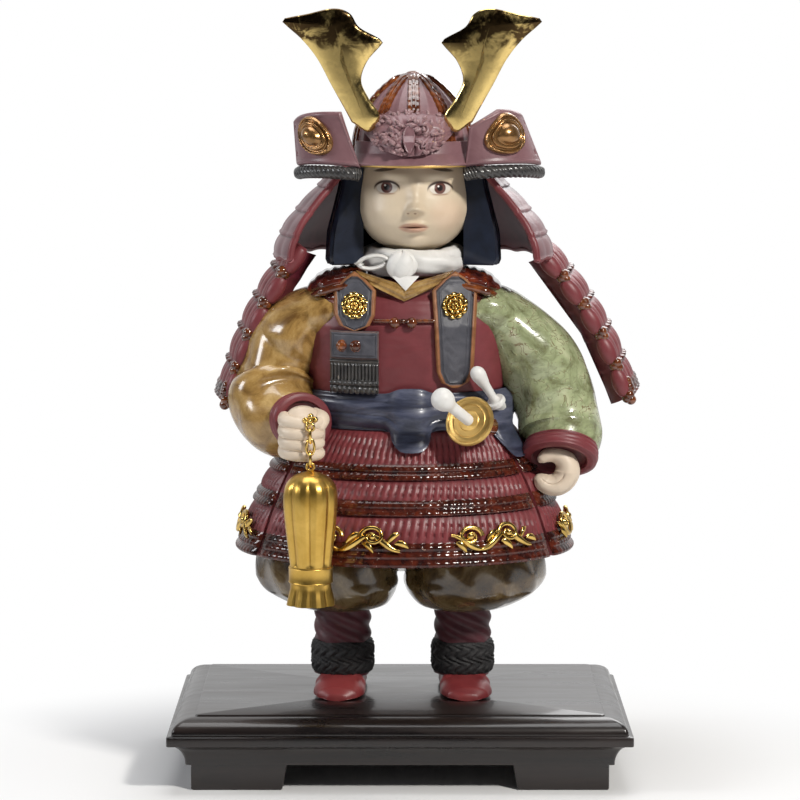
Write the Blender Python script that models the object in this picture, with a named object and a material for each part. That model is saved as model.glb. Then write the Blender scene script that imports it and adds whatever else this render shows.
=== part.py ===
"""Porcelain samurai boy in laced armour on a black wooden plinth, in metres, +Z up.

The figure faces -Y. Its pieces are stacked from the plinth up: every level is the one below it plus
a named height, and the armour is made of curved sheets whose outer face carries the lacing ridges.
"""

import math

import bmesh
import bpy
import numpy as np
from mathutils import Matrix, Vector

# Clearances
SEAT = 0.0003
PIVOT_PLAY = 0.0005

# Where the figure's own middle stands from the middle of the whole outline
BALANCE_X = -0.002
BALANCE_Y = 0.0088

# Plinth
PLINTH_LENGTH = 0.290
PLINTH_DEPTH = 0.186
FOOT_HEIGHT = 0.016
FOOT_LENGTH = 0.060
FOOT_DEPTH = 0.045
FOOT_INSET_X = 0.0145
FOOT_INSET_Y = 0.012
FOOT_TAPER = 0.003
BOARD_HEIGHT = 0.031
TOP_INSET = 0.017
UNDER_INSET = 0.011
LIP_HEIGHT = 0.006
LIP_RISE = 0.014

# Levels of the figure, each from the one below
SHOE_HEIGHT = 0.0155
SHIN_HEIGHT = 0.0415
TROUSER_SHOW = 0.040
SKIRT_HEIGHT = 0.081
TORSO_HEIGHT = 0.0870
NECK_SHOW = 0.024
FACE_HEIGHT = 0.0590
BOWL_HEIGHT = 0.0520

# Shoes and legs
SHOE_LENGTH = 0.074
SHOE_WIDTH = 0.033
SHOE_TOE_Y = -0.038
SHOE_SPLAY = math.radians(5.0)
LEG_RIGHT_X = -0.0370
LEG_LEFT_X = 0.0405
LEG_HALF_WIDTH = 0.0185
LEG_HALF_DEPTH = 0.0175
ANKLE_HEIGHT = 0.022
ANKLE_PROUD = 0.0016
ANKLE_TUFTS = 6

# Trousers
TROUSER_HALF_WIDTH = 0.0920
TROUSER_HALF_DEPTH = 0.0640
TROUSER_LEG_HALF = 0.0440
TROUSER_FOLD = 0.0016

# Torso, the plan that the skirt, sash and sleeves are set against
BODY_X = 0.0030
TORSO_HALF_WIDTH = 0.0660
TORSO_HALF_DEPTH = 0.0500
WAIST_HALF_WIDTH = 0.0640
WAIST_HALF_DEPTH = 0.0490
CHEST_POWER = 2.3
TORSO_SIDES = 22

# Skirt of laced armour
HEM_HALF_WIDTH = 0.1070
HEM_HALF_DEPTH = 0.0850
SKIRT_WALL = 0.0032
TIERS = 3
TIER_STEP = 0.0022
BAND_SHARE = 0.34
LACE_PITCH = 0.0190
LACE_PROUD = 0.0018
LACE_SLANT = 0.0035
PANEL_GAP = math.radians(4.0)
FRONT_PANEL = math.radians(116.0)
SIDE_PANEL = math.radians(66.0)

# Sash
SASH_HEIGHT = 0.0235
SASH_THICK = 0.0065
KNOT_DROP = 0.0125
KNOT_THICK = 0.0045
KNOT_ANGLE = math.radians(3.0)
SASH_END_DROP = 0.0190
SASH_END_THICK = 0.0030
SASH_END_ANGLE = math.radians(62.0)


def material(name, colour, roughness, metallic=0.0):
    """A plain surface of one colour."""
    made = bpy.data.materials.get(name) or bpy.data.materials.new(name)
    made.use_nodes = True
    shader = made.node_tree.nodes["Principled BSDF"]
    shader.inputs["Base Color"].default_value = (*colour, 1.0)
    shader.inputs["Roughness"].default_value = roughness
    shader.inputs["Metallic"].default_value = metallic
    return made


def add_mesh(name, vertices, faces, surface, smooth_angle=35.0):
    """A mesh object in the doll's collection, its faces pointing outwards."""
    mesh = bpy.data.meshes.new(name)
    mesh.from_pydata([tuple(map(float, point)) for point in vertices], [], faces)
    shape = bmesh.new()
    shape.from_mesh(mesh)
    bmesh.ops.recalc_face_normals(shape, faces=shape.faces)
    shape.to_mesh(mesh)
    shape.free()
    mesh.shade_smooth()
    mesh.set_sharp_from_angle(angle=math.radians(smooth_angle))
    mesh.materials.append(surface)
    made = bpy.data.objects.new(name, mesh)
    DOLL.objects.link(made)
    made.parent = STAND
    return made


def loft(name, rings, surface, loop=False, smooth_angle=35.0):
    """A closed solid through rings of equal count, capped at both ends or joined into a loop."""
    rings = np.asarray(rings, dtype=float)
    count, sides, _ = rings.shape
    faces = []
    for row in range(count if loop else count - 1):
        below, above = row * sides, (row + 1) % count * sides
        for side in range(sides):
            after = (side + 1) % sides
            faces.append((below + side, below + after, above + after, above + side))
    if not loop:
        faces.append(tuple(range(sides)))
        faces.append(tuple(range((count - 1) * sides, count * sides)))
    return add_mesh(name, rings.reshape(-1, 3), faces, surface, smooth_angle)


def slab(name, outer, inner, surface, smooth_angle=35.0):
    """A closed sheet between an outer grid and an inner one with as many columns."""
    outer, inner = np.asarray(outer, dtype=float), np.asarray(inner, dtype=float)
    rows, columns, _ = outer.shape
    back_rows = len(inner)
    start = rows * columns
    faces = []
    for first, count in ((0, rows), (start, back_rows)):
        for row in range(count - 1):
            for column in range(columns - 1):
                corner = first + row * columns + column
                faces.append((corner, corner + 1, corner + columns + 1, corner + columns))
    last, back_last = (rows - 1) * columns, start + (back_rows - 1) * columns
    for column in range(columns - 1):
        faces.append((column, column + 1, start + column + 1, start + column))
        faces.append((last + column, last + column + 1, back_last + column + 1, back_last + column))
    for column in (0, columns - 1):
        front = [row * columns + column for row in range(rows)]
        back = [start + row * columns + column for row in reversed(range(back_rows))]
        faces.append(tuple(front + back))
    return add_mesh(name, np.vstack((outer.reshape(-1, 3), inner.reshape(-1, 3))), faces, surface,
                    smooth_angle)


def plan(phi, half_x, half_y, z, power=2.0, centre=(BODY_X, 0.0)):
    """Points of a rounded plan at angle phi from the front, turning towards +X."""
    phi = np.asarray(phi, dtype=float)
    across, along = np.sin(phi), np.cos(phi)
    x = centre[0] + half_x * np.sign(across) * np.abs(across) ** (2.0 / power)
    y = centre[1] - half_y * np.sign(along) * np.abs(along) ** (2.0 / power)
    return np.stack(np.broadcast_arrays(x, y, z), axis=-1)


def turns(count):
    """Angles of a whole turn, the last one short of the first."""
    return np.arange(count) * 2.0 * math.pi / count


def tube_rings(path, half_u, half_v, sides, up=(0.0, 0.0, 1.0), power=2.0):
    """Rings square to a path; half_u runs across it, half_v along the given up direction."""
    path = np.asarray(path, dtype=float)
    ahead = np.gradient(path, axis=0)
    ahead /= np.linalg.norm(ahead, axis=1)[:, None]
    side = np.cross(ahead, np.asarray(up, dtype=float))
    side /= np.linalg.norm(side, axis=1)[:, None]
    over = np.cross(side, ahead)
    half_u = np.broadcast_to(half_u, len(path))
    half_v = np.broadcast_to(half_v, len(path))
    angle = turns(sides)
    across = np.sign(np.cos(angle)) * np.abs(np.cos(angle)) ** (2.0 / power)
    above = np.sign(np.sin(angle)) * np.abs(np.sin(angle)) ** (2.0 / power)
    return (path[:, None] + half_u[:, None, None] * across[None, :, None] * side[:, None]
            + half_v[:, None, None] * above[None, :, None] * over[:, None])


def smooth_path(points, count):
    """Points spread along a smooth curve through the given ones (Catmull-Rom)."""
    points = np.asarray(points, dtype=float)
    padded = np.vstack((2 * points[0] - points[1], points, 2 * points[-1] - points[-2]))
    place = np.linspace(0.0, len(points) - 1.0, count)
    piece = np.minimum(place.astype(int), len(points) - 2)
    t = (place - piece)[:, None]
    a, b, c, d = (padded[piece + step] for step in range(4))
    return 0.5 * (2 * b + (c - a) * t + (2 * a - 5 * b + 4 * c - d) * t ** 2
                  + (3 * b - a - 3 * c + d) * t ** 3)


def swollen(source, gap):
    """A cutter: the source's outline moved outwards by the gap."""
    mesh = source.data.copy()
    normals = [vertex.normal.copy() for vertex in mesh.vertices]
    for vertex, normal in zip(mesh.vertices, normals):
        vertex.co += normal * gap * 1.15
    cutter = bpy.data.objects.new(source.name + "_cutter", mesh)
    cutter.matrix_world = source.matrix_world
    cutter.hide_render = True
    cutter.display_type = "WIRE"
    CUTTERS.objects.link(cutter)
    return cutter


def bake(target):
    """Take the modifiers into the mesh, and drop any chip that a cut has left beside it."""
    bpy.context.view_layer.update()
    depsgraph = bpy.context.evaluated_depsgraph_get()
    mesh = bpy.data.meshes.new_from_object(target.evaluated_get(depsgraph))
    target.modifiers.clear()
    shape = bmesh.new()
    shape.from_mesh(mesh)
    bmesh.ops.remove_doubles(shape, verts=shape.verts, dist=2e-5)
    bmesh.ops.dissolve_degenerate(shape, edges=shape.edges, dist=2e-5)
    islands, unseen = [], set(shape.faces)
    while unseen:
        stack = [unseen.pop()]
        island = set(stack)
        while stack:
            for edge in stack.pop().edges:
                for face in edge.link_faces:
                    if face in unseen:
                        unseen.discard(face)
                        island.add(face)
                        stack.append(face)
        islands.append(island)
    islands.sort(key=lambda island: sum(face.calc_area() for face in island))
    for island in islands[:-1]:
        bmesh.ops.delete(shape, geom=list(island), context="FACES")
    loose = [vertex for vertex in shape.verts if not vertex.link_faces]
    bmesh.ops.delete(shape, geom=loose, context="VERTS")
    shape.to_mesh(mesh)
    shape.free()
    mesh.shade_smooth()
    mesh.set_sharp_from_angle(angle=math.radians(35.0))
    target.data = mesh
    return target


def apart(one, two):
    """Whether the boxes round two pieces lie clear of each other."""
    spans = [np.array([one.matrix_world @ vertex.co for vertex in one.data.vertices]),
             np.array([two.matrix_world @ vertex.co for vertex in two.data.vertices])]
    low, high = [span.min(axis=0) for span in spans], [span.max(axis=0) for span in spans]
    return bool(np.any(low[0] > high[1] + SEAT) or np.any(low[1] > high[0] + SEAT))


def carve(target, *others, gap=SEAT):
    """Cut the target back so that it seats against the neighbours that it meets with a small gap."""
    for other in others:
        if apart(target, other):
            continue
        cut = target.modifiers.new("seat_on_" + other.name, "BOOLEAN")
        cut.operation = "DIFFERENCE"
        cut.solver = "EXACT"
        cut.object = swollen(other, gap)
        bake(target)
    return target


def unite(target, *others):
    """Make one body of the target and the others, which are removed."""
    for other in others:
        join = target.modifiers.new("join_" + other.name, "BOOLEAN")
        join.operation = "UNION"
        join.solver = "EXACT"
        join.object = other
        bake(target)
        bpy.data.objects.remove(other)
    return target


# Levels worked out from the heights above, and where the chest is fullest
BASE_TOP = FOOT_HEIGHT + BOARD_HEIGHT
SHOE_TOP = BASE_TOP + SHOE_HEIGHT
TROUSER_HEM = SHOE_TOP + SHIN_HEIGHT - 0.002
SKIRT_HEM = TROUSER_HEM + TROUSER_SHOW - 0.001
WAIST = SKIRT_HEM + SKIRT_HEIGHT
SASH_TOP = WAIST + SASH_HEIGHT
SHOULDER = WAIST + TORSO_HEIGHT
CHIN = SHOULDER + NECK_SHOW
RIM = CHIN + FACE_HEIGHT
CHEST_FULL = WAIST + 0.040


def plinth(lacquer):
    """The moulded board: an inset top, a cove down to the lip and a rounded underside."""
    low, high = FOOT_HEIGHT + SEAT, BASE_TOP
    lip_low = low + LIP_RISE
    lip_high = lip_low + LIP_HEIGHT
    profile = [(UNDER_INSET, low)]
    for step in range(1, 5):
        turn = step / 4 * math.pi / 2
        profile.append((UNDER_INSET * math.cos(turn), low + LIP_RISE * math.sin(turn)))
    profile.append((0.0, lip_high))
    cove = TOP_INSET - 0.003
    for step in range(5):
        turn = step / 4 * math.pi / 2
        profile.append((0.003 + cove * (1 - math.cos(turn)),
                        lip_high + 0.0008 + (high - lip_high - 0.0018) * math.sin(turn)))
    profile.append((TOP_INSET, high))
    corners = np.array([(1, 1), (-1, 1), (-1, -1), (1, -1)])
    rings = []
    for inset, z in profile:
        half = np.array([PLINTH_LENGTH / 2 - inset, PLINTH_DEPTH / 2 - inset])
        rings.append([(*corner, z) for corner in corners * half])
    loft("plinth_board", rings, lacquer, smooth_angle=25.0)
    for side_x, side_y, name in ((-1, -1, "front_right"), (1, -1, "front_left"),
                                 (-1, 1, "back_right"), (1, 1, "back_left")):
        outer_x = side_x * (PLINTH_LENGTH / 2 - FOOT_INSET_X)
        outer_y = side_y * (PLINTH_DEPTH / 2 - FOOT_INSET_Y)
        rings = []
        for z, taper in ((0.0, FOOT_TAPER), (FOOT_HEIGHT, 0.0)):
            inner_x = outer_x - side_x * (FOOT_LENGTH - taper)
            inner_y = outer_y - side_y * FOOT_DEPTH
            rings.append([(outer_x, outer_y, z), (inner_x, outer_y, z),
                          (inner_x, inner_y, z), (outer_x, inner_y, z)])
        loft("plinth_foot_" + name, rings, lacquer, smooth_angle=25.0)


def shoe(name, centre_x, splay, leather):
    """A round-toed shoe, lofted from heel to toe, with a flat sole and an opening for the ankle."""
    along = np.array([0.0, 0.05, 0.20, 0.52, 0.68, 0.83, 0.94, 1.0])
    width = np.array([0.40, 0.68, 0.82, 0.88, 0.98, 1.0, 0.78, 0.35]) * SHOE_WIDTH / 2
    height = np.array([0.50, 0.84, 1.0, 1.0, 0.86, 0.72, 0.52, 0.25]) * SHOE_HEIGHT
    heel_y = SHOE_TOE_Y + SHOE_LENGTH
    turn = turns(8)
    rings = []
    for place, half, tall in zip(along, width, height):
        x = half * np.sign(np.cos(turn)) * np.abs(np.cos(turn)) ** 0.8
        z = tall * np.where(np.sin(turn) > 0, 0.28 + 0.72 * np.sin(turn), 0.28 + 0.28 * np.sin(turn))
        y = np.full_like(x, heel_y - place * SHOE_LENGTH)
        rings.append(np.stack((centre_x + x * math.cos(splay) + y * math.sin(splay),
                               y * math.cos(splay) - x * math.sin(splay),
                               BASE_TOP + SEAT + z), axis=-1))
    return loft(name, rings, leather)


def leg(name, centre_x, shin, trouser, shoe_piece):
    """A shin that rises into the trouser leg, with a tufted fur band round the ankle."""
    top = TROUSER_HEM + 0.006
    low = SHOE_TOP - 0.004
    columns = 2 * ANKLE_TUFTS
    angle = turns(columns)
    tuft = np.where(np.arange(columns) % 2 == 0, 1.0, 0.0)
    rows = [(low, -0.0010, 0.3), (low + 0.003, ANKLE_PROUD, 1.0),
            (low + ANKLE_HEIGHT * 0.5, ANKLE_PROUD * 0.5, 0.6),
            (low + ANKLE_HEIGHT, ANKLE_PROUD, 1.0), (low + ANKLE_HEIGHT + 0.001, -0.0020, 0.0),
            (top, 0.0012, 0.0)]
    rings = []
    for z, proud, tufted in rows:
        out = proud + tufted * 0.0012 * tuft
        rings.append(plan(angle, LEG_HALF_WIDTH + out, LEG_HALF_DEPTH + out, z,
                          centre=(centre_x, 0.0)))
    made = loft(name, rings, shin)
    carve(made, trouser)
    return carve(made, shoe_piece, gap=1.6 * SEAT)


def trousers(cloth):
    """Two ballooning legs that join above the gap; the hip runs up inside the skirt."""
    angle = turns(12)
    folds = np.cos(4 * angle + 0.6)
    sides = []
    for name, centre_x in (("right", LEG_RIGHT_X), ("left", LEG_LEFT_X)):
        outward = math.copysign(1.0, centre_x)
        reach = TROUSER_HALF_WIDTH - TROUSER_LEG_HALF
        rows = [(0.0, 0.50, 0.0), (0.07, 0.72, 0.15), (0.30, 0.95, 0.75), (0.52, 1.0, 1.0),
                (0.85, 0.98, 0.95), (1.25, 0.86, 0.70)]
        rings = []
        for rise, share, shift in rows:
            middle = centre_x + shift * (outward * reach - centre_x)
            half = TROUSER_LEG_HALF * share
            out = TROUSER_FOLD * folds * math.sin(min(rise / 0.52, 1.0) * math.pi / 2)
            rings.append(plan(angle, half + out, half * 1.18 + out,
                              TROUSER_HEM + rise * TROUSER_SHOW, centre=(middle, 0.0)))
        sides.append(loft("trousers_" + name, rings, cloth))
    gap_top = TROUSER_HEM + 0.027
    seat = [plan(turns(12), TROUSER_HALF_WIDTH * share, TROUSER_HALF_DEPTH * share * 0.86, z)
            for z, share in ((gap_top, 0.50), (gap_top + 0.006, 0.80), (SKIRT_HEM + 0.012, 0.86),
                             (SKIRT_HEM + 0.038, 0.66), (WAIST - 0.022, 0.50))]
    made = loft("trousers", seat, cloth)
    return unite(made, *sides)


def skirt_halves(z):
    """Half width and half depth of the skirt's outer face at a height."""
    level = (z - SKIRT_HEM) / (WAIST - SKIRT_HEM)
    level = np.clip(level, 0.0, 1.0)
    waist_x = WAIST_HALF_WIDTH + SEAT + SKIRT_WALL
    waist_y = WAIST_HALF_DEPTH + SEAT + SKIRT_WALL
    swell = np.sin(level * math.pi) * 0.004
    return (HEM_HALF_WIDTH + (waist_x - HEM_HALF_WIDTH) * level + swell,
            HEM_HALF_DEPTH + (waist_y - HEM_HALF_DEPTH) * level + swell)


def skirt_panel(name, middle, span, lacing):
    """Three tiers of lacing, each over a corded band that laps the tier below."""
    pitch = LACE_PITCH / ((HEM_HALF_WIDTH + HEM_HALF_DEPTH) / 2)
    ridges = max(4, round(span / pitch))
    columns = 2 * ridges + 1
    share = np.linspace(-0.5, 0.5, columns)
    raised = (np.arange(columns) % 2).astype(float)
    tier_height = (WAIST - SKIRT_HEM) / TIERS
    rows = []
    for tier in range(TIERS):
        top = WAIST - tier * tier_height
        band = top - tier_height * (1 - BAND_SHARE)
        hem = top - tier_height
        rows += [(top - 0.0004, -TIER_STEP, 0.0, 0.0), (band, TIER_STEP * 0.2, 1.0, 1.0),
                 (hem + 0.0006, TIER_STEP * 0.5, 0.2, 0.0)]
    window = 1 - (2 * share) ** 8
    outer = []
    for z, proud, ridged, slanted in rows:
        half_x, half_y = skirt_halves(z)
        out = proud + ridged * raised * LACE_PROUD
        slant = slanted * LACE_SLANT / half_y * window
        outer.append(plan(middle + share * span + slant, half_x + out, half_y + out, z))
    inner = []
    for z in (WAIST - 0.0004, SKIRT_HEM + 0.0006):
        half_x, half_y = skirt_halves(z)
        wall = SKIRT_WALL if z > SKIRT_HEM + 0.01 else SKIRT_WALL + 0.001
        inner.append(plan(middle + share * span, half_x - wall, half_y - wall, z))
    return slab(name, outer, inner, lacing)


def torso_halves(z):
    """Half width and half depth of the torso at a height."""
    level = [WAIST - 0.022, SASH_TOP, CHEST_FULL, SHOULDER - 0.022, SHOULDER - 0.006, SHOULDER + 0.006]
    half_x = [WAIST_HALF_WIDTH, WAIST_HALF_WIDTH, TORSO_HALF_WIDTH, TORSO_HALF_WIDTH,
              TORSO_HALF_WIDTH * 0.90, TORSO_HALF_WIDTH * 0.62]
    half_y = [WAIST_HALF_DEPTH, WAIST_HALF_DEPTH, TORSO_HALF_DEPTH, TORSO_HALF_DEPTH,
              TORSO_HALF_DEPTH * 0.90, TORSO_HALF_DEPTH * 0.66]
    return np.interp(z, level, half_x), np.interp(z, level, half_y)


def cuirass(lacquer):
    """Breast and back of the armour in one shell-like body, closed at the neck and below the sash."""
    rings = []
    for z in (WAIST - 0.0214, SASH_TOP, CHEST_FULL, SHOULDER - 0.022, SHOULDER - 0.010,
              SHOULDER - 0.001, SHOULDER + 0.006):
        half_x, half_y = torso_halves(z)
        power = CHEST_POWER if z > SASH_TOP else 2.0
        rings.append(plan(turns(TORSO_SIDES), half_x, half_y, z, power=power))
    return loft("cuirass", rings, lacquer)


def sash(cloth):
    """A folded band round the waist, tucked over itself in front, with an end that hangs at the left."""
    knot = KNOT_ANGLE + np.array([-0.22, -0.11, 0.0, 0.11, 0.22])
    end = SASH_END_ANGLE + np.array([-0.24, -0.12, 0.0, 0.12, 0.24])
    angle = np.sort(np.concatenate((turns(TORSO_SIDES)[1:-1], (0.0, turns(TORSO_SIDES)[-1]), knot, end)))
    angle = angle[np.append(True, np.diff(angle) > 0.03)]
    hang_knot = np.exp(-((np.abs(angle - KNOT_ANGLE) / 0.17) ** 4))
    hang_end = np.exp(-((np.abs(angle - SASH_END_ANGLE) / 0.19) ** 4))
    hang = hang_knot * KNOT_DROP + hang_end * SASH_END_DROP
    thick = hang_knot * KNOT_THICK + hang_end * SASH_END_THICK
    low, tall = WAIST + SEAT, SASH_HEIGHT - 2 * SEAT
    loops = []
    for out, rise, tucked in ((0.0, 0.0, 0.0), (0.75, 0.0, 0.0), (0.75, 0.0, 0.6), (1.0, 0.22, 1.0),
                              (0.80, 0.44, 0.9), (1.0, 0.68, 0.8), (0.72, 0.94, 0.3), (0.0, 1.0, 0.0)):
        fold = 0.0012 * np.sin(5 * angle + 8 * rise) * (out > 0)
        proud = SEAT + out * (SASH_THICK + fold) + tucked * thick
        z = low + rise * tall + 0.0035 * hang_knot * (rise > 0.9) * (out > 0)
        if rise == 0.0 and out > 0:
            over_x, over_y = skirt_halves(WAIST - hang * tucked / 0.6)
            shift = np.clip(hang / 0.004, 0.0, 1.0) * (TIER_STEP + LACE_PROUD + 2 * SEAT)
            over_x = np.maximum(over_x - WAIST_HALF_WIDTH + shift, 0.0) * np.clip(hang / 0.004, 0.0, 1.0)
            over_y = np.maximum(over_y - WAIST_HALF_DEPTH + shift, 0.0) * np.clip(hang / 0.004, 0.0, 1.0)
            loops.append(plan(angle, WAIST_HALF_WIDTH + np.maximum(proud, over_x + thick * tucked),
                              WAIST_HALF_DEPTH + np.maximum(proud, over_y + thick * tucked),
                              z - hang * tucked / 0.6))
        else:
            loops.append(plan(angle, WAIST_HALF_WIDTH + proud, WAIST_HALF_DEPTH + proud, z))
    made = loft("sash", loops, cloth, loop=True)
    flip_ring(made)
    return made


def flip_ring(made):
    """Point a ring's faces outwards again after its normals were worked out."""
    shape = bmesh.new()
    shape.from_mesh(made.data)
    if shape.calc_volume(signed=True) < 0:
        bmesh.ops.reverse_faces(shape, faces=shape.faces)
    shape.to_mesh(made.data)
    shape.free()


# Chest
PLATE_THICK = 0.0032
PLATE_WIDTH = 0.0275
PLATE_RIGHT_X = -0.0285
PLATE_RIGHT_LENGTH = 0.0360
PLATE_LEFT_X = 0.0345
PLATE_LEFT_LENGTH = 0.0720
PLATE_TIP_ABOVE = 0.0120
PLATE_POINT = 0.0115
PLATE_RIM = 0.0022
PLATE_SUNK = 0.0010
PLATE_LEAN = 0.30
PLATE_LEAN_BELOW = 0.0120
FLOWER_RADIUS = 0.0082
FLOWER_DROP = 0.0205
FLOWER_PETALS = 7
BLOCK_WIDTH = 0.0305
BLOCK_HEIGHT = 0.0175
BLOCK_THICK = 0.0060
FLAP_HEIGHT = 0.0210
FLAP_PLEATS = 5
KNOB_RADIUS = 0.0030
TOGGLE_DROP = 0.0180
TOGGLE_RADIUS = 0.0034
TOGGLE_SPACING = 0.0105
CORD_RADIUS = 0.0014
COLLAR_WIDTH = 0.0085
COLLAR_THICK = 0.0016
COLLAR_DROP = 0.0060
COLLAR_SLOPE = 0.60

# Sleeves, cuffs and hands
SLEEVE_RIGHT = ((-0.0560, 0.002, 0.2930), (-0.0740, 0.000, 0.2700), (-0.0800, -0.006, 0.2440),
                (-0.0745, -0.026, 0.2290), (-0.0640, -0.046, 0.2280))
SLEEVE_RIGHT_HALF = ((0.0190, 0.0260, 0.0290, 0.0280, 0.0165), (0.0200, 0.0270, 0.0300, 0.0340, 0.0190))
SLEEVE_LEFT = ((0.0600, 0.002, 0.2930), (0.0840, 0.000, 0.2660), (0.0980, -0.004, 0.2360),
               (0.1040, -0.012, 0.2140), (0.1030, -0.017, 0.2010))
SLEEVE_LEFT_HALF = ((0.0190, 0.0285, 0.0290, 0.0270, 0.0250), (0.0200, 0.0270, 0.0280, 0.0240, 0.0220))
SLEEVE_FOLD = 0.0018
SLEEVE_SIDES = 10
CUFF_LENGTH = 0.0090
CUFF_PROUD = 0.0012
FIST_X = -0.0600
FIST_Y = -0.0700
FIST_Z = 0.2235
FIST_HALF = (0.0140, 0.0165, 0.0175)
GRIP_CENTRE = (0.0970, -0.0300, 0.1930)
GRIP_RADIUS = 0.0088
GRIP_FINGER = 0.0058

# Shoulder yoke and guards
YOKE_OPEN = math.radians(52.0)
YOKE_THICK = 0.0040
GUARD_TOP_LEFT = (0.0880, 0.3300)
GUARD_END_LEFT = (0.1440, 0.2360)
GUARD_TOP_RIGHT = (-0.0600, 0.3340)
GUARD_END_RIGHT = (-0.1085, 0.2330)
GUARD_FRONT = -0.0120
GUARD_DEPTH = 0.0780
GUARD_WALL = 0.0042
GUARD_BULGE = 0.0085
GUARD_LAMES = 5
GUARD_RIDGES = 4
LAME_STEP = 0.0020


def chest_front(x, z):
    """Where the breast's surface lies in Y under a point of the chest."""
    half_x, half_y = torso_halves(z)
    across = np.clip(np.abs((np.asarray(x) - BODY_X) / half_x), 0.0, 0.999)
    return -half_y * (1 - across ** CHEST_POWER) ** (1 / CHEST_POWER)


def plate_back(x, z):
    """Where a chest plate's back lies: on the breast, then leaning back gently above its fullest part."""
    full = SHOULDER - PLATE_LEAN_BELOW
    return chest_front(x, np.minimum(z, full)) + PLATE_LEAN * np.maximum(np.asarray(z) - full, 0.0) - 3 * SEAT


def chest_plate(name, centre_x, width, length, foot_share, leather):
    """A pointed leather plate with a raised rim, curved to the breast."""
    tip_z = SHOULDER + PLATE_TIP_ABOVE
    half = width / 2
    rows = [(0.0, 0.06), (PLATE_POINT * 0.45, 0.56), (PLATE_POINT, 1.0), (length * 0.45, 0.5 + foot_share / 2),
            (length - half * 0.7, foot_share), (length - half * 0.22, foot_share * 0.74), (length, 0.16)]
    rim = PLATE_RIM / half
    columns = np.array([-1.0, -1.0 + rim, -1.0 + rim * 1.4, 0.0, 1.0 - rim * 1.4, 1.0 - rim, 1.0])
    sunk = np.array([0.0, 0.0, 1.0, 1.0, 1.0, 0.0, 0.0])
    outer, inner = [], []
    for number, (drop, share) in enumerate(rows):
        x, z = centre_x + columns * half * share, np.full(7, tip_z - drop)
        depth = PLATE_SUNK * sunk if 0 < number < len(rows) - 1 else 0.0
        outer.append(np.stack((x, plate_back(x, z) - PLATE_THICK + depth, z), axis=-1))
    bends = [0.0, PLATE_POINT, PLATE_TIP_ABOVE + PLATE_LEAN_BELOW, PLATE_TIP_ABOVE + 0.022, length]
    if length > SHOULDER + PLATE_TIP_ABOVE - CHEST_FULL:
        bends.insert(4, SHOULDER + PLATE_TIP_ABOVE - CHEST_FULL)
    for drop in bends:
        share = np.interp(drop, [row[0] for row in rows], [row[1] for row in rows])
        x, z = centre_x + columns * half * share, np.full(7, tip_z - drop)
        inner.append(np.stack((x, plate_back(x, z), z), axis=-1))
    return slab(name, outer, inner, leather, smooth_angle=30.0)


def flower(name, centre_x, centre_z, gilt):
    """A gilt flower on a plate: a domed disc whose edge and middle ring are scalloped into petals."""
    step = FLOWER_RADIUS
    lean_x = float(plate_back(centre_x + step, centre_z) - plate_back(centre_x - step, centre_z)) / (2 * step)
    lean_z = float(plate_back(centre_x, centre_z + step) - plate_back(centre_x, centre_z - step)) / (2 * step)
    across, up = np.meshgrid(np.linspace(-step, step, 7), np.linspace(-step, step, 7))
    seat = plate_back(centre_x + across, centre_z + up) - lean_x * across - lean_z * up
    seat_y = float(np.min(seat)) - PLATE_THICK + PLATE_SUNK - SEAT
    columns = 2 * FLOWER_PETALS
    angle = turns(columns)
    notch = np.where(np.arange(columns) % 2 == 0, 1.0, 0.0)
    rings = []
    for share, lift, cut in ((0.92, 0.0, 0.12), (1.0, 0.0012, 0.14), (0.66, 0.0030, 0.0),
                             (0.56, 0.0022, 0.10), (0.20, 0.0038, 0.0)):
        reach = FLOWER_RADIUS * share * (1 - cut * notch)
        x, z = reach * np.cos(angle), reach * np.sin(angle)
        rings.append(np.stack((centre_x + x, seat_y - lift + lean_x * x + lean_z * z, centre_z + z), axis=-1))
    return loft(name, rings, gilt)


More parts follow.
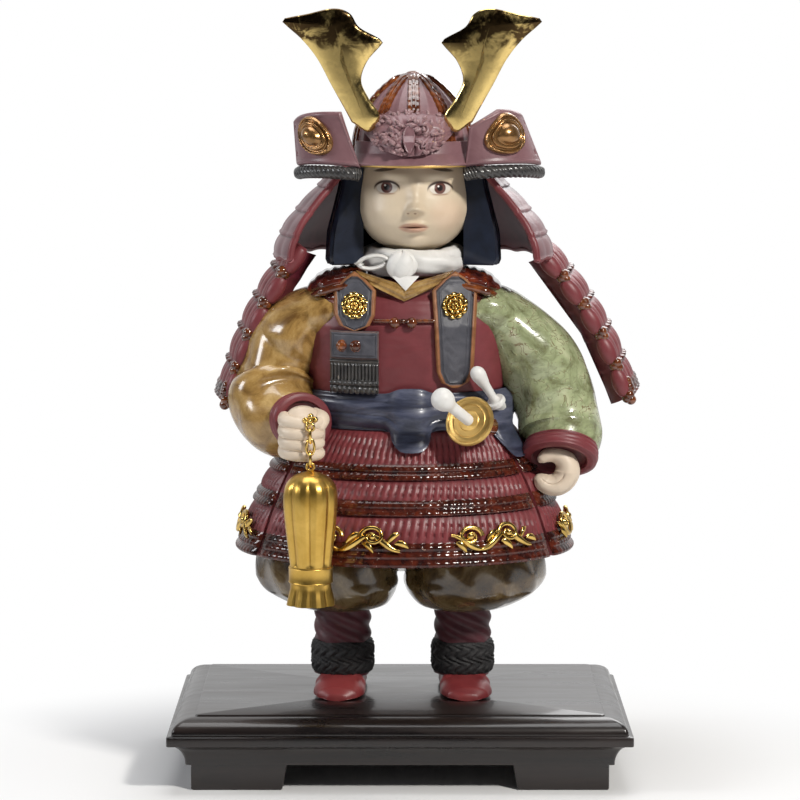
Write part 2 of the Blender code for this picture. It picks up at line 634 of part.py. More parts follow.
def chest(leather, gilt, cord_glaze, robe, torso):
    """Both chest plates with their flowers, the two-knob block, the toggled cord and the collar."""
    tip_z = SHOULDER + PLATE_TIP_ABOVE
    right = chest_plate("chest_plate_right", PLATE_RIGHT_X, PLATE_WIDTH, PLATE_RIGHT_LENGTH, 0.94, leather)
    left = chest_plate("chest_plate_left", PLATE_LEFT_X, PLATE_WIDTH * 1.06, PLATE_LEFT_LENGTH, 0.80, leather)
    flower("flower_right", PLATE_RIGHT_X, tip_z - FLOWER_DROP, gilt)
    flower("flower_left", PLATE_LEFT_X, tip_z - FLOWER_DROP, gilt)
    block_top = tip_z - PLATE_RIGHT_LENGTH - SEAT
    low = block_top - BLOCK_HEIGHT
    x = PLATE_RIGHT_X + np.linspace(-0.5, 0.5, 4) * BLOCK_WIDTH
    faces = [[np.stack((x, plate_back(x, z) - out, np.full(4, z)), axis=-1)
              for z, out in ((low, thick * 0.8), (low + 0.002, thick), (block_top - 0.001, thick),
                             (block_top, thick * 0.85))] for thick in (BLOCK_THICK, 0.0)]
    block = slab("chest_block", faces[0], faces[1][::3], leather)
    knobs = []
    for number, shift in enumerate((-0.0075, 0.0010)):
        x, z = PLATE_RIGHT_X + shift, block_top - BLOCK_HEIGHT * 0.52
        y = float(plate_back(x, z)) - BLOCK_THICK + 0.0003
        knobs.append(knob("block_knob_%d" % number, (x, y, z), KNOB_RADIUS, (0, -1, 0), leather))
    unite(block, *knobs)
    columns = 2 * FLAP_PLEATS + 1
    share = np.linspace(-0.5, 0.5, columns)
    raised = (np.arange(columns) % 2).astype(float)
    top, bottom = low - SEAT, low - FLAP_HEIGHT
    outer, inner = [], []
    for z, proud, pleat in ((top, 0.0040, 0.3), (bottom + 0.0060, 0.0058, 1.0), (bottom + 0.0056, 0.0060, 0.2),
                            (bottom + 0.0008, 0.0062, 1.0)):
        x = PLATE_RIGHT_X + share * BLOCK_WIDTH
        outer.append(np.stack((x, plate_back(x, z) - proud - pleat * raised * 0.0011,
                               np.full(columns, z)), axis=-1))
    for z in (top, (top + bottom) / 2, bottom + 0.0008):
        x = PLATE_RIGHT_X + share * BLOCK_WIDTH
        inner.append(np.stack((x, plate_back(x, z), np.full(columns, z)), axis=-1))
    slab("chest_flap", outer, inner, leather)
    toggle_z = SHOULDER - TOGGLE_DROP
    reach = np.linspace(PLATE_RIGHT_X + PLATE_WIDTH / 2 + 0.002, PLATE_LEFT_X - PLATE_WIDTH / 2 - 0.002, 5)
    path = np.stack((reach, chest_front(reach, toggle_z) - CORD_RADIUS - SEAT * 2,
                     np.full(5, toggle_z)), axis=-1)
    cord = loft("chest_cord", tube_rings(path, CORD_RADIUS, CORD_RADIUS, 5), cord_glaze)
    beads = []
    for number, shift in enumerate((-0.5, 0.5)):
        x = BODY_X - 0.001 + shift * TOGGLE_SPACING
        y = float(chest_front(x, toggle_z)) - TOGGLE_RADIUS - SEAT * 2
        beads.append(ball("toggle_%d" % number, (x, y, toggle_z - 0.001), TOGGLE_RADIUS, cord_glaze,
                          segments=6, rings=4))
    unite(cord, *beads)
    carve(cord, torso, right, left)
    collar(robe)


def ball(name, centre, radius, surface, scale=(1.0, 1.0, 1.0), segments=7, rings=5):
    """A small round piece."""
    shape = bmesh.new()
    bmesh.ops.create_uvsphere(shape, u_segments=segments, v_segments=rings, radius=radius)
    for vertex in shape.verts:
        vertex.co = Vector([c + v * s for c, v, s in zip(centre, vertex.co, scale)])
    mesh = bpy.data.meshes.new(name)
    shape.to_mesh(mesh)
    shape.free()
    mesh.shade_smooth()
    mesh.materials.append(surface)
    made = bpy.data.objects.new(name, mesh)
    DOLL.objects.link(made)
    made.parent = STAND
    return made


def knob(name, centre, radius, facing, surface, profile=None, segments=7):
    """A turned disc or knob whose axis points along facing; the profile is (reach, height) shares."""
    profile = profile or ((0.95, -0.3), (1.0, 0.25), (0.75, 0.60), (0.25, 0.85))
    facing = Vector(facing).normalized()
    across = facing.orthogonal().normalized()
    up = facing.cross(across)
    angle = turns(segments)
    rings = []
    for reach, height in profile:
        rings.append([np.array(centre) + radius * (height * np.array(facing)
                      + reach * (math.cos(t) * np.array(across) + math.sin(t) * np.array(up)))
                      for t in angle])
    return loft(name, rings, surface)


def collar(robe):
    """The robe's two edges, crossing low on the breast in a V that fills the gap between the chest plates."""
    columns = np.linspace(0.0, 1.0, 9)
    outer, inner = [], []
    for rise, proud in ((0.0, 0.8), (0.25, 1.0), (1.0, 1.0), (1.15, 0.6)):
        end_z = SHOULDER - COLLAR_DROP + COLLAR_SLOPE * 0.0150 + rise * COLLAR_WIDTH
        share = np.interp(SHOULDER + PLATE_TIP_ABOVE - end_z, (0.0, PLATE_POINT * 0.45, PLATE_POINT),
                          (0.06, 0.56, 1.0))
        start = PLATE_RIGHT_X + PLATE_WIDTH / 2 * share + SEAT
        finish = PLATE_LEFT_X - PLATE_WIDTH * 0.53 * share - SEAT
        x = start + columns * (finish - start)
        z = (SHOULDER - COLLAR_DROP + COLLAR_SLOPE * 0.0150 * np.abs(2 * columns - 1)
             + rise * COLLAR_WIDTH)
        outer.append(np.stack((x, plate_back(x, z) - COLLAR_THICK * proud, z), axis=-1))
        if rise != 0.25:
            inner.append(np.stack((x, plate_back(x, z), z), axis=-1))
    return slab("robe_collar", outer, inner, robe)


def sleeve(name, path, halves, torso, cloth, folds):
    """A full sleeve from the shoulder to the wrist, with folds that run round it."""
    count = 9
    line = smooth_path(path, count)
    place = np.linspace(0.0, len(path) - 1.0, count)
    half_u = np.interp(place, range(len(path)), halves[0])
    half_v = np.interp(place, range(len(path)), halves[1])
    rings = tube_rings(line, half_u, half_v, SLEEVE_SIDES, up=(0.0, -1.0, 0.15))
    angle = turns(SLEEVE_SIDES)
    along = place[:, None] / (len(path) - 1)
    wave = np.sin(folds * 2 * math.pi * along + 1.3 * np.sin(angle + 1.0) + 0.4)
    fade = np.sin(np.clip(along, 0.05, 0.95) * math.pi)
    middle = rings.mean(axis=1, keepdims=True)
    rings = middle + (rings - middle) * (1 + (SLEEVE_FOLD / 0.027 * wave * fade)[..., None])
    finish = rings[-1].mean(axis=0)
    ahead = (finish - rings[-2].mean(axis=0)) / np.linalg.norm(finish - rings[-2].mean(axis=0))
    wrist = 1 + CUFF_PROUD / halves[0][-1]
    for along, share in ((0.0004, wrist), (CUFF_LENGTH * 0.85, wrist), (CUFF_LENGTH, wrist * 0.88)):
        rings = np.concatenate((rings, (finish + (rings[8] - finish) * share + ahead * along)[None]))
    return carve(loft(name, rings, cloth), torso)


def waist_form():
    """A plain form round the sash and the skirt, which the sleeves are cut back to."""
    rings = []
    for z in (SKIRT_HEM, SKIRT_HEM + 0.040, WAIST):
        half_x, half_y = skirt_halves(z)
        out = TIER_STEP + LACE_PROUD + 2 * SEAT
        rings.append(plan(turns(2 * TORSO_SIDES), half_x + out, half_y + out, z))
    for z, out in ((WAIST + 0.0012, SASH_THICK + 0.0018), (SASH_TOP + 0.0002, SASH_THICK + 0.0018),
                   (SASH_TOP + 0.0006, -0.002)):
        rings.append(plan(turns(2 * TORSO_SIDES), WAIST_HALF_WIDTH + out, WAIST_HALF_DEPTH + out, z))
    made = loft("waist_form", rings, bpy.data.materials["black_lacquer"])
    made.hide_render = True
    made.display_type = "WIRE"
    DOLL.objects.unlink(made)
    CUTTERS.objects.link(made)
    return made


def right_hand(skin, sleeve_piece):
    """A fist held out in front, its thumb over the fingers, with a wrist that enters the cuff."""
    half_x, half_y, half_z = FIST_HALF
    wrist = np.array(SLEEVE_RIGHT[-1]) + (0.001, -0.004, 0.001)
    line = smooth_path([wrist, (FIST_X - 0.001, FIST_Y + half_y * 0.9, FIST_Z + 0.003),
                        (FIST_X, FIST_Y, FIST_Z), (FIST_X + 0.001, FIST_Y - half_y, FIST_Z - 0.004)], 9)
    half_u = np.interp(np.linspace(0, 3, 9), (0, 1, 2, 3), (0.0095, 0.0118, half_x, half_x * 0.45))
    half_v = np.interp(np.linspace(0, 3, 9), (0, 1, 2, 3), (0.0100, 0.0130, half_z, half_z * 0.50))
    made = loft("hand_right", tube_rings(line, half_u, half_v, 8, power=2.3), skin)
    thumb_line = smooth_path([(FIST_X + 0.007, FIST_Y + 0.010, FIST_Z + 0.010),
                              (FIST_X + 0.012, FIST_Y - 0.004, FIST_Z + 0.009),
                              (FIST_X + 0.0085, FIST_Y - 0.0135, FIST_Z + 0.003)], 5)
    thumb = loft("thumb_right", tube_rings(thumb_line, (0.003, 0.0046, 0.0045, 0.0040, 0.0018),
                                           (0.003, 0.0046, 0.0045, 0.0040, 0.0018), 6), skin)
    unite(made, thumb)
    return carve(made, sleeve_piece)


def left_hand(skin, sleeve_piece):
    """A hand curled round an empty grip: thumb above, fingers below, a round opening between them."""
    centre = np.array(GRIP_CENTRE)
    count = 12
    share = np.linspace(0.0, 1.0, count)
    turn = np.radians(150.0 - 312.0 * share)
    ring = np.stack((centre[0] + GRIP_RADIUS * np.cos(turn), centre[1] + 0.004 * np.sin(share * math.pi),
                     centre[2] + GRIP_RADIUS * np.sin(turn)), axis=-1)
    half = np.interp(share, (0.0, 0.10, 0.30, 0.50, 0.72, 0.92, 1.0), (0.30, 0.62, 0.86, 1.15, 1.05, 0.80, 0.30))
    rings = tube_rings(ring, half * GRIP_FINGER, half * GRIP_FINGER * 1.25, 9, up=(0.0, -1.0, 0.0))
    return carve(loft("hand_left", rings, skin), sleeve_piece)


def shoulder_guard(name, top, end, lacing, *neighbours):
    """Five laced lames that hang from the shoulder, bowed outwards from front to back."""
    top, end = np.array(top), np.array(end)
    slope = end - top
    length = np.linalg.norm(slope)
    ahead = slope / length
    outward = np.array([-ahead[1], ahead[0]]) * math.copysign(1.0, top[0])
    columns = 2 * GUARD_RIDGES + 1
    share = np.linspace(0.0, 1.0, columns)
    raised = (np.arange(columns) % 2).astype(float)
    y = GUARD_FRONT + share * GUARD_DEPTH
    bow = GUARD_BULGE * (1 - (2 * share - 1) ** 2)
    rows = []
    for lame in range(GUARD_LAMES):
        for place, proud, ridged in ((0.02, -0.6, 0.0), (0.50, 0.9, 1.0), (0.98, 0.3, 0.4)):
            rows.append(((lame + place) / GUARD_LAMES, proud, ridged))
    sag = 0.006
    outer, inner = [], []
    for place, proud, ridged in rows:
        lift = bow + GUARD_WALL / 2 + proud * LAME_STEP + ridged * raised * 0.0010
        lift = lift + sag * math.sin(place * math.pi)
        point = top + ahead * length * place
        outer.append(np.stack((point[0] + outward[0] * lift, y, point[1] + outward[1] * lift), axis=-1))
    for place in (0.004, 0.5, 0.996):
        lift = bow - GUARD_WALL / 2 + sag * math.sin(place * math.pi)
        point = top + ahead * length * place
        inner.append(np.stack((point[0] + outward[0] * lift, y, point[1] + outward[1] * lift), axis=-1))
    made = slab(name, outer, inner, lacing)
    return carve(made, *neighbours)


def yoke(lacing):
    """The corded strap over both shoulders and behind the neck, open between the chest plates."""
    first = round(YOKE_OPEN * TORSO_SIDES / (2 * math.pi))
    angle = turns(TORSO_SIDES)[first:TORSO_SIDES + 1 - first]
    outer, inner = [], []
    for rise in (-0.0100, -0.0010, 0.0060):
        half_x, half_y = torso_halves(SHOULDER + rise)
        for target, lift in ((outer, YOKE_THICK), (inner, SEAT)):
            target.append(plan(angle, half_x + lift * 0.6, half_y + lift * 0.6, SHOULDER + rise + lift,
                               power=CHEST_POWER))
    return slab("shoulder_yoke", outer, inner, lacing)


# Head, hair and scarf
HEAD_X = 0.0085
HEAD_Y = -0.0040
HEAD_HALF_WIDTH = 0.0355
HEAD_HALF_DEPTH = 0.0400
NECK_HALF = 0.0200
HAIR_THICK = 0.0075
HAIR_DROP = 0.0080
HAIR_OPEN = math.radians(72.0)
HAIR_STRANDS = 9

# Helmet
BOWL_HALF_WIDTH = 0.0385
BOWL_HALF_DEPTH = 0.0450
BOWL_RIBS = 10
RIB_PROUD = 0.0016
VISOR_REACH = 0.0100
VISOR_WALL = 0.0030
VISOR_SPAN = math.radians(121.0)
CREST_WIDTH = 0.0600
CREST_HEIGHT = 0.0285
CREST_THICK = 0.0075
HORN_THICK = 0.0032
HORN_Y = -0.0425
HORN_FOOT = 0.0070
HORN_LEAN = math.radians(6.0)
NECK_GUARD_FLARE = 0.0400
NECK_GUARD_DROP = 0.0600
NECK_GUARD_WALL = 0.0034
NECK_GUARD_OPEN = math.radians(62.0)
NECK_GUARD_LAMES = 4
NECK_GUARD_RIDGES = 8
TURNBACK_HEIGHT = 0.0340
TURNBACK_WALL = 0.0034
TURNBACK_BEND = 0.0360
TURNBACK_CURL = 0.0130
BOSS_RADIUS = 0.0130
BOSS_PLACE = 0.48
BRAID_RADIUS = 0.0042
BRAID_CORDS = 5

# Swords, each end measured from the left hip at the top of the sash
POMMEL_FROM_HIP = (-0.0415, -0.0390, 0.0015)
GUARD_FROM_HIP = (-0.0240, -0.0230, -0.0145)
SHORT_POMMEL_FROM_HIP = (-0.0181, -0.0040, 0.0121)
SHORT_GUARD_FROM_HIP = (-0.0076, 0.0050, -0.0048)
POMMEL_RADIUS = 0.0070
TSUBA_RADIUS = 0.0158
TSUBA_THICK = 0.0032
SHORT_POMMEL_RADIUS = 0.0048
SHEATH_RADIUS = 0.0062
SHEATH_LENGTH = 0.0500

# Chain and tassel
TASSEL_X = -0.0548
TASSEL_Y = -0.0935
TASSEL_TOP = 0.2035
TASSEL_RADIUS = 0.0172
TASSEL_HEIGHT = 0.0585
TASSEL_BAND = 0.0100
TASSEL_SKIRT = 0.0135
TASSEL_FLARE = 0.0155
TASSEL_FLUTES = 8
LINK_WIRE = 0.00085
LINK_HALF = 0.0048
LINK_WIDTH = 0.0024
LINKS = 3
EYE_RADIUS = 2 * LINK_WIRE + PIVOT_PLAY

# Gilt scrolls
SCROLL_WIDTH = 0.0440
SCROLL_THICK = 0.0032


def head_radius(z):
    """Share of the head's width at a height: round cheeks low down, a narrower brow."""
    level = (np.asarray(z) - CHIN) / FACE_HEIGHT
    return np.interp(level, (0.0, 0.03, 0.10, 0.22, 0.42, 0.62, 0.82, 1.0),
                     (0.50, 0.66, 0.82, 0.95, 1.0, 0.985, 0.95, 0.90))


def head(skin):
    """A round child's head with cheeks, nose, lips and eye hollows, on a short neck."""
    angle = turns(16)
    rings = [plan(angle, NECK_HALF, NECK_HALF, SHOULDER + 0.0065, centre=(HEAD_X, 0.0)),
             plan(angle, NECK_HALF, NECK_HALF, CHIN - 0.004, centre=(HEAD_X, HEAD_Y * 0.5))]
    folded = np.abs((angle + math.pi) % (2 * math.pi) - math.pi)
    for level in (0.0, 0.05, 0.14, 0.22, 0.29, 0.37, 0.45, 0.52, 0.60, 0.72, 0.86, 0.99):
        z = CHIN + level * FACE_HEIGHT
        share = head_radius(z)
        nose = 0.0060 * np.exp(-((level - 0.49) / 0.065) ** 2) + 0.0028 * np.exp(-((level - 0.62) / 0.13) ** 2)
        lips = 0.0026 * np.exp(-((level - 0.28) / 0.060) ** 2)
        chin = 0.0025 * np.exp(-((level - 0.06) / 0.07) ** 2)
        hollow = -0.0022 * np.exp(-((level - 0.69) / 0.075) ** 2) * np.exp(-((folded - 0.44) / 0.20) ** 2)
        cheek = 0.0014 * np.exp(-((level - 0.38) / 0.16) ** 2) * np.exp(-((folded - 0.62) / 0.28) ** 2)
        front = nose * np.exp(-(folded / 0.15) ** 2) + (lips + chin) * np.exp(-(folded / 0.27) ** 2)
        out = front + hollow + cheek
        shift = -0.004 * (1 - level)
        rings.append(plan(angle, HEAD_HALF_WIDTH * share, HEAD_HALF_DEPTH * share, z,
                          centre=(HEAD_X, HEAD_Y + shift))
                     + plan(angle, 1.0, 1.0, 0.0, centre=(0.0, 0.0)) * out[:, None])
    return loft("head", rings, skin)


def hair(strand_colour):
    """Straight hair round the sides and back of the head, cut level above the shoulders."""
    columns = 2 * HAIR_STRANDS + 1
    angle = np.linspace(HAIR_OPEN, 2 * math.pi - HAIR_OPEN, columns)
    raised = (np.arange(columns) % 2).astype(float)
    low = CHIN - HAIR_DROP
    outer, inner = [], []
    for z, swell in ((RIM - SEAT * 2, -0.001), (RIM - 0.020, 0.001), (CHIN + 0.012, 0.004), (low, 0.005)):
        out = HAIR_THICK + swell + raised * 0.0012
        outer.append(plan(angle, HEAD_HALF_WIDTH + out, HEAD_HALF_DEPTH + out, z, centre=(HEAD_X, HEAD_Y)))
    for z in (RIM - SEAT * 2, low):
        inner.append(plan(angle, HEAD_HALF_WIDTH + 2 * SEAT, HEAD_HALF_DEPTH + 2 * SEAT, z,
                          centre=(HEAD_X, HEAD_Y - 0.0023)))
    return slab("hair", outer, inner, strand_colour)


def scarf(cloth):
    """A thick scarf wound round the neck and tied in front, with one loop standing out."""
    angle = turns(14)
    loops = []
    for number, (reach, rise) in enumerate(((NECK_HALF + 0.0012, -0.0140), (NECK_HALF + 0.0012, -0.0050),
                                            (0.0255, -0.0012), (0.0325, 0.0015), (0.0335, -0.0060),
                                            (0.0290, -0.0150))):
        fold = 0.0010 * np.sin(3 * angle + number) if number > 2 else 0.0
        half = reach + fold
        lift = 0.0012 * (1 - np.cos(angle)) if number > 1 else 0.0
        middle_y = -0.0065 if number > 1 else HEAD_Y * 0.3
        loops.append(plan(angle, half, half, CHIN + rise + lift, centre=(HEAD_X, middle_y)))
    made = loft("scarf", loops, cloth, loop=True)
    flip_ring(made)
    knot_piece = ball("scarf_knot", (HEAD_X - 0.0085, -0.0415, CHIN - 0.0065), 0.0078, cloth,
                      scale=(1.0, 0.62, 0.95), segments=6, rings=4)
    return unite(made, knot_piece)


def bowl_share(level):
    """Share of the bowl's half width at a share of its height."""
    return np.cos(np.clip(level, 0.0, 1.0) ** 1.25 * math.pi / 2 * 0.97) ** 0.72


def helmet_bowl(lacquer):
    """A domed bowl with raised ribs that meet at the crown."""
    columns = 2 * BOWL_RIBS
    angle = turns(columns)
    rib = (np.arange(columns) % 2 == 0).astype(float)
    rings = []
    for level in (0.0, 0.18, 0.42, 0.68, 0.88, 0.995):
        share = bowl_share(level)
        out = RIB_PROUD * rib * min(1.0, level * 6, (1.0 - level) * 8)
        rings.append(plan(angle, BOWL_HALF_WIDTH * share + out, BOWL_HALF_DEPTH * share + out,
                          RIM + SEAT + level * (BOWL_HEIGHT - SEAT), centre=(HEAD_X, 0.0)))
    return loft("helmet_bowl", rings, lacquer)


def helmet_visor(lacquer):
    """The brim over the brow, with a raised edge; its upper part lies on the bowl's ribs."""
    angle = np.linspace(-VISOR_SPAN / 2, VISOR_SPAN / 2, 13)
    fade = np.cos(angle / VISOR_SPAN * math.pi) ** 0.5
    outer, inner = [], []
    for z, reach in ((RIM + 0.010, 0.002), (RIM + 0.002, VISOR_REACH * 0.55), (RIM - 0.0040, VISOR_REACH),
                     (RIM - 0.0052, VISOR_REACH + 0.0008), (RIM - 0.0068, VISOR_REACH + 0.0002)):
        out = RIB_PROUD + 0.0015 + reach * fade
        outer.append(plan(angle, BOWL_HALF_WIDTH + out, BOWL_HALF_DEPTH + out, z, centre=(HEAD_X, 0.0)))
    for z, reach in ((RIM + 0.010, 0.0), (RIM - SEAT, 0.0), (RIM - 0.0068, VISOR_REACH)):
        out = RIB_PROUD + 2 * SEAT + (reach - VISOR_WALL * (reach > 0)) * fade
        inner.append(plan(angle, BOWL_HALF_WIDTH + out, BOWL_HALF_DEPTH + out, z, centre=(HEAD_X, 0.0)))
    return slab("helmet_visor", outer, inner, lacquer)


def helmet_crest(lacquer):
    """A carved crest over the brow: overlapping leaves that rise to a point at each end."""
    columns, rows = 13, 7
    across = np.linspace(-1.0, 1.0, columns)
    outer, inner = [], []
    for rise in np.linspace(0.0, 1.0, rows):
        half = CREST_WIDTH / 2 * (0.55 + 0.45 * math.sin(min(1.0, rise * 1.25) * math.pi / 2))
        x = HEAD_X - 0.003 + across * half
        z = RIM + 0.0015 + rise * CREST_HEIGHT * (1 - 0.30 * across ** 2) + 0.004 * across ** 2
        level = (z - RIM) / BOWL_HEIGHT
        stand = np.interp(z, (RIM, RIM + 0.0020, RIM + 0.0102, RIM + 0.0140),
                          (0.0116, 0.0094, 0.0068, RIB_PROUD + SEAT * 3))
        share = np.where(z < RIM + 0.0102, 1.0, bowl_share(level))
        half_x, half_y = BOWL_HALF_WIDTH * share + stand, BOWL_HALF_DEPTH * share + stand
        inside = np.sqrt(np.clip(1 - ((x - HEAD_X) / half_x) ** 2, 0.04, 1.0))
        surface = -half_y * inside
        edge = (1 - across ** 6) * math.sin(min(1.0, 0.15 + rise * 0.95) * math.pi) ** 0.5
        leaf = 0.5 + 0.5 * np.cos(across * 17 + rise * 5) * np.cos(rise * 13 - np.abs(across) * 7)
        proud = 0.0015 + (CREST_THICK * 0.62 + CREST_THICK * 0.38 * leaf) * edge
        outer.append(np.stack((x, surface - proud, z), axis=-1))
        if not 0.8 < rise < 0.9:
            inner.append(np.stack((x, surface, z), axis=-1))
    return slab("helmet_crest", outer, inner, lacquer)


def horn(name, mirror, gilt):
    """A flat gilt horn that springs from the crest and spreads to a notched, pointed head."""
    outline = [(-0.0300, 0.0150), (-0.0190, 0.0090), (-0.0125, 0.0185), (-0.0195, 0.0300), (-0.0240, 0.0410),
               (-0.0200, 0.0530), (-0.0105, 0.0640), (-0.0125, 0.0665), (-0.0250, 0.0735),
               (-0.0310, 0.0820), (-0.0410, 0.0850), (-0.0580, 0.0815), (-0.0710, 0.0790), (-0.0725, 0.0768),
               (-0.0605, 0.0660), (-0.0510, 0.0540), (-0.0425, 0.0380), (-0.0350, 0.0245)]
    outline = np.array(outline)
    middle = outline.mean(axis=0)
    tilt = math.tan(HORN_LEAN)
    rings = []
    for thick, share in ((-0.5, 0.95), (0.0, 1.0), (0.5, 0.95)):
        ring = middle + (outline - middle) * share
        x = ring[:, 0] if not mirror else 2 * 0.0075 - ring[:, 0]
        rise = ring[:, 1]
        y = HORN_Y + thick * HORN_THICK - rise * tilt + 0.004
        rings.append(np.stack((x, y, RIM + HORN_FOOT + rise), axis=-1))
    return loft(name, rings, gilt, smooth_angle=30.0)


def neck_guard(lacing, *neighbours):
    """The guard that flares from the bowl's rim round the sides and back, in laced lames."""
    columns = 2 * NECK_GUARD_RIDGES + 1
    angle = np.linspace(NECK_GUARD_OPEN, 2 * math.pi - NECK_GUARD_OPEN, columns)
    raised = (np.arange(columns) % 2).astype(float)
    top_z, low_z = RIM - 0.004, RIM - 0.004 - NECK_GUARD_DROP
    outer, inner = [], []

    def reach(level):
        return HAIR_THICK + 0.0035 + NECK_GUARD_FLARE * math.sin(level * math.pi / 2) ** 1.2

    for lame in range(NECK_GUARD_LAMES):
        for place, proud, ridged in ((0.02, -0.0012, 0.0), (0.96, 0.0010, 1.0)):
            level = (lame + place) / NECK_GUARD_LAMES
            out = reach(level) + NECK_GUARD_WALL / 2 + proud + ridged * raised * 0.0010
            outer.append(plan(angle, HEAD_HALF_WIDTH + out, HEAD_HALF_DEPTH + out,
                              top_z + (low_z - top_z) * level, centre=(HEAD_X, 0.0)))
    for level in (0.004, 0.5, 0.996):
        out = reach(level) - NECK_GUARD_WALL / 2
        inner.append(plan(angle, HEAD_HALF_WIDTH + out, HEAD_HALF_DEPTH + out,
                          top_z + (low_z - top_z) * level, centre=(HEAD_X, 0.0)))
    return carve(slab("neck_guard", outer, inner, lacing), *neighbours)


def turnback_plan(side, share, offset=0.0):
    """Plan of a turnback: a tight curl by the visor, then a wide bend round to the side."""
    centre_x = HEAD_X + side * 0.0370
    centre_y = -0.0048
    turn = -0.75 + np.asarray(share) * 2.25
    bend = np.where(turn < 0, TURNBACK_CURL, TURNBACK_BEND) + offset
    near = np.where(turn < 0, TURNBACK_BEND - TURNBACK_CURL, 0.0)
    return (centre_x + side * bend * np.sin(turn), centre_y - near - bend * np.cos(turn))


def turnback(name, side, lacquer, braid_colour, brass, *neighbours):
    """A winged plate of the helmet with its boss and the corded roll along its lower edge."""
    starts = (0.21, 0.43) if side < 0 else (0.12, 0.32)
    lean = -0.06 if side < 0 else 0.40
    low_z = RIM - 0.0065 if side < 0 else RIM - 0.0060

    def sheet(across, rise, offset):
        """A point of the plate: straight lines between its bent lower edge and its bent upper edge."""
        point = 0.0
        tall = 1.03 - 0.18 * across if side < 0 else np.interp(across, (0.0, 0.4, 1.0), (0.74, 1.0, 0.96))
        for edge, weight in ((0, 1.0 - rise), (1, rise)):
            share = starts[edge] + (1 - starts[edge]) * across
            x, y = turnback_plan(side, share, offset)
            x = x + side * lean * TURNBACK_HEIGHT * (0.5 - edge) * share
            z = low_z + TURNBACK_HEIGHT * edge * tall + 0.002 * np.sin(across * math.pi)
            point = point + np.stack((x, y, z), axis=-1) * np.reshape(weight, (-1, 1))
        return point

    across = np.linspace(0.0, 1.0, 10)
    outer = [sheet(across, rise, TURNBACK_WALL / 2) for rise in (0.0, 1.0)]
    inner = [sheet(across, rise, -TURNBACK_WALL / 2) for rise in (0.0, 1.0)]
    plate = slab(name, outer, inner, lacquer)
    path = (np.array(outer[0]) + np.array(inner[0])) / 2 - (0.0, 0.0, BRAID_RADIUS + SEAT)
    line = smooth_path(path, 2 * BRAID_CORDS + 1)
    swell = np.where(np.arange(len(line)) % 2 == 0, 0.86, 1.0)
    swell[[0, -1]] = 0.6
    loft(name + "_braid", tube_rings(line, BRAID_RADIUS * swell, BRAID_RADIUS * swell, 5),
         braid_colour)
    rings = []
    turn = turns(10)
    for reach, lift in ((0.12, 0.0), (0.56, 0.0), (0.96, 0.0), (1.0, 0.0016), (0.86, 0.0034), (0.80, 0.0026),
                        (0.56, 0.0048), (0.18, 0.0056)):
        along = BOSS_PLACE + BOSS_RADIUS * reach * np.cos(turn) / 0.057
        high = 0.56 + BOSS_RADIUS * reach * np.sin(turn) / TURNBACK_HEIGHT
        rings.append(sheet(along, high, TURNBACK_WALL / 2 + 2 * SEAT + lift))
    loft(name + "_boss", rings, brass)
    return carve(plate, *neighbours)


def swords(grip_colour, gilt, sheath_lacquer, *neighbours):
    """Two swords thrust through the sash on the left: grips in front, sheaths behind."""
    hip = Vector((BODY_X + WAIST_HALF_WIDTH, -WAIST_HALF_DEPTH, SASH_TOP))
    pommel = hip + Vector(POMMEL_FROM_HIP)
    guard = hip + Vector(GUARD_FROM_HIP)
    aim = (guard - pommel).normalized()
    length = (guard - pommel).length
    places = [(-0.0055, 0.35), (-0.0035, 0.80), (0.0, 1.0), (0.0045, 0.92), (0.0085, 0.60),
              (0.0120, 0.52), (length - TSUBA_THICK / 2 - SEAT, 0.50)]
    rings = turned_rings(pommel, aim, [(place, share * POMMEL_RADIUS) for place, share in places], 8)
    loft("long_sword_grip", rings, grip_colour)
    half = TSUBA_THICK / 2
    profile = [(-half, TSUBA_RADIUS * 0.42), (-half * 0.6, TSUBA_RADIUS * 0.88),
               (-half * 0.7, TSUBA_RADIUS * 0.96), (0.0, TSUBA_RADIUS), (half, TSUBA_RADIUS * 0.94),
               (half, TSUBA_RADIUS * 0.4)]
    loft("long_sword_guard", turned_rings(guard, aim, profile, 16), gilt)
    out = guard + aim * (half + SEAT)
    sheath_aim = Vector((0.45, 0.88, -0.15)).normalized()
    rings = turned_rings(out, aim, [(0.0, SHEATH_RADIUS * 0.85)], 8)
    rings += turned_rings(out + aim * 0.0030, sheath_aim, [(0.0020, SHEATH_RADIUS),
                                                           (SHEATH_LENGTH, SHEATH_RADIUS)], 8)
    carve(loft("long_sword_sheath", rings, sheath_lacquer), *neighbours)
    short_pommel = hip + Vector(SHORT_POMMEL_FROM_HIP)
    short_guard = hip + Vector(SHORT_GUARD_FROM_HIP)
    aim = (short_guard - short_pommel).normalized()
    length = (short_guard - short_pommel).length
    places = [(-0.0060, 0.4), (-0.0035, 0.88), (0.0, 1.0), (0.0060, 0.80), (0.0100, 0.62),
              (length, 0.60), (length + 0.001, 1.25), (length + 0.003, 1.25)]
    rings = turned_rings(short_pommel, aim, [(place, share * SHORT_POMMEL_RADIUS) for place, share in places],
                         8)
    tail_aim = Vector((0.22, 0.92, -0.32)).normalized()
    rings += turned_rings(short_guard, tail_aim, [(0.0055, SHORT_POMMEL_RADIUS * 0.8),
                                                  (0.0230, SHORT_POMMEL_RADIUS * 0.8)], 8)
    carve(loft("short_sword_grip", rings, grip_colour), *neighbours)


def turned_rings(start, aim, profile, sides):
    """Rings of a turned piece: (distance along the aim, radius) pairs."""
    across = aim.cross(Vector((0.0, 0.0, 1.0))).normalized()
    up = aim.cross(across)
    return [[np.array(start + aim * along + (across * math.cos(t) + up * math.sin(t)) * radius)
             for t in turns(sides)] for along, radius in profile]


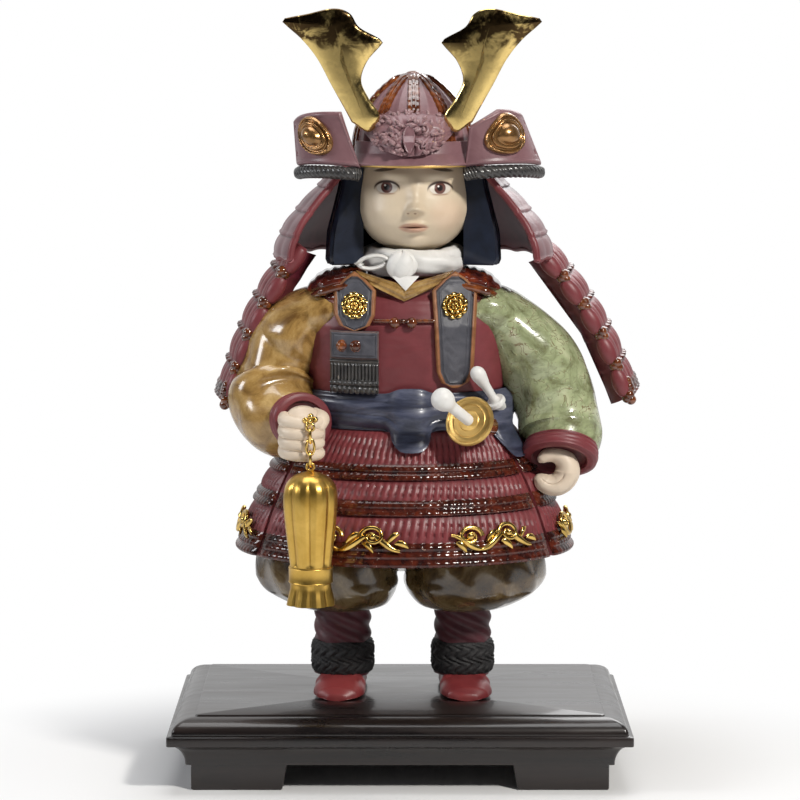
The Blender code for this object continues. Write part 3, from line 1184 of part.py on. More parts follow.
def scroll(name, middle_phi, centre_z, width, gilt, panel):
    """A gilt scroll on the hem: a wavy stem with a leaf curled up at each end."""
    half_x, half_y = skirt_halves(centre_z)
    lift = TIER_STEP + LACE_PROUD + 0.0006
    share = np.linspace(-0.5, 0.5, 7)
    phi = middle_phi + share * width / half_y
    rise = centre_z + 0.0045 * np.sin(share * 2 * math.pi * 1.5)
    line = plan(phi, half_x + lift, half_y + lift, rise)
    thick = SCROLL_THICK * (0.55 + 0.75 * np.abs(np.cos(share * math.pi * 3)) ** 2) * (1 - (2 * share) ** 8 * 0.8)
    made = loft(name, tube_rings(line, SCROLL_THICK * 0.62, thick, 4), gilt)
    curls = []
    for number, (place, height) in enumerate(((-0.28, 0.0034), (0.20, 0.0040))):
        at = plan(middle_phi + place * width / half_y, half_x + lift, half_y + lift, centre_z + height)
        curls.append(ball("%s_curl_%d" % (name, number), at, 0.0058, gilt, scale=(1.0, 0.55, 0.85),
                          segments=5, rings=4))
    unite(made, *curls)
    return carve(made, panel)


def link(name, centre, half, width, wire, turned, gilt, sides=4, around=8):
    """An oval chain link that lies square to X, or square to Y when turned."""
    turn = turns(around)
    loops = []
    for part in turns(sides):
        reach_w = width + wire * math.cos(part)
        reach_h = half + wire * math.cos(part)
        flat = np.full(around, wire * math.sin(part))
        across, up = reach_w * np.sin(turn), reach_h * np.cos(turn)
        shape = (flat, across, up) if not turned else (across, flat, up)
        loops.append(np.stack(shape, axis=-1) + np.array(centre))
    made = loft(name, loops, gilt, loop=True)
    flip_ring(made)
    return made


def chain(gilt, hand, swing, sway):
    """The eye that stands out of the fist, the links, and the tassel's own eye, all with play."""
    nest = 2 * LINK_WIRE + PIVOT_PLAY
    low_eye = TASSEL_TOP + EYE_RADIUS
    low_pivot = low_eye + EYE_RADIUS - nest
    pitch = 2 * LINK_HALF - nest
    high_pivot = low_pivot + (LINKS - 1) * pitch + 2 * LINK_HALF - nest
    place(swing, (TASSEL_X, TASSEL_Y, high_pivot))
    place(sway, (TASSEL_X, TASSEL_Y, low_pivot))
    eye_z = high_pivot + EYE_RADIUS
    eye = link("chain_eye", (TASSEL_X, TASSEL_Y, eye_z), EYE_RADIUS, EYE_RADIUS, LINK_WIRE, True, gilt)
    reach = FIST_Y - FIST_HALF[1] * 0.45
    stem = ball("chain_stem", (TASSEL_X, (TASSEL_Y + reach) / 2, eye_z + EYE_RADIUS + 0.0014),
                (reach - TASSEL_Y) / 2 + 0.0018, gilt, scale=(0.40, 1.0, 0.27))
    unite(eye, stem)
    carve(eye, hand)
    for number in range(LINKS):
        middle = low_pivot + LINK_HALF + number * pitch
        made = link("chain_link_%d" % (LINKS - number), (TASSEL_X, TASSEL_Y, middle), LINK_HALF, LINK_WIDTH,
                    LINK_WIRE, number % 2 == 1, gilt)
        hold(made, swing)
    ring = link("tassel_eye", (TASSEL_X, TASSEL_Y, low_eye), EYE_RADIUS, EYE_RADIUS, LINK_WIRE, True, gilt)
    body = unite(tassel(gilt), ring)
    hold(body, sway)


def place(marker, at):
    """Put an empty on a joint's axis."""
    marker.location = at
    bpy.context.view_layer.update()


def hold(piece, marker):
    """Carry a piece on a joint's empty without moving it."""
    piece.parent = marker
    piece.matrix_parent_inverse = Matrix.Translation(-marker.location)


def tassel(gilt):
    """A turned and fluted tassel: a rounded head, a plain band and a flared skirt."""
    columns = 2 * TASSEL_FLUTES
    angle = turns(columns)
    cut = (np.arange(columns) % 2).astype(float)
    top = TASSEL_TOP - 0.0008
    band_top = top - TASSEL_HEIGHT
    band_low = band_top - TASSEL_BAND
    low = band_low - TASSEL_SKIRT
    rows = [(top, 0.16, 0.0), (top - 0.0030, 0.64, 0.2), (top - 0.0100, 0.97, 0.7),
            (top - 0.0180, 1.0, 1.0), (top - 0.0380, 0.90, 1.0), (band_top + 0.003, 0.77, 0.8),
            (band_top, 0.745, 0.0), (band_top - 0.0003, 0.79, 0.0), (band_low, 0.79, 0.0),
            (band_low - 0.0003, 0.735, 0.0), (band_low - 0.004, 0.76, 0.6), (low, TASSEL_FLARE / TASSEL_RADIUS, 1.0)]
    rings = []
    for z, share, fluted in rows:
        reach = TASSEL_RADIUS * share - 0.0011 * fluted * cut
        rings.append(plan(angle, reach, reach, z, centre=(TASSEL_X, TASSEL_Y)))
    return loft("tassel", rings, gilt)


def build():
    """Make every piece in the order in which they seat on each other."""
    lacquer_black = material("black_lacquer", (0.012, 0.010, 0.010), 0.28)
    leather_red = material("red_leather", (0.33, 0.05, 0.06), 0.45)
    shin_cloth = material("shin_cloth", (0.10, 0.03, 0.045), 0.60)
    olive_glaze = material("olive_glaze", (0.22, 0.14, 0.05), 0.25)
    red_lacing = material("red_lacing", (0.30, 0.07, 0.09), 0.45)
    mauve = material("mauve_bisque", (0.27, 0.14, 0.17), 0.55)
    slate = material("slate_glaze", (0.07, 0.08, 0.13), 0.30)
    grey_leather = material("grey_leather", (0.10, 0.10, 0.12), 0.50)
    gilt = material("gilt", (0.75, 0.50, 0.14), 0.25, 1.0)
    brown_glaze = material("brown_glaze", (0.16, 0.05, 0.02), 0.18)
    ochre = material("ochre_glaze", (0.50, 0.32, 0.10), 0.30)
    green = material("green_glaze", (0.38, 0.45, 0.28), 0.28)
    skin = material("bisque_skin", (0.72, 0.60, 0.48), 0.50)
    black_hair = material("black_hair", (0.015, 0.020, 0.035), 0.40)
    white = material("white_bisque", (0.80, 0.79, 0.76), 0.50)

    plinth(lacquer_black)
    cloth = trousers(olive_glaze)
    for name, centre_x, splay in (("right", LEG_RIGHT_X, SHOE_SPLAY), ("left", LEG_LEFT_X, -SHOE_SPLAY)):
        shoe_piece = shoe("shoe_" + name, centre_x, splay, leather_red)
        leg("leg_" + name, centre_x, shin_cloth, cloth, shoe_piece)
    torso = cuirass(red_lacing)
    carve(cloth, torso)
    back_span = 2 * math.pi - FRONT_PANEL - 2 * SIDE_PANEL - 4 * PANEL_GAP
    side_middle = FRONT_PANEL / 2 + PANEL_GAP + SIDE_PANEL / 2
    panels = {name: skirt_panel("skirt_" + name, middle, span, red_lacing)
              for name, middle, span in (("front", 0.0, FRONT_PANEL), ("left", side_middle, SIDE_PANEL),
                                         ("back", math.pi, back_span), ("right", -side_middle, SIDE_PANEL))}
    band = sash(slate)
    chest(grey_leather, gilt, brown_glaze, ochre, torso)
    straps = yoke(red_lacing)

    right_sleeve = sleeve("sleeve_right", SLEEVE_RIGHT, SLEEVE_RIGHT_HALF, torso, ochre, 3.0)
    left_sleeve = sleeve("sleeve_left", SLEEVE_LEFT, SLEEVE_LEFT_HALF, torso, green, 2.5)
    form = waist_form()
    for piece in (right_sleeve, left_sleeve):
        carve(piece, straps, form, band)
    for name in ("chest_plate_right", "chest_plate_left", "chest_block"):
        carve(right_sleeve if "left" not in name else left_sleeve, bpy.data.objects[name])
    fist = right_hand(skin, right_sleeve)
    carve(left_hand(skin, left_sleeve), panels["left"], panels["front"])
    face = head(skin)
    carve(face, torso)
    locks = hair(black_hair)
    scarf(white)
    bowl = helmet_bowl(mauve)
    visor = helmet_visor(mauve)
    crest = helmet_crest(mauve)
    horn("horn_right", False, gilt)
    horn("horn_left", True, gilt)
    guard = neck_guard(mauve, bowl, visor, locks, face)
    for name, side in (("turnback_right", -1.0), ("turnback_left", 1.0)):
        turnback(name, side, mauve, slate, brown_glaze, visor, bowl, guard, crest)
        carve(bpy.data.objects[name + "_braid"], visor, guard, locks, face)
    for name, top, end, arm in (("shoulder_guard_left", GUARD_TOP_LEFT, GUARD_END_LEFT, left_sleeve),
                                ("shoulder_guard_right", GUARD_TOP_RIGHT, GUARD_END_RIGHT, right_sleeve)):
        shoulder_guard(name, top, end, red_lacing, arm, straps, guard, locks)
    swords(white, gilt, brown_glaze, form, band, left_sleeve)
    for name, middle, panel in (("front_right", -0.30, "front"), ("front_left", 0.55, "front"),
                                ("side_left", 1.45, "left"), ("side_right", -1.45, "right")):
        scroll("scroll_" + name, middle, SKIRT_HEM + 0.0155, SCROLL_WIDTH, gilt, panels[panel])
    swing = bpy.data.objects.new("chain_swing", None)
    sway = bpy.data.objects.new("tassel_sway", None)
    for marker in (swing, sway):
        DOLL.objects.link(marker)
        marker.parent = STAND
    chain(gilt, fist, swing, sway)


for old in list(bpy.data.objects):
    bpy.data.objects.remove(old)
DOLL = bpy.data.collections.new("samurai_doll")
CUTTERS = bpy.data.collections.new("cutters")
bpy.context.scene.collection.children.link(DOLL)
bpy.context.scene.collection.children.link(CUTTERS)
STAND = bpy.data.objects.new("stand", None)
STAND.location = (BALANCE_X, BALANCE_Y, 0.0)
DOLL.objects.link(STAND)
build()
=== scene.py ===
"""Looks of the porcelain samurai child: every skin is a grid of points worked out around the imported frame.

Lengths are in metres and angles in radians. The figure is worked out about its own middle and moved by
STAND when its skins are made. A grid has its rows along a piece and its columns round or across it.
"""

import math

import bmesh
import bpy
import numpy as np
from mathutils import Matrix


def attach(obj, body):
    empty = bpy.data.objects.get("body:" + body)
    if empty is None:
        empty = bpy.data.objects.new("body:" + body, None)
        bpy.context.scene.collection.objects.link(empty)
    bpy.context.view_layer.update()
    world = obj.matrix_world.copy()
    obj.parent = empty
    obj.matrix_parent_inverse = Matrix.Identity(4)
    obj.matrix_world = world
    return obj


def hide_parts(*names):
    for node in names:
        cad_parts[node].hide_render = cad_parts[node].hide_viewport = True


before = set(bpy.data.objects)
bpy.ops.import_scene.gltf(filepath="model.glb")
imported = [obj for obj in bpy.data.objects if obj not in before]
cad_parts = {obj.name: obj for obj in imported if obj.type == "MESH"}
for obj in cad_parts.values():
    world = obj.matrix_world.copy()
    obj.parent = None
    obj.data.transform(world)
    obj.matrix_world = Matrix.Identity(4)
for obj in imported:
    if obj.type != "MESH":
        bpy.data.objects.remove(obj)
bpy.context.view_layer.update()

TAU = 2.0 * math.pi
STAND = np.array((-0.0020, 0.0088, 0.0))
BODY_X = 0.0030
HEAD_X, HEAD_Y = 0.0085, -0.0040
BASE_TOP = 0.0470
TROUSER_HEM = 0.1020
SKIRT_HEM = 0.1410
WAIST = 0.2220
SASH_TOP = 0.2455
SHOULDER = 0.3090
CHIN = 0.3330
RIM = 0.3920
HEAD_HALF_X, HEAD_HALF_Y = 0.0355, 0.0400
BOWL_HALF_X, BOWL_HALF_Y = 0.0385, 0.0450
BOWL_HEIGHT = 0.052
TURNBACK_WIDTH, TURNBACK_HEIGHT = 0.057, 0.034
GUARD_LAMES, GUARD_SAG = 5, 0.006
PLATE_RIGHT_X, PLATE_LEFT_X = -0.0285, 0.0345
LEG_X = (-0.0370, 0.0405)


# Shapes


def turns(count):
    """Angles of a whole turn, the last one short of the first."""
    return np.arange(count) * TAU / count


def hill(value, middle, width, power=2.0):
    """A smooth hill of height one: exp of minus the distance over the width, raised to a power."""
    return np.exp(-np.abs((np.asarray(value, dtype=float) - middle) / width) ** power)


def step(value, low, high):
    """Smoothstep from nought at low to one at high."""
    share = np.clip((np.asarray(value, dtype=float) - low) / (high - low), 0.0, 1.0)
    return share * share * (3.0 - 2.0 * share)


def plan(phi, half_x, half_y, z, power=2.0, centre=(BODY_X, 0.0)):
    """Rounded plan: centre plus half widths times sine and minus cosine, each to the power 2/power."""
    phi = np.asarray(phi, dtype=float)
    across, along = np.sin(phi), np.cos(phi)
    x = centre[0] + half_x * np.sign(across) * np.abs(across) ** (2.0 / power)
    y = centre[1] - half_y * np.sign(along) * np.abs(along) ** (2.0 / power)
    return np.stack(np.broadcast_arrays(x, y, z), axis=-1)


def smooth_path(points, count):
    """Points spread along a Catmull-Rom curve through the given ones."""
    points = np.asarray(points, dtype=float)
    padded = np.vstack((2 * points[0] - points[1], points, 2 * points[-1] - points[-2]))
    place = np.linspace(0.0, len(points) - 1.0, count)
    piece = np.minimum(place.astype(int), len(points) - 2)
    t = (place - piece)[:, None]
    a, b, c, d = (padded[piece + shift] for shift in range(4))
    return 0.5 * (2 * b + (c - a) * t + (2 * a - 5 * b + 4 * c - d) * t ** 2
                  + (3 * b - a - 3 * c + d) * t ** 3)


def tube(path, half_u, half_v, sides, up=(0.0, 0.0, 1.0), power=2.0):
    """Rings square to a path: half_u across it and half_v along the given up direction."""
    path = np.asarray(path, dtype=float)
    ahead = np.gradient(path, axis=0)
    ahead /= np.linalg.norm(ahead, axis=1)[:, None]
    side = np.cross(ahead, np.asarray(up, dtype=float))
    side /= np.linalg.norm(side, axis=1)[:, None]
    over = np.cross(side, ahead)
    half_u = np.asarray(half_u, dtype=float)
    half_v = np.asarray(half_v, dtype=float)
    half_u = half_u[:, None] if half_u.ndim == 1 else half_u * np.ones((len(path), 1))
    half_v = half_v[:, None] if half_v.ndim == 1 else half_v * np.ones((len(path), 1))
    angle = turns(sides)
    across = np.sign(np.cos(angle)) * np.abs(np.cos(angle)) ** (2.0 / power)
    above = np.sign(np.sin(angle)) * np.abs(np.sin(angle)) ** (2.0 / power)
    return (path[:, None] + (half_u * across)[..., None] * side[:, None]
            + (half_v * above)[..., None] * over[:, None])


def turned(start, aim, profile, sides):
    """Rings of a turned piece: each (distance along the aim, radius) pair gives one ring."""
    start, aim = np.asarray(start, dtype=float), np.asarray(aim, dtype=float)
    aim = aim / np.linalg.norm(aim)
    across = np.cross(aim, (0.0, 0.0, 1.0) if abs(aim[2]) < 0.95 else (1.0, 0.0, 0.0))
    across /= np.linalg.norm(across)
    up = np.cross(aim, across)
    profile = np.asarray(profile, dtype=float)
    angle = turns(sides)
    spoke = np.cos(angle)[:, None] * across + np.sin(angle)[:, None] * up
    return start + profile[:, :1, None] * aim + profile[:, 1:, None] * spoke


def soft_profile(points, count=40):
    """A dense smooth profile through a few (place, reach) pairs."""
    dense = smooth_path(points, count)
    dense[:, 1] = np.maximum(dense[:, 1], 1e-5)
    return dense


def quads(rows, columns, wrap, loop, start=0):
    """Corner numbers of the quads of a grid."""
    last_row = rows if loop else rows - 1
    last_column = columns if wrap else columns - 1
    row, column = np.meshgrid(np.arange(last_row), np.arange(last_column), indexing="ij")
    after, above = (column + 1) % columns, (row + 1) % rows
    return start + np.stack((row * columns + column, row * columns + after,
                             above * columns + after, above * columns + column), axis=-1).reshape(-1, 4)


def closed(grid, loop=False):
    """Corners and faces of a wrapped grid; its two ends are closed by fans unless its rows loop."""
    grid = np.asarray(grid, dtype=float)
    rows, columns, _ = grid.shape
    points = grid.reshape(-1, 3)
    faces = quads(rows, columns, True, loop).tolist()
    if not loop:
        ends = np.stack((grid[0].mean(axis=0), grid[-1].mean(axis=0)))
        first, last = len(points), len(points) + 1
        side = np.arange(columns)
        low = np.stack((side, np.full(columns, first), (side + 1) % columns), axis=-1)
        high_row = (rows - 1) * columns
        high = np.stack((high_row + side, high_row + (side + 1) % columns, np.full(columns, last)), axis=-1)
        faces += low.tolist() + high.tolist()
        points = np.vstack((points, ends))
    return points, faces


def sheeted(outer, inner):
    """A sheet's corners and faces: an outer grid, about one row in seven of an inner one, and the rims."""
    outer, inner = np.asarray(outer, dtype=float), np.asarray(inner, dtype=float)
    rows, columns, _ = outer.shape
    inner = inner[np.unique(np.linspace(0, len(inner) - 1, max(9, len(inner) // 7)).astype(int))]
    back_rows = len(inner)
    start = rows * columns
    faces = quads(rows, columns, False, False).tolist()
    faces += quads(back_rows, columns, False, False, start)[:, ::-1].tolist()
    side = np.arange(columns - 1)
    last, back_last = (rows - 1) * columns, start + (back_rows - 1) * columns
    faces += np.stack((side, start + side, start + side + 1, side + 1), axis=-1).tolist()
    faces += np.stack((last + side, last + side + 1, back_last + side + 1, back_last + side),
                      axis=-1).tolist()
    for column in (0, columns - 1):
        front = [row * columns + column for row in range(rows)]
        back = [start + row * columns + column for row in reversed(range(back_rows))]
        faces.append(front + back)
    points = np.vstack((outer.reshape(-1, 3), inner.reshape(-1, 3)))
    return points, faces


def piece(name, parts, surface, nodes=(), slot=None, body="figure", paint=None, smooth=50.0, subdivide=0):
    """One object from several (points, faces) parts; paint holds named values for every corner."""
    points, faces, offset = [], [], 0
    for part in parts:
        points.append(part[0])
        faces += [[offset + corner for corner in face] for face in part[1]]
        offset += len(part[0])
    points = np.vstack(points) + STAND
    name = name.replace(" ", "_")
    mesh = bpy.data.meshes.new(name)
    mesh.from_pydata(points.tolist(), [], faces)
    shape = bmesh.new()
    shape.from_mesh(mesh)
    bmesh.ops.recalc_face_normals(shape, faces=shape.faces)
    shape.to_mesh(mesh)
    shape.free()
    for label, values in (paint or {}).items():
        layer = mesh.attributes.new(label, "FLOAT", "POINT")
        full = np.zeros(len(points), dtype=np.float32)
        values = np.asarray(values, dtype=np.float32).ravel()[:len(points)]
        full[:len(values)] = values
        layer.data.foreach_set("value", full)
    mesh.shade_smooth()
    mesh.set_sharp_from_angle(angle=math.radians(smooth))
    mesh.materials.append(surface)
    made = bpy.data.objects.new(name, mesh)
    bpy.context.scene.collection.objects.link(made)
    if subdivide:
        finer = made.modifiers.new("finer", "SUBSURF")
        finer.levels = finer.render_levels = subdivide
    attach(made, body)
    if nodes:
        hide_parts(*nodes)
    return made


# Materials


def new_group(name, inputs, outputs):
    """An empty node group with its sockets; each input is (name, kind, value)."""
    tree = bpy.data.node_groups.new(name, "ShaderNodeTree")
    for label, kind, value in inputs:
        socket = tree.interface.new_socket(label, in_out="INPUT", socket_type="NodeSocket" + kind)
        if value is not None:
            socket.default_value = value
    for label, kind in outputs:
        tree.interface.new_socket(label, in_out="OUTPUT", socket_type="NodeSocket" + kind)
    return tree, tree.nodes.new("NodeGroupInput"), tree.nodes.new("NodeGroupOutput")


def node(tree, kind, settings=None, **values):
    """A shader node with its settings, its sockets' values (by name) and its links (a socket as value)."""
    made = tree.nodes.new("ShaderNode" + kind)
    for label, value in (settings or {}).items():
        setattr(made, label, value)
    for label, value in values.items():
        socket = made.inputs[int(label[1:])] if label[0] == "i" and label[1:].isdigit() \
            else made.inputs[label.replace("_", " ")]
        if isinstance(value, bpy.types.NodeSocket):
            tree.links.new(value, socket)
        else:
            socket.default_value = value
    return made


def ramp(tree, value, stops):
    """A colour ramp through (place, colour) stops."""
    made = node(tree, "ValToRGB", Fac=value)
    band = made.color_ramp
    while len(band.elements) < len(stops):
        band.elements.new(0.5)
    for element, (place, colour) in zip(band.elements, stops):
        element.position = place
        element.color = (*colour, 1.0)
    return made.outputs["Color"]


def blend(tree, share, one, two, mode="MIX"):
    """A mix of two colours."""
    made = node(tree, "Mix", {"data_type": "RGBA", "blend_type": mode})
    for socket, value in ((made.inputs[0], share), (made.inputs[6], one), (made.inputs[7], two)):
        if isinstance(value, bpy.types.NodeSocket):
            tree.links.new(value, socket)
        else:
            socket.default_value = (*value, 1.0) if isinstance(value, tuple) and len(value) == 3 else value
    return made.outputs[2]


def maths(tree, operation, one, two=0.0, three=0.0, clamp=False):
    """A maths node's result."""
    return node(tree, "Math", {"operation": operation, "use_clamp": clamp}, i0=one, i1=two,
                i2=three).outputs[0]


def mottle_group():
    """Cloudy patches and fine specks in object space: noise at one size, bent by noise at another."""
    tree, source, sink = new_group("mottle", [("Patch", "Float", 60.0), ("Speck", "Float", 900.0),
                                              ("Stretch", "Vector", (1.0, 1.0, 1.0))],
                                   [("Patches", "Float"), ("Specks", "Float")])
    place = node(tree, "TexCoord").outputs["Object"]
    spread = node(tree, "VectorMath", {"operation": "MULTIPLY"}, i0=place,
                  i1=source.outputs["Stretch"]).outputs[0]
    patches = node(tree, "TexNoise", Vector=spread, Scale=source.outputs["Patch"], Detail=5.0,
                   Roughness=0.62, Distortion=0.6)
    specks = node(tree, "TexNoise", Vector=spread, Scale=source.outputs["Speck"], Detail=2.0, Roughness=0.5)
    tree.links.new(patches.outputs["Fac"], sink.inputs["Patches"])
    tree.links.new(specks.outputs["Fac"], sink.inputs["Specks"])
    return tree


def grain_group():
    """A bumped normal from noise at a given size, for bisque, leather and brushed metal."""
    tree, source, sink = new_group("grain", [("Scale", "Float", 1500.0), ("Strength", "Float", 0.2),
                                             ("Depth", "Float", 0.0004),
                                             ("Stretch", "Vector", (1.0, 1.0, 1.0))],
                                   [("Normal", "Vector"), ("Grain", "Float")])
    place = node(tree, "TexCoord").outputs["Object"]
    spread = node(tree, "VectorMath", {"operation": "MULTIPLY"}, i0=place,
                  i1=source.outputs["Stretch"]).outputs[0]
    noise = node(tree, "TexNoise", Vector=spread, Scale=source.outputs["Scale"], Detail=4.0, Roughness=0.6)
    bump = node(tree, "Bump", Strength=source.outputs["Strength"], Distance=source.outputs["Depth"],
                Height=noise.outputs["Fac"])
    tree.links.new(bump.outputs["Normal"], sink.inputs["Normal"])
    tree.links.new(noise.outputs["Fac"], sink.inputs["Grain"])
    return tree


def hollow_group():
    """The geometry's pointiness spread between a low and a high edge, for painted shade in grooves and an
    edge tone on raised edges.
    """
    tree, source, sink = new_group("hollow", [("Low", "Float", 0.44), ("High", "Float", 0.56)],
                                   [("Open", "Float")])
    sharp = node(tree, "NewGeometry").outputs["Pointiness"]
    spread = node(tree, "MapRange", {"interpolation_type": "SMOOTHSTEP"}, Value=sharp,
                  From_Min=source.outputs["Low"], From_Max=source.outputs["High"])
    tree.links.new(spread.outputs["Result"], sink.inputs["Open"])
    return tree


GROUPS = {"mottle": mottle_group(), "grain": grain_group(), "hollow": hollow_group()}


def use(tree, name, **values):
    """A shared node group inside a material."""
    made = tree.nodes.new("ShaderNodeGroup")
    made.node_tree = GROUPS[name]
    for label, value in values.items():
        made.inputs[label].default_value = value
    return made.outputs


def painted_hollow_shade(tree, share, low, high):
    """The share of painted shade that a surface takes where it is hollow."""
    opened = use(tree, "hollow", Low=low, High=high)["Open"]
    return maths(tree, "MULTIPLY", maths(tree, "SUBTRACT", 1.0, opened), share)


def painted(tree, label):
    """A value painted on the mesh's points."""
    return node(tree, "Attribute", {"attribute_name": label}).outputs["Fac"]


def surface(name, colour, roughness, metallic=0.0, coat=0.0, grain=None, build=None):
    """A Principled material; build(tree, shader) adds its patterns, grain sets its fine bump."""
    made = bpy.data.materials.new(name)
    made.use_nodes = True
    tree = made.node_tree
    shader = tree.nodes["Principled BSDF"]
    shader.inputs["Base Color"].default_value = (*colour, 1.0)
    shader.inputs["Roughness"].default_value = roughness
    shader.inputs["Metallic"].default_value = metallic
    shader.inputs["Coat Weight"].default_value = coat
    shader.inputs["Coat Roughness"].default_value = 0.06
    if grain:
        bumped = use(tree, "grain", Scale=grain[0], Strength=grain[1], Depth=grain[2])
        tree.links.new(bumped["Normal"], shader.inputs["Normal"])
    if build:
        build(tree, shader)
    return made


def glazed(low, middle, high, patch=60.0, stretch=(1.0, 1.0, 1.0), dark=(0.0, 0.0, 0.0), shade_share=0.75):
    """A mottled glaze: three tones by patch, with painted shade (the dark colour) where the surface is
    hollow.
    """
    def build(tree, shader):
        cloud = use(tree, "mottle", Patch=patch, Speck=900.0, Stretch=stretch)
        tone = ramp(tree, cloud["Patches"], [(0.32, low), (0.50, middle), (0.68, high)])
        speckled = blend(tree, maths(tree, "MULTIPLY", cloud["Specks"], 0.35), tone, low, "MULTIPLY")
        # painted shade: the dark colour laid in grooves and creases
        shade = painted_hollow_shade(tree, shade_share, 0.43, 0.52)
        tree.links.new(blend(tree, shade, speckled, dark), shader.inputs["Base Color"])
    return build


def bisque(low, high, hollow, patch=45.0, edge_tone_and_highlight=None):
    """Matt coloured porcelain: two close tones, painted shade in hollows and, if given, a paler tone on
    raised edges (a painted highlight on most pieces, the own colour of fur tips and braid strands).
    """
    def build(tree, shader):
        cloud = use(tree, "mottle", Patch=patch, Speck=1400.0)
        tone = ramp(tree, cloud["Patches"], [(0.30, low), (0.70, high)])
        # painted shade: the hollow colour laid in grooves and creases
        shade = painted_hollow_shade(tree, 0.9, 0.42, 0.50)
        shaded = blend(tree, shade, tone, hollow)
        if edge_tone_and_highlight:
            # paler tone on raised edges: a painted edge highlight, except on the fur and the braid, where it
            # is their own pale tips and cream strands
            edge = use(tree, "hollow", Low=0.53, High=0.62)["Open"]
            shaded = blend(tree, maths(tree, "MULTIPLY", edge, 0.5), shaded, edge_tone_and_highlight)
        tree.links.new(shaded, shader.inputs["Base Color"])
    return build


# Maroon and mauve bisque: the third tone is painted shade in hollows, the edge tone a painted edge highlight.
MAROON = bisque((0.140, 0.025, 0.030), (0.200, 0.038, 0.045), (0.026, 0.005, 0.007),
                edge_tone_and_highlight=(0.32, 0.09, 0.10))
MAUVE = bisque((0.155, 0.072, 0.082), (0.240, 0.130, 0.142), (0.022, 0.009, 0.011), edge_tone_and_highlight=(0.42, 0.28, 0.28))


def black_streaks(tree, shader):
    """Brown-black lacquer: a faint grain along the board and softer grey patches in the gloss."""
    cloud = use(tree, "mottle", Patch=22.0, Speck=260.0, Stretch=(0.35, 3.0, 3.0))
    tone = ramp(tree, cloud["Patches"], [(0.35, (0.006, 0.004, 0.004)), (0.65, (0.022, 0.014, 0.012))])
    tree.links.new(tone, shader.inputs["Base Color"])
    rough = node(tree, "MapRange", Value=cloud["Patches"], From_Min=0.3, From_Max=0.7, To_Min=0.24,
                 To_Max=0.38)
    tree.links.new(rough.outputs["Result"], shader.inputs["Roughness"])


def lacing_look(tree, shader):
    """Maroon lacing and, where cord is painted, brown glaze with painted glints (light flecks) and a hard
    gloss; painted shade in grooves and a painted pink highlight on raised edges.
    """
    cord = painted(tree, "cord")
    cloud = use(tree, "mottle", Patch=120.0, Speck=620.0)
    maroon = ramp(tree, cloud["Patches"], [(0.30, (0.135, 0.024, 0.028)), (0.70, (0.225, 0.042, 0.048))])
    brown = ramp(tree, cloud["Patches"], [(0.38, (0.022, 0.005, 0.004)), (0.62, (0.105, 0.018, 0.008))])
    # painted glints: light flecks on the brown cord glaze
    glint_mask = ramp(tree, cloud["Specks"], [(0.68, (0.0, 0.0, 0.0)), (0.74, (1.0, 1.0, 1.0))])
    glinted_brown = blend(tree, maths(tree, "MULTIPLY", glint_mask, 0.7), brown, (0.62, 0.42, 0.33))
    both = blend(tree, cord, maroon, glinted_brown)
    # painted shade in the grooves
    dark = painted_hollow_shade(tree, 0.85, 0.42, 0.505)
    # painted pink highlight on raised edges
    edge = use(tree, "hollow", Low=0.54, High=0.64)["Open"]
    shaded = blend(tree, dark, both, (0.020, 0.004, 0.006))
    edge_highlit = blend(tree, maths(tree, "MULTIPLY", edge, 0.35), shaded, (0.42, 0.14, 0.16))
    tree.links.new(edge_highlit, shader.inputs["Base Color"])
    rough = node(tree, "MapRange", Value=cord, To_Min=0.42, To_Max=0.16)
    tree.links.new(rough.outputs["Result"], shader.inputs["Roughness"])


def leaf_marks(tree, shader):
    """Sage glaze with brown leaf marks: thin rims where noise crosses one height, broken by patches; painted
    shade in hollows.
    """
    cloud = use(tree, "mottle", Patch=70.0, Speck=520.0)
    tone = ramp(tree, cloud["Patches"], [(0.32, (0.150, 0.155, 0.070)), (0.50, (0.330, 0.375, 0.205)),
                                         (0.68, (0.480, 0.500, 0.310))])
    place = node(tree, "TexCoord").outputs["Object"]
    curls = node(tree, "TexNoise", Vector=place, Scale=135.0, Detail=1.0, Roughness=0.4, Distortion=1.6)
    off = maths(tree, "ABSOLUTE", maths(tree, "SUBTRACT", curls.outputs["Fac"], 0.56))
    rim = ramp(tree, off, [(0.010, (1.0, 1.0, 1.0)), (0.034, (0.0, 0.0, 0.0))])
    broken = maths(tree, "MULTIPLY", rim,
                   ramp(tree, cloud["Patches"], [(0.45, (0.0, 0.0, 0.0)), (0.55, (1.0, 1.0, 1.0))]))
    marked = blend(tree, maths(tree, "MULTIPLY", broken, 0.75), tone, (0.16, 0.095, 0.035))
    # painted shade in the folds' hollows
    dark = painted_hollow_shade(tree, 0.7, 0.43, 0.50)
    tree.links.new(blend(tree, dark, marked, (0.05, 0.045, 0.015)), shader.inputs["Base Color"])
    bump = node(tree, "Bump", Strength=0.5, Distance=0.0008, Height=rim)
    tree.links.new(bump.outputs["Normal"], shader.inputs["Normal"])


def gold_patina(tone, dark, share=0.5, patch=55.0):
    """Gold whose tone drifts to brown in patches, with painted shade (the dark colour) in hollows."""
    def build(tree, shader):
        cloud = use(tree, "mottle", Patch=patch, Speck=800.0)
        drift = ramp(tree, cloud["Patches"], [(0.40, tone), (0.66, tuple(c * 0.62 for c in tone))])
        # painted shade in hollows
        shade = painted_hollow_shade(tree, share, 0.42, 0.51)
        tree.links.new(blend(tree, shade, drift, dark), shader.inputs["Base Color"])
    return build


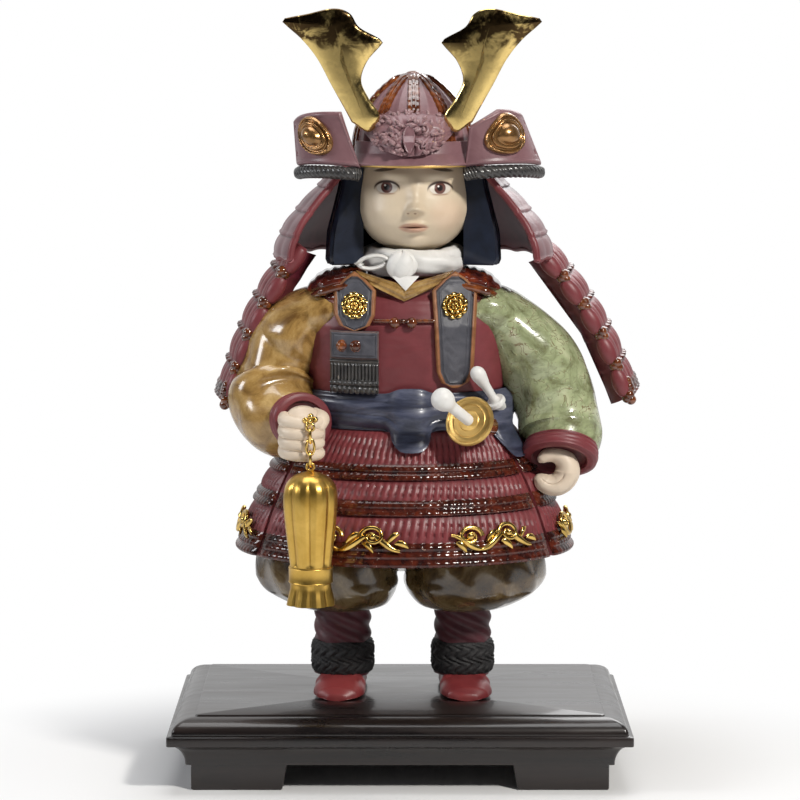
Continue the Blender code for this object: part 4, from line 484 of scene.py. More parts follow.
def horn_patina(tree, shader):
    """Polished gold up the horn's stem, mottled with brown-black over its wide head."""
    cloud = use(tree, "mottle", Patch=75.0, Speck=420.0)
    head = painted(tree, "head")
    share = maths(tree, "ADD", cloud["Patches"], maths(tree, "MULTIPLY", head, 0.12))
    dark = ramp(tree, share, [(0.50, (0.0, 0.0, 0.0)), (0.61, (1.0, 1.0, 1.0))])
    spread = maths(tree, "ADD", maths(tree, "MULTIPLY", head, 0.75), 0.20)
    tone = blend(tree, maths(tree, "MULTIPLY", dark, spread), (0.78, 0.58, 0.22), (0.040, 0.020, 0.010))
    tree.links.new(tone, shader.inputs["Base Color"])
    rough = node(tree, "MapRange", Value=cloud["Specks"], From_Min=0.3, From_Max=0.7, To_Min=0.12,
                 To_Max=0.26)
    tree.links.new(rough.outputs["Result"], shader.inputs["Roughness"])


def satin_fluted(tree, shader):
    """Satin gold, brushed along the flutes, with painted shade in them."""
    brushed = use(tree, "grain", Scale=420.0, Strength=0.10, Depth=0.0003, Stretch=(6.0, 6.0, 0.3))
    tree.links.new(brushed["Normal"], shader.inputs["Normal"])
    cloud = use(tree, "mottle", Patch=50.0, Speck=500.0)
    tone = ramp(tree, cloud["Patches"], [(0.35, (0.56, 0.34, 0.07)), (0.65, (0.72, 0.47, 0.12))])
    # painted shade in the flutes
    dark = painted_hollow_shade(tree, 0.75, 0.44, 0.50)
    tree.links.new(blend(tree, dark, tone, (0.12, 0.055, 0.01)), shader.inputs["Base Color"])


def plate_look(tree, shader):
    """Grey leather with a copper edge where the rim is painted, and painted shade in hollows."""
    cloud = use(tree, "mottle", Patch=90.0, Speck=900.0)
    grey = ramp(tree, cloud["Patches"], [(0.30, (0.042, 0.043, 0.056)), (0.70, (0.098, 0.098, 0.116))])
    copper = ramp(tree, cloud["Patches"], [(0.30, (0.17, 0.060, 0.020)), (0.70, (0.36, 0.150, 0.055))])
    # painted shade in the hollows
    dark = painted_hollow_shade(tree, 0.85, 0.43, 0.50)
    tone = blend(tree, painted(tree, "rim"), grey, copper)
    tree.links.new(blend(tree, dark, tone, (0.008, 0.006, 0.008)), shader.inputs["Base Color"])
    leather = use(tree, "grain", Scale=900.0, Strength=0.35, Depth=0.0004)
    tree.links.new(leather["Normal"], shader.inputs["Normal"])


# Below, each bisque's third tone and each glaze's dark colour are painted shade in hollows; the bisque edge
# tone is a painted edge highlight on the red shoe and the lining, a painted sheen on the hair, and the own
# colour of the fur's tips and the braid's cream strands.
LOOKS = {
    "skin": surface("bisque hand", (0.70, 0.58, 0.45), 0.42, grain=(1400.0, 0.06, 0.0003),
                    build=bisque((0.640, 0.520, 0.400), (0.730, 0.620, 0.490), (0.24, 0.13, 0.08))),
    "lacquer": surface("black lacquer", (0.012, 0.010, 0.010), 0.28, coat=0.35, build=black_streaks),
    "red_shoe": surface("red shoe", (0.2, 0.03, 0.03), 0.42, grain=(1200.0, 0.12, 0.0003),
                        build=bisque((0.150, 0.018, 0.022), (0.250, 0.040, 0.040), (0.020, 0.004, 0.004),
                                     edge_tone_and_highlight=(0.42, 0.14, 0.12))),
    "shin": surface("shin bisque", (0.1, 0.02, 0.03), 0.50, grain=(1100.0, 0.12, 0.0003),
                    build=bisque((0.050, 0.009, 0.014), (0.095, 0.020, 0.028), (0.008, 0.002, 0.003))),
    "fur": surface("ankle fur", (0.03, 0.03, 0.03), 0.62, grain=(1600.0, 0.5, 0.0006),
                   build=bisque((0.006, 0.006, 0.007), (0.026, 0.024, 0.025), (0.002, 0.002, 0.002),
                                patch=260.0, edge_tone_and_highlight=(0.09, 0.085, 0.085))),
    "olive": surface("olive glaze", (0.2, 0.13, 0.05), 0.22, coat=0.6,
                     build=glazed((0.030, 0.016, 0.007), (0.115, 0.070, 0.026), (0.260, 0.190, 0.095),
                                  patch=48.0, dark=(0.010, 0.006, 0.003))),
    "lacing": surface("maroon lacing", (0.2, 0.04, 0.05), 0.40, build=lacing_look),
    "maroon": surface("maroon bisque", (0.2, 0.04, 0.05), 0.44, grain=(1500.0, 0.10, 0.0003), build=MAROON),
    "slate": surface("slate glaze", (0.06, 0.07, 0.12), 0.36, coat=0.15,
                     build=glazed((0.020, 0.022, 0.040), (0.052, 0.060, 0.100), (0.120, 0.130, 0.190),
                                  patch=55.0, stretch=(0.6, 0.6, 2.6), dark=(0.008, 0.008, 0.014))),
    "plate": surface("grey plate leather", (0.08, 0.08, 0.1), 0.48, build=plate_look),
    "gilt": surface("gilt", (0.75, 0.50, 0.14), 0.20, metallic=1.0,
                    build=gold_patina((0.86, 0.58, 0.17), (0.16, 0.06, 0.01), 0.8)),
    "horn": surface("horn gold", (0.75, 0.50, 0.14), 0.16, metallic=1.0, build=horn_patina),
    "tassel": surface("tassel gold", (0.65, 0.42, 0.10), 0.34, metallic=1.0, build=satin_fluted),
    "matt_gold": surface("matt gold", (0.70, 0.46, 0.14), 0.40, metallic=0.85,
                         build=gold_patina((0.80, 0.53, 0.17), (0.22, 0.10, 0.02), 0.6)),
    "brown": surface("brown glaze", (0.12, 0.03, 0.01), 0.12, coat=0.8,
                     build=glazed((0.035, 0.008, 0.003), (0.125, 0.030, 0.010), (0.300, 0.085, 0.020),
                                  patch=90.0, dark=(0.008, 0.003, 0.002))),
    "strap": surface("red brown strap", (0.2, 0.03, 0.01), 0.16, coat=0.7,
                     build=glazed((0.030, 0.006, 0.005), (0.110, 0.018, 0.010), (0.420, 0.070, 0.015),
                                  patch=65.0, dark=(0.010, 0.003, 0.002))),
    "ochre": surface("ochre glaze", (0.45, 0.28, 0.09), 0.24, coat=0.55,
                     build=glazed((0.170, 0.085, 0.022), (0.430, 0.260, 0.080), (0.640, 0.440, 0.180),
                                  patch=62.0, dark=(0.070, 0.030, 0.008))),
    "green": surface("green glaze", (0.35, 0.42, 0.26), 0.22, coat=0.6, build=leaf_marks),
    # Black hair: the edge tone is a painted blue-grey sheen on the strands.
    "hair": surface("black hair", (0.015, 0.02, 0.035), 0.33,
                    build=bisque((0.003, 0.004, 0.008), (0.010, 0.015, 0.032), (0.001, 0.001, 0.002),
                                 patch=120.0, edge_tone_and_highlight=(0.022, 0.032, 0.060))),
    "white": surface("white bisque", (0.78, 0.77, 0.74), 0.45, grain=(900.0, 0.10, 0.0003),
                     build=bisque((0.66, 0.655, 0.63), (0.80, 0.79, 0.77), (0.26, 0.23, 0.19))),
    "mauve": surface("mauve bisque", (0.25, 0.13, 0.16), 0.38, grain=(1300.0, 0.12, 0.0003), build=MAUVE),
    "lining": surface("red lining", (0.1, 0.01, 0.02), 0.45, grain=(1300.0, 0.12, 0.0003),
                      build=bisque((0.075, 0.010, 0.018), (0.135, 0.020, 0.032), (0.010, 0.002, 0.003),
                                   edge_tone_and_highlight=(0.40, 0.12, 0.14))),
    "brass": surface("bronze boss", (0.40, 0.22, 0.07), 0.26, metallic=0.8, coat=0.3,
                     build=gold_patina((0.36, 0.19, 0.07), (0.05, 0.016, 0.006), 0.85, patch=85.0)),
    "braid": surface("braid cord", (0.05, 0.05, 0.05), 0.34, coat=0.3,
                     build=bisque((0.010, 0.010, 0.013), (0.060, 0.056, 0.052), (0.003, 0.003, 0.003),
                                  patch=150.0, edge_tone_and_highlight=(0.62, 0.55, 0.46))),
}


# Plinth, shoes, legs and trousers


def plinth():
    """The board's moulding swept round a rectangle with barely eased corners, and four block feet."""
    low, high = 0.0163, BASE_TOP
    under = np.linspace(0.0, math.pi / 2, 12)
    profile = [(0.011 + 0.002, low)] + [(0.011 * math.cos(turn),
                                         low + 0.014 * math.sin(turn)) for turn in under]
    lip = low + 0.020
    profile += [(-0.0000, lip - 0.0012), (0.0002, lip - 0.0004), (0.0009, lip), (0.0030, lip + 0.0003)]
    profile += [(0.003 + 0.014 * (1 - math.cos(turn)),
                 lip + 0.0008 + (high - lip - 0.0018) * math.sin(turn))
                for turn in under]
    profile += [(0.0173, high - 0.0003), (0.0180, high)]
    ease = 0.0022
    bend = np.linspace(0.0, math.pi / 2, 7)
    rings = []
    for inset, z in profile:
        half_x, half_y = 0.145 - inset - ease, 0.093 - inset - ease
        ring = []
        for quarter, (side_x, side_y) in enumerate(((1, 1), (-1, 1), (-1, -1), (1, -1))):
            turn = bend + quarter * math.pi / 2
            ring.append(np.stack((side_x * half_x + ease * np.cos(turn),
                                  side_y * half_y + ease * np.sin(turn),
                                  np.full(7, z)), axis=-1))
        rings.append(np.vstack(ring))
    piece("plinth board skin", [closed(rings)], LOOKS["lacquer"], ["plinth_board"], "plinth", smooth=32.0)
    for side_x, side_y, name in ((-1, -1, "front_right"), (1, -1, "front_left"), (-1, 1, "back_right"),
                                 (1, 1, "back_left")):
        outer_x, outer_y = side_x * 0.1305, side_y * 0.081
        rings = []
        for z, shrink in ((0.0, 0.0008), (0.0006, 0.0002), (0.0012, 0.0), (0.0162, 0.0)):
            taper = 0.003 * (1 - z / 0.016)
            near_x, near_y = outer_x - side_x * (0.060 - taper), outer_y - side_y * 0.045
            middle = np.array(((outer_x + near_x) / 2, (outer_y + near_y) / 2))
            half = np.abs(np.array((outer_x - near_x, outer_y - near_y))) / 2 - shrink - 0.0009
            ring = []
            for quarter, (sx, sy) in enumerate(((1, 1), (-1, 1), (-1, -1), (1, -1))):
                turn = bend + quarter * math.pi / 2
                ring.append(np.stack((middle[0] + sx * half[0] + 0.0009 * np.cos(turn),
                                      middle[1] + sy * half[1] + 0.0009 * np.sin(turn), np.full(7, z)),
                                     axis=-1))
            rings.append(np.vstack(ring))
        piece("plinth foot skin " + name, [closed(rings)], LOOKS["lacquer"], ["plinth_foot_" + name],
              "plinth", smooth=32.0)


def shoe(side, centre_x, splay):
    """Half widths and heights along the shoe as smooth curves, with a strap ridge and a welt."""
    along = np.linspace(0.0, 1.0, 90)
    knots = np.array([0.0, 0.05, 0.20, 0.52, 0.68, 0.83, 0.94, 1.0])
    width = np.interp(along, knots, np.array([0.40, 0.68, 0.82, 0.88, 0.98, 1.0, 0.78, 0.35])) * 0.0165
    height = np.interp(along, knots, np.array([0.50, 0.84, 1.0, 1.0, 0.86, 0.72, 0.52, 0.25])) * 0.0155
    spread = np.hanning(13) / np.hanning(13).sum()
    width[8:-8] = np.convolve(width, spread, "same")[8:-8]
    height[8:-8] = np.convolve(height, spread, "same")[8:-8]
    turn = turns(72)[None]
    half, tall, place = width[:, None], height[:, None], along[:, None]
    strap = hill(place, 0.66, 0.045, 4) * 0.0012 + hill(place, 0.40, 0.02) * 0.0004
    lift = strap * step(np.sin(turn), 0.0, 0.5)
    creased = 0.00035 * np.sin(place * 70.0) * hill(place, 0.56, 0.07) * step(np.sin(turn), 0.1, 0.7)
    welt = 0.0007 * hill(np.sin(turn), -0.35, 0.16)
    x = (half + welt + lift) * np.sign(np.cos(turn)) * np.abs(np.cos(turn)) ** 0.8
    rise = np.where(np.sin(turn) > 0, 0.28 + 0.72 * np.sin(turn), 0.28 + 0.28 * np.sin(turn))
    z = tall * rise + (lift + creased) * np.clip(np.sin(turn), 0.0, 1.0)
    y = np.broadcast_to(0.036 - place * 0.074, x.shape)
    skin = np.stack((centre_x + x * math.cos(splay) + y * math.sin(splay),
                     y * math.cos(splay) - x * math.sin(splay), BASE_TOP + z), axis=-1)
    piece("shoe skin " + side, [closed(skin)], LOOKS["red_shoe"], ["shoe_" + side], "red_shoe")


def leg(side, centre_x):
    """A smooth shin; round the ankle tufts: a radius plus waves whose phase drifts with height."""
    angle = turns(120)[None]
    z = np.linspace(0.0580, 0.1085, 40)[:, None]
    out = 0.0008 * np.sin(5 * angle + 60 * z * 10)
    shin = plan(np.broadcast_to(angle, (40, 120)), 0.0178 + out, 0.0168 + out, z, centre=(centre_x, 0.0))
    piece("shin skin " + side, [closed(shin)], LOOKS["shin"], ["leg_" + side], "shin_bisque")
    level = np.linspace(0.0, 1.0, 70)[:, None]
    z = 0.0590 + 0.0215 * level
    ring = np.sin(level * math.pi) ** 0.35
    tuft = np.abs(np.sin(9 * angle + 7 * level + 1.6 * np.sin(14 * level))) ** 0.7
    fine = 0.0004 * np.sin(41 * angle + 30 * level) * np.sin(23 * level * 3 + angle * 5)
    roll = 0.0014 * (1 - 0.5 * hill(level, 0.5, 0.18))
    out = -0.0012 + ring * (0.0010 + roll + 0.0014 * tuft) + fine
    fur = plan(np.broadcast_to(angle, (70, 120)), 0.0185 + out, 0.0175 + out, z, centre=(centre_x, 0.0))
    piece("ankle fur skin " + side, [closed(fur)], LOOKS["fur"], (), "shin_bisque")


def trousers():
    """Two ballooned legs (radius by rise, plus fold waves that fan out from the knee) under a hip band."""
    parts = []
    rise = np.linspace(0.0, 1.25, 56)
    angle = turns(96)[None]
    for centre_x in LEG_X:
        outward = math.copysign(1.0, centre_x)
        knots = np.array(((0.0, 0.50, 0.0), (0.07, 0.72, 0.15), (0.30, 0.95, 0.75), (0.52, 1.0, 1.0),
                          (0.85, 0.98, 0.95), (1.25, 0.86, 0.70)))
        share = smooth_path(knots[:, :2], 70)
        half = 0.044 * np.interp(rise, share[:, 0], share[:, 1])
        shift = np.interp(rise, knots[:, 0], knots[:, 2])
        middle = centre_x + shift * (outward * 0.048 - centre_x)
        wave = np.sin(np.clip(rise / 0.52, 0.0, 1.0) * math.pi / 2)[:, None]
        level = rise[:, None]
        folds = (0.0016 * np.cos(4 * angle + 0.6)
                 + 0.0012 * np.abs(np.sin(5.5 * angle + 3.0 * level + centre_x * 40))
                 + 0.0007 * np.sin(11 * angle + 6 * level)) * wave - 0.0008
        rings = np.stack([plan(angle[0], half[row] + folds[row], half[row] * 1.18 + folds[row],
                               TROUSER_HEM + rise[row] * 0.040, centre=(middle[row], 0.0))
                          for row in range(56)])
        parts.append(closed(rings))
    seat = [plan(turns(96), 0.092 * share, 0.055 * share, z)
            for z, share in ((0.129, 0.50), (0.135, 0.80), (0.153, 0.86), (0.179, 0.66), (0.199, 0.50))]
    parts.append(closed(seat))
    piece("trousers skin", parts, LOOKS["olive"], ["trousers"], "olive_glaze")


# Skirt and torso


def skirt_halves(z):
    """Half width and half depth of the skirt's outer face at a height."""
    level = np.clip((np.asarray(z, dtype=float) - SKIRT_HEM) / (WAIST - SKIRT_HEM), 0.0, 1.0)
    swell = np.sin(level * math.pi) * 0.004
    return 0.107 + (0.0675 - 0.107) * level + swell, 0.085 + (0.0525 - 0.085) * level + swell


TIER_ROWS = ((0.2220, 0.2030, 0.1930), (0.1930, 0.1812, 0.1718), (0.1718, 0.1560, 0.1413))


def skirt_panel(name, middle, span):
    """Three tiers: a slanted |cosine| ridge every 4.8 mm over each, a row of cord beads below it."""
    columns = int(span * 0.092 / 0.00118)
    rows = 96
    z = np.linspace(WAIST - 0.0004, SKIRT_HEM + 0.0004, rows)[:, None]
    share = np.linspace(-0.5, 0.5, columns)[None]
    out = np.zeros((rows, columns))
    cord = np.zeros((rows, columns))
    around = share * span * 0.092 / 0.0048
    edge = 1 - (2 * share) ** 24
    for number, (top, band, hem) in enumerate(TIER_ROWS):
        inside = ((z <= top) & (z > hem)).astype(float) * np.ones_like(share)
        level = np.clip((top - z) / (top - band), 0.0, 1.0)
        ridge = np.abs(np.cos(math.pi * (around + 0.62 * level + 0.3 * number))) ** 0.75
        puffed = np.sin(np.clip(level, 0.02, 1.0) * math.pi * 0.86) ** 0.5
        lace = -0.0006 + puffed * (0.0010 + 0.0016 * ridge)
        below = np.clip((band - z) / (band - hem), 0.0, 1.0)
        bead = np.abs(np.cos(math.pi * (around + 0.62 + 0.3 * number + 0.5 * below)))
        double = np.abs(np.sin(below * math.pi * (2 if number < 2 else 3)))
        roll = 0.0004 + 0.0019 * double ** 0.6 * (0.62 + 0.38 * bead ** 0.6) + 0.0006 * below
        belt = (z < band).astype(float) * np.ones_like(share)
        out += inside * ((1 - belt) * lace + belt * roll)
        cord += inside * belt
    half_x, half_y = skirt_halves(z)
    phi = middle + share * span
    outer = plan(phi, half_x + out * edge, half_y + out * edge, z)
    inner = plan(phi, half_x - 0.0034, half_y - 0.0034, z)[::6]
    inner = np.concatenate((inner, plan(phi, half_x - 0.0034, half_y - 0.0034, z)[-1:]))
    piece("skirt skin " + name, [sheeted(outer, inner)], LOOKS["lacing"], ["skirt_" + name],
          "maroon_lacing", paint={"cord": cord})


def torso_halves(z):
    """Half width and half depth of the torso at a height."""
    level = [WAIST - 0.022, SASH_TOP, 0.262, SHOULDER - 0.022, SHOULDER - 0.006, SHOULDER + 0.006]
    half_x = [0.064, 0.064, 0.066, 0.066, 0.0594, 0.0409]
    half_y = [0.049, 0.049, 0.050, 0.050, 0.045, 0.033]
    return np.interp(z, level, half_x), np.interp(z, level, half_y)


def chest_front(x, z):
    """Where the breast's surface lies in Y under a point of the chest."""
    half_x, half_y = torso_halves(z)
    across = np.clip(np.abs((np.asarray(x) - BODY_X) / half_x), 0.0, 0.999)
    return -half_y * (1 - across ** 2.3) ** (1 / 2.3)


def plate_back(x, z):
    """Where a chest plate's back lies: on the breast, then leaning back gently near the shoulder."""
    full = SHOULDER - 0.012
    return chest_front(x, np.minimum(z, full)) + 0.30 * np.maximum(np.asarray(z) - full, 0.0) - 0.0009


def torso():
    """The breast: the torso's plan with an embossed ring and leaf lines."""
    z = np.linspace(WAIST - 0.021, SHOULDER + 0.006, 80)[:, None]
    angle = turns(170)[None]
    half_x, half_y = torso_halves(z)
    x = BODY_X + half_x * np.sin(angle)
    front = (np.cos(angle) > 0).astype(float)
    ring = np.hypot(x - 0.0110, z - 0.2610)
    emboss = 0.0005 * hill(ring, 0.0125, 0.0007) + 0.00035 * hill(ring, 0.0098, 0.0004)
    leaf = 0.0004 * hill(np.sin((x + z) * 640.0) * np.sin((x - z) * 520.0), 0.9, 0.25) * (ring > 0.015)
    out = (emboss + leaf) * front
    power = np.where(z > SASH_TOP, 2.3, 2.0)
    skin = plan(np.broadcast_to(angle, (80, 170)), half_x + out, half_y + out, z, power=power)
    piece("cuirass skin", [closed(skin)], LOOKS["maroon"], ["cuirass"], "maroon_lacing")


def sash():
    """A folded band: offset by sharp-edged fold waves, with a tucked front fold and an end hanging left."""
    angle = turns(180)
    knot = hill(angle, math.radians(3), 0.17, 4) + hill(angle, math.radians(363), 0.17, 4)
    end = hill(angle, math.radians(62), 0.19, 4)
    hang = knot * 0.0125 + end * 0.0190
    thick = knot * 0.0045 + end * 0.0030
    loops = []
    for rise in np.linspace(0.0, 1.0, 46):
        round_off = math.sin(np.clip(rise, 0.03, 0.97) * math.pi) ** 0.28
        fold = (0.0008 * np.abs(np.sin(2 * angle + 7 * rise)) + 0.0006 * np.sin(3 * angle + 6 * rise)
                + 0.0013 * np.abs(np.sin(rise * 8.5 + 0.9 * np.sin(2 * angle))) ** 0.6)
        drop = hang * (1 - rise) ** 1.5
        z = WAIST + 0.0004 + rise * 0.0232 - drop + 0.0035 * knot * step(rise, 0.8, 1.0)
        over_x, over_y = skirt_halves(np.minimum(z, WAIST))
        share = np.clip(drop / 0.004, 0.0, 1.0)
        out = round_off * (0.0052 + fold) + thick * round_off
        wide = np.maximum(0.064 + out, (over_x + 0.0032 + thick * round_off) * share)
        deep = np.maximum(0.049 + out, (over_y + 0.0032 + thick * round_off) * share)
        loops.append(plan(angle, wide, deep, z))
    for z in np.linspace(SASH_TOP - 0.001, WAIST + 0.0006, 5):
        loops.append(plan(angle, 0.0625, 0.0475, z))
    piece("sash skin", [closed(loops, loop=True)], LOOKS["slate"], ["sash"], "slate_glaze")


# Chest


TIP_Z = SHOULDER + 0.012


def chest_plate(side, centre_x, width, length, foot_share):
    """A pointed plate: half width by drop, a rounded copper rim along its edge and a sunk leather field."""
    half = width / 2
    knots = np.array([(0.0, 0.02), (0.0052, 0.56), (0.0115, 1.0), (length * 0.45, 0.5 + foot_share / 2),
                      (length - half * 0.7, foot_share), (length - half * 0.22, foot_share * 0.74),
                      (length, 0.16)])
    drop = np.unique(np.concatenate((np.linspace(0.0, length, 66), knots[:, 0])))[:, None]
    share = np.interp(drop, knots[:, 0], knots[:, 1])
    across = np.linspace(-1.0, 1.0, 71)[None]
    x, z = centre_x + across * half * share, TIP_Z - drop + 0.0 * across
    to_edge = np.minimum((1 - np.abs(across)) * half * share * 0.82,
                         np.minimum(drop * 0.70 if length > 0.05 else drop * 0.70, length - drop + 0.0006
                                    + (0.01 if length < 0.05 else 0.0)))
    rim = hill(to_edge, 0.0010, 0.00125, 4)
    inner_line = 0.00055 * hill(to_edge, 0.0040, 0.0005)
    sunk = 0.0010 * step(to_edge, 0.0018, 0.0030)
    veins = 0.00022 * np.sin(z * 900 + 1.5 * np.sin(x * 600)) * hill(np.sin(x * 380 + z * 170), 0.7, 0.4)
    lift = 0.0032 + 0.0006 * rim - sunk + inner_line + veins * (to_edge > 0.0045)
    lift = lift - 0.0016 * hill(to_edge, 0.0, 0.0005)
    outer = np.stack((x, plate_back(x, z) - lift, z), axis=-1)
    inner = np.stack((x, plate_back(x, z), z), axis=-1)
    paint = np.zeros(outer.shape[:2])
    paint[:] = step(0.0024 - to_edge, 0.0, 0.0006)
    both = np.concatenate((paint.ravel(), np.ones(inner.shape[0] * inner.shape[1])))
    piece("chest plate skin " + side, [sheeted(outer, inner)], LOOKS["plate"], ["chest_plate_" + side],
          "grey_plate", paint={"rim": both})


def flower(side, centre_x):
    """A gilt flower: three whorls of petals, each ring's radius and height waved by its petal count."""
    z0 = TIP_Z - 0.0205
    angle = turns(90)
    reach = np.linspace(0.0, 1.0, 46)
    rings = []
    for share in reach[::-1]:
        whorl, start = (9, 0.62) if share > 0.62 else (7, 0.30) if share > 0.30 else (5, 0.0)
        local = (share - start) / (0.38 if start > 0.5 else 0.32 if start > 0.2 else 0.30)
        petal = np.abs(np.cos(whorl * angle / 2 + start * 3))
        radius = 0.0082 * (share - 0.10 * local * (1 - petal ** 0.6) * (0.4 + start))
        height = (0.0010 + 0.0022 * (1 - start) + 0.0012 * np.sin(local * 2.4) * petal ** 0.5
                  - 0.0006 * hill(local, 0.0, 0.12))
        x, z = centre_x + radius * np.cos(angle), z0 + radius * np.sin(angle)
        rings.append(np.stack((x, plate_back(x, z) - 0.0018 - height, z), axis=-1))
    base = np.stack((centre_x + 0.0075 * np.cos(angle), plate_back(centre_x, z0) - 0.0010 + 0.0 * angle,
                     z0 + 0.0075 * np.sin(angle)), axis=-1)
    piece("flower skin " + side, [closed(np.concatenate((base[None], rings)))], LOOKS["gilt"],
          ["flower_" + side], "gilt")


def ball(centre, radius, scale=(1.0, 1.0, 1.0), rows=20, sides=32):
    """A closed round grid about a centre."""
    tip = np.linspace(0.02, math.pi - 0.02, rows)[:, None]
    angle = turns(sides)[None]
    skin = np.stack((np.sin(tip) * np.cos(angle), np.sin(tip) * np.sin(angle), np.cos(tip) + 0 * angle),
                    axis=-1)
    return closed(np.asarray(centre) + radius * skin * np.asarray(scale))


def chest_block():
    """A leather block with a stitched line round it and two copper knobs; below it a pleated flap."""
    top = TIP_Z - 0.0363
    low = top - 0.0175
    across = np.linspace(-1.0, 1.0, 81)[None]
    z = np.linspace(low, top, 50)[:, None]
    x = PLATE_RIGHT_X + across * 0.01525 + 0 * z
    to_edge = np.minimum((1 - np.abs(across)) * 0.01525, np.minimum(z - low, top - z))
    groove = 0.0005 * hill(to_edge, 0.0022, 0.0004)
    lift = 0.0060 - 0.0016 * hill(to_edge, 0.0, 0.0009) - groove
    front = np.stack((x, plate_back(x, z) - lift, z + 0 * x), axis=-1)
    back = np.stack((x, plate_back(x, z), z + 0 * x), axis=-1)
    paint = step(0.0010 - to_edge, 0.0, 0.0004).ravel()
    piece("chest block skin", [sheeted(front, back)], LOOKS["plate"], ["chest_block"], "grey_plate",
          paint={"rim": 0.25 * paint})
    for number, shift in enumerate((-0.0075, 0.0010)):
        x, z = PLATE_RIGHT_X + shift, top - 0.0091
        y = float(plate_back(x, z)) - 0.0060
        profile = soft_profile([(-0.0010, 0.0037), (0.0004, 0.0038), (0.0009, 0.0030), (0.0012, 0.0029),
                                (0.0026, 0.0021), (0.0030, 0.0002)], 24)
        piece("block knob %d" % number, [closed(turned((x, y, z), (0, -1, 0), profile, 40))],
              LOOKS["brown"], (), "brown_glaze")
    columns = 161
    across = np.linspace(-0.5, 0.5, columns)[None]
    drop = np.linspace(0.0, 0.0204, 60)[:, None]
    z = low - 0.0003 - drop
    pleats = np.abs(np.sin(across * math.pi * 9.0)) ** 0.6
    cord = step(drop, 0.0128, 0.0134)
    fold = 0.0011 * np.abs(np.sin(across * math.pi * 14)) * (1 - cord) * step(drop, 0.0015, 0.004)
    ledge = 0.0010 * hill(drop, 0.0012, 0.0008)
    roll = (0.0018 * np.abs(np.sin((drop - 0.0131) / 0.0073 * math.pi * 2)) ** 0.6
            * (0.5 + 0.5 * pleats) * cord)
    x = PLATE_RIGHT_X + across * 0.0305 + 0 * z
    front = np.stack((x, plate_back(x, z) - 0.0040 - fold - ledge - roll - 0.0014 * cord,
                      z + 0 * x - 0.0010 * pleats * step(drop, 0.019, 0.0204)), axis=-1)
    back = np.stack((x, plate_back(x, z), z + 0 * x), axis=-1)
    piece("chest flap skin", [sheeted(front, back)], LOOKS["braid"], ["chest_flap"], "grey_plate")


def toggled_cord():
    """A twisted cord across the breast, and two faceted toggles with a ring between them."""
    z0 = SHOULDER - 0.018
    reach = np.linspace(-0.0165, 0.0235, 60)
    line = np.stack((reach, chest_front(reach, z0) - 0.0019, np.full(60, z0)), axis=-1)
    swell = 0.0014 * (0.82 + 0.18 * np.abs(np.sin(np.arange(60) * 0.9)))
    parts = [closed(tube(line, swell, swell, 20))]
    for shift in (-0.5, 0.5):
        x = BODY_X - 0.001 + shift * 0.0105
        parts.append(ball((x, float(chest_front(x, z0)) - 0.0034, z0 - 0.001), 0.0034, (1.0, 0.9, 1.05)))
    parts.append(ball((BODY_X - 0.001, float(chest_front(BODY_X, z0)) - 0.0026, z0), 0.0016))
    piece("chest cord skin", parts, LOOKS["brown"], ["chest_cord"], "brown_glaze")


def collar():
    """The robe's crossed edges as a V-shaped band with rounded folds, and the shirt's white V above."""
    share = np.linspace(0.0, 1.0, 90)[None]
    rise = np.linspace(0.0, 1.15, 40)[:, None]
    fall = np.interp(TIP_Z - (SHOULDER + 0.003 + rise * 0.0085), (0.0, 0.0052, 0.0115), (0.06, 0.56, 1.0))
    start = PLATE_RIGHT_X + 0.01375 * fall + 0.0002
    finish = PLATE_LEFT_X - 0.014575 * fall - 0.0002
    x = start + share * (finish - start)
    z = SHOULDER - 0.006 + 0.009 * np.abs(2 * share - 1) + rise * 0.0085
    fold = (0.0009 * np.sin(np.clip(rise, 0.0, 1.0) * math.pi) ** 0.5
            + 0.0005 * np.sin(rise * 11 + share * 6))
    front = np.stack((x, plate_back(x, z) - 0.0011 - fold, z), axis=-1)
    back = np.stack((x, plate_back(x, z), z), axis=-1)
    piece("robe collar skin", [sheeted(front, back)], LOOKS["ochre"], ["robe_collar"], "ochre_glaze")
    level = np.linspace(0.0, 1.0, 16)[:, None]
    wide = np.linspace(-1.0, 1.0, 21)[None]
    x = 0.0035 + wide * 0.0085 * level
    z = SHOULDER + 0.0005 + 0.0090 * level + 0 * wide
    front = np.stack((x, plate_back(x, z) - 0.0026 - 0.0004 * (1 - wide ** 2), z), axis=-1)
    back = np.stack((x, plate_back(x, z), z), axis=-1)
    piece("shirt point", [sheeted(front, back)], LOOKS["white"], (), "white_bisque")


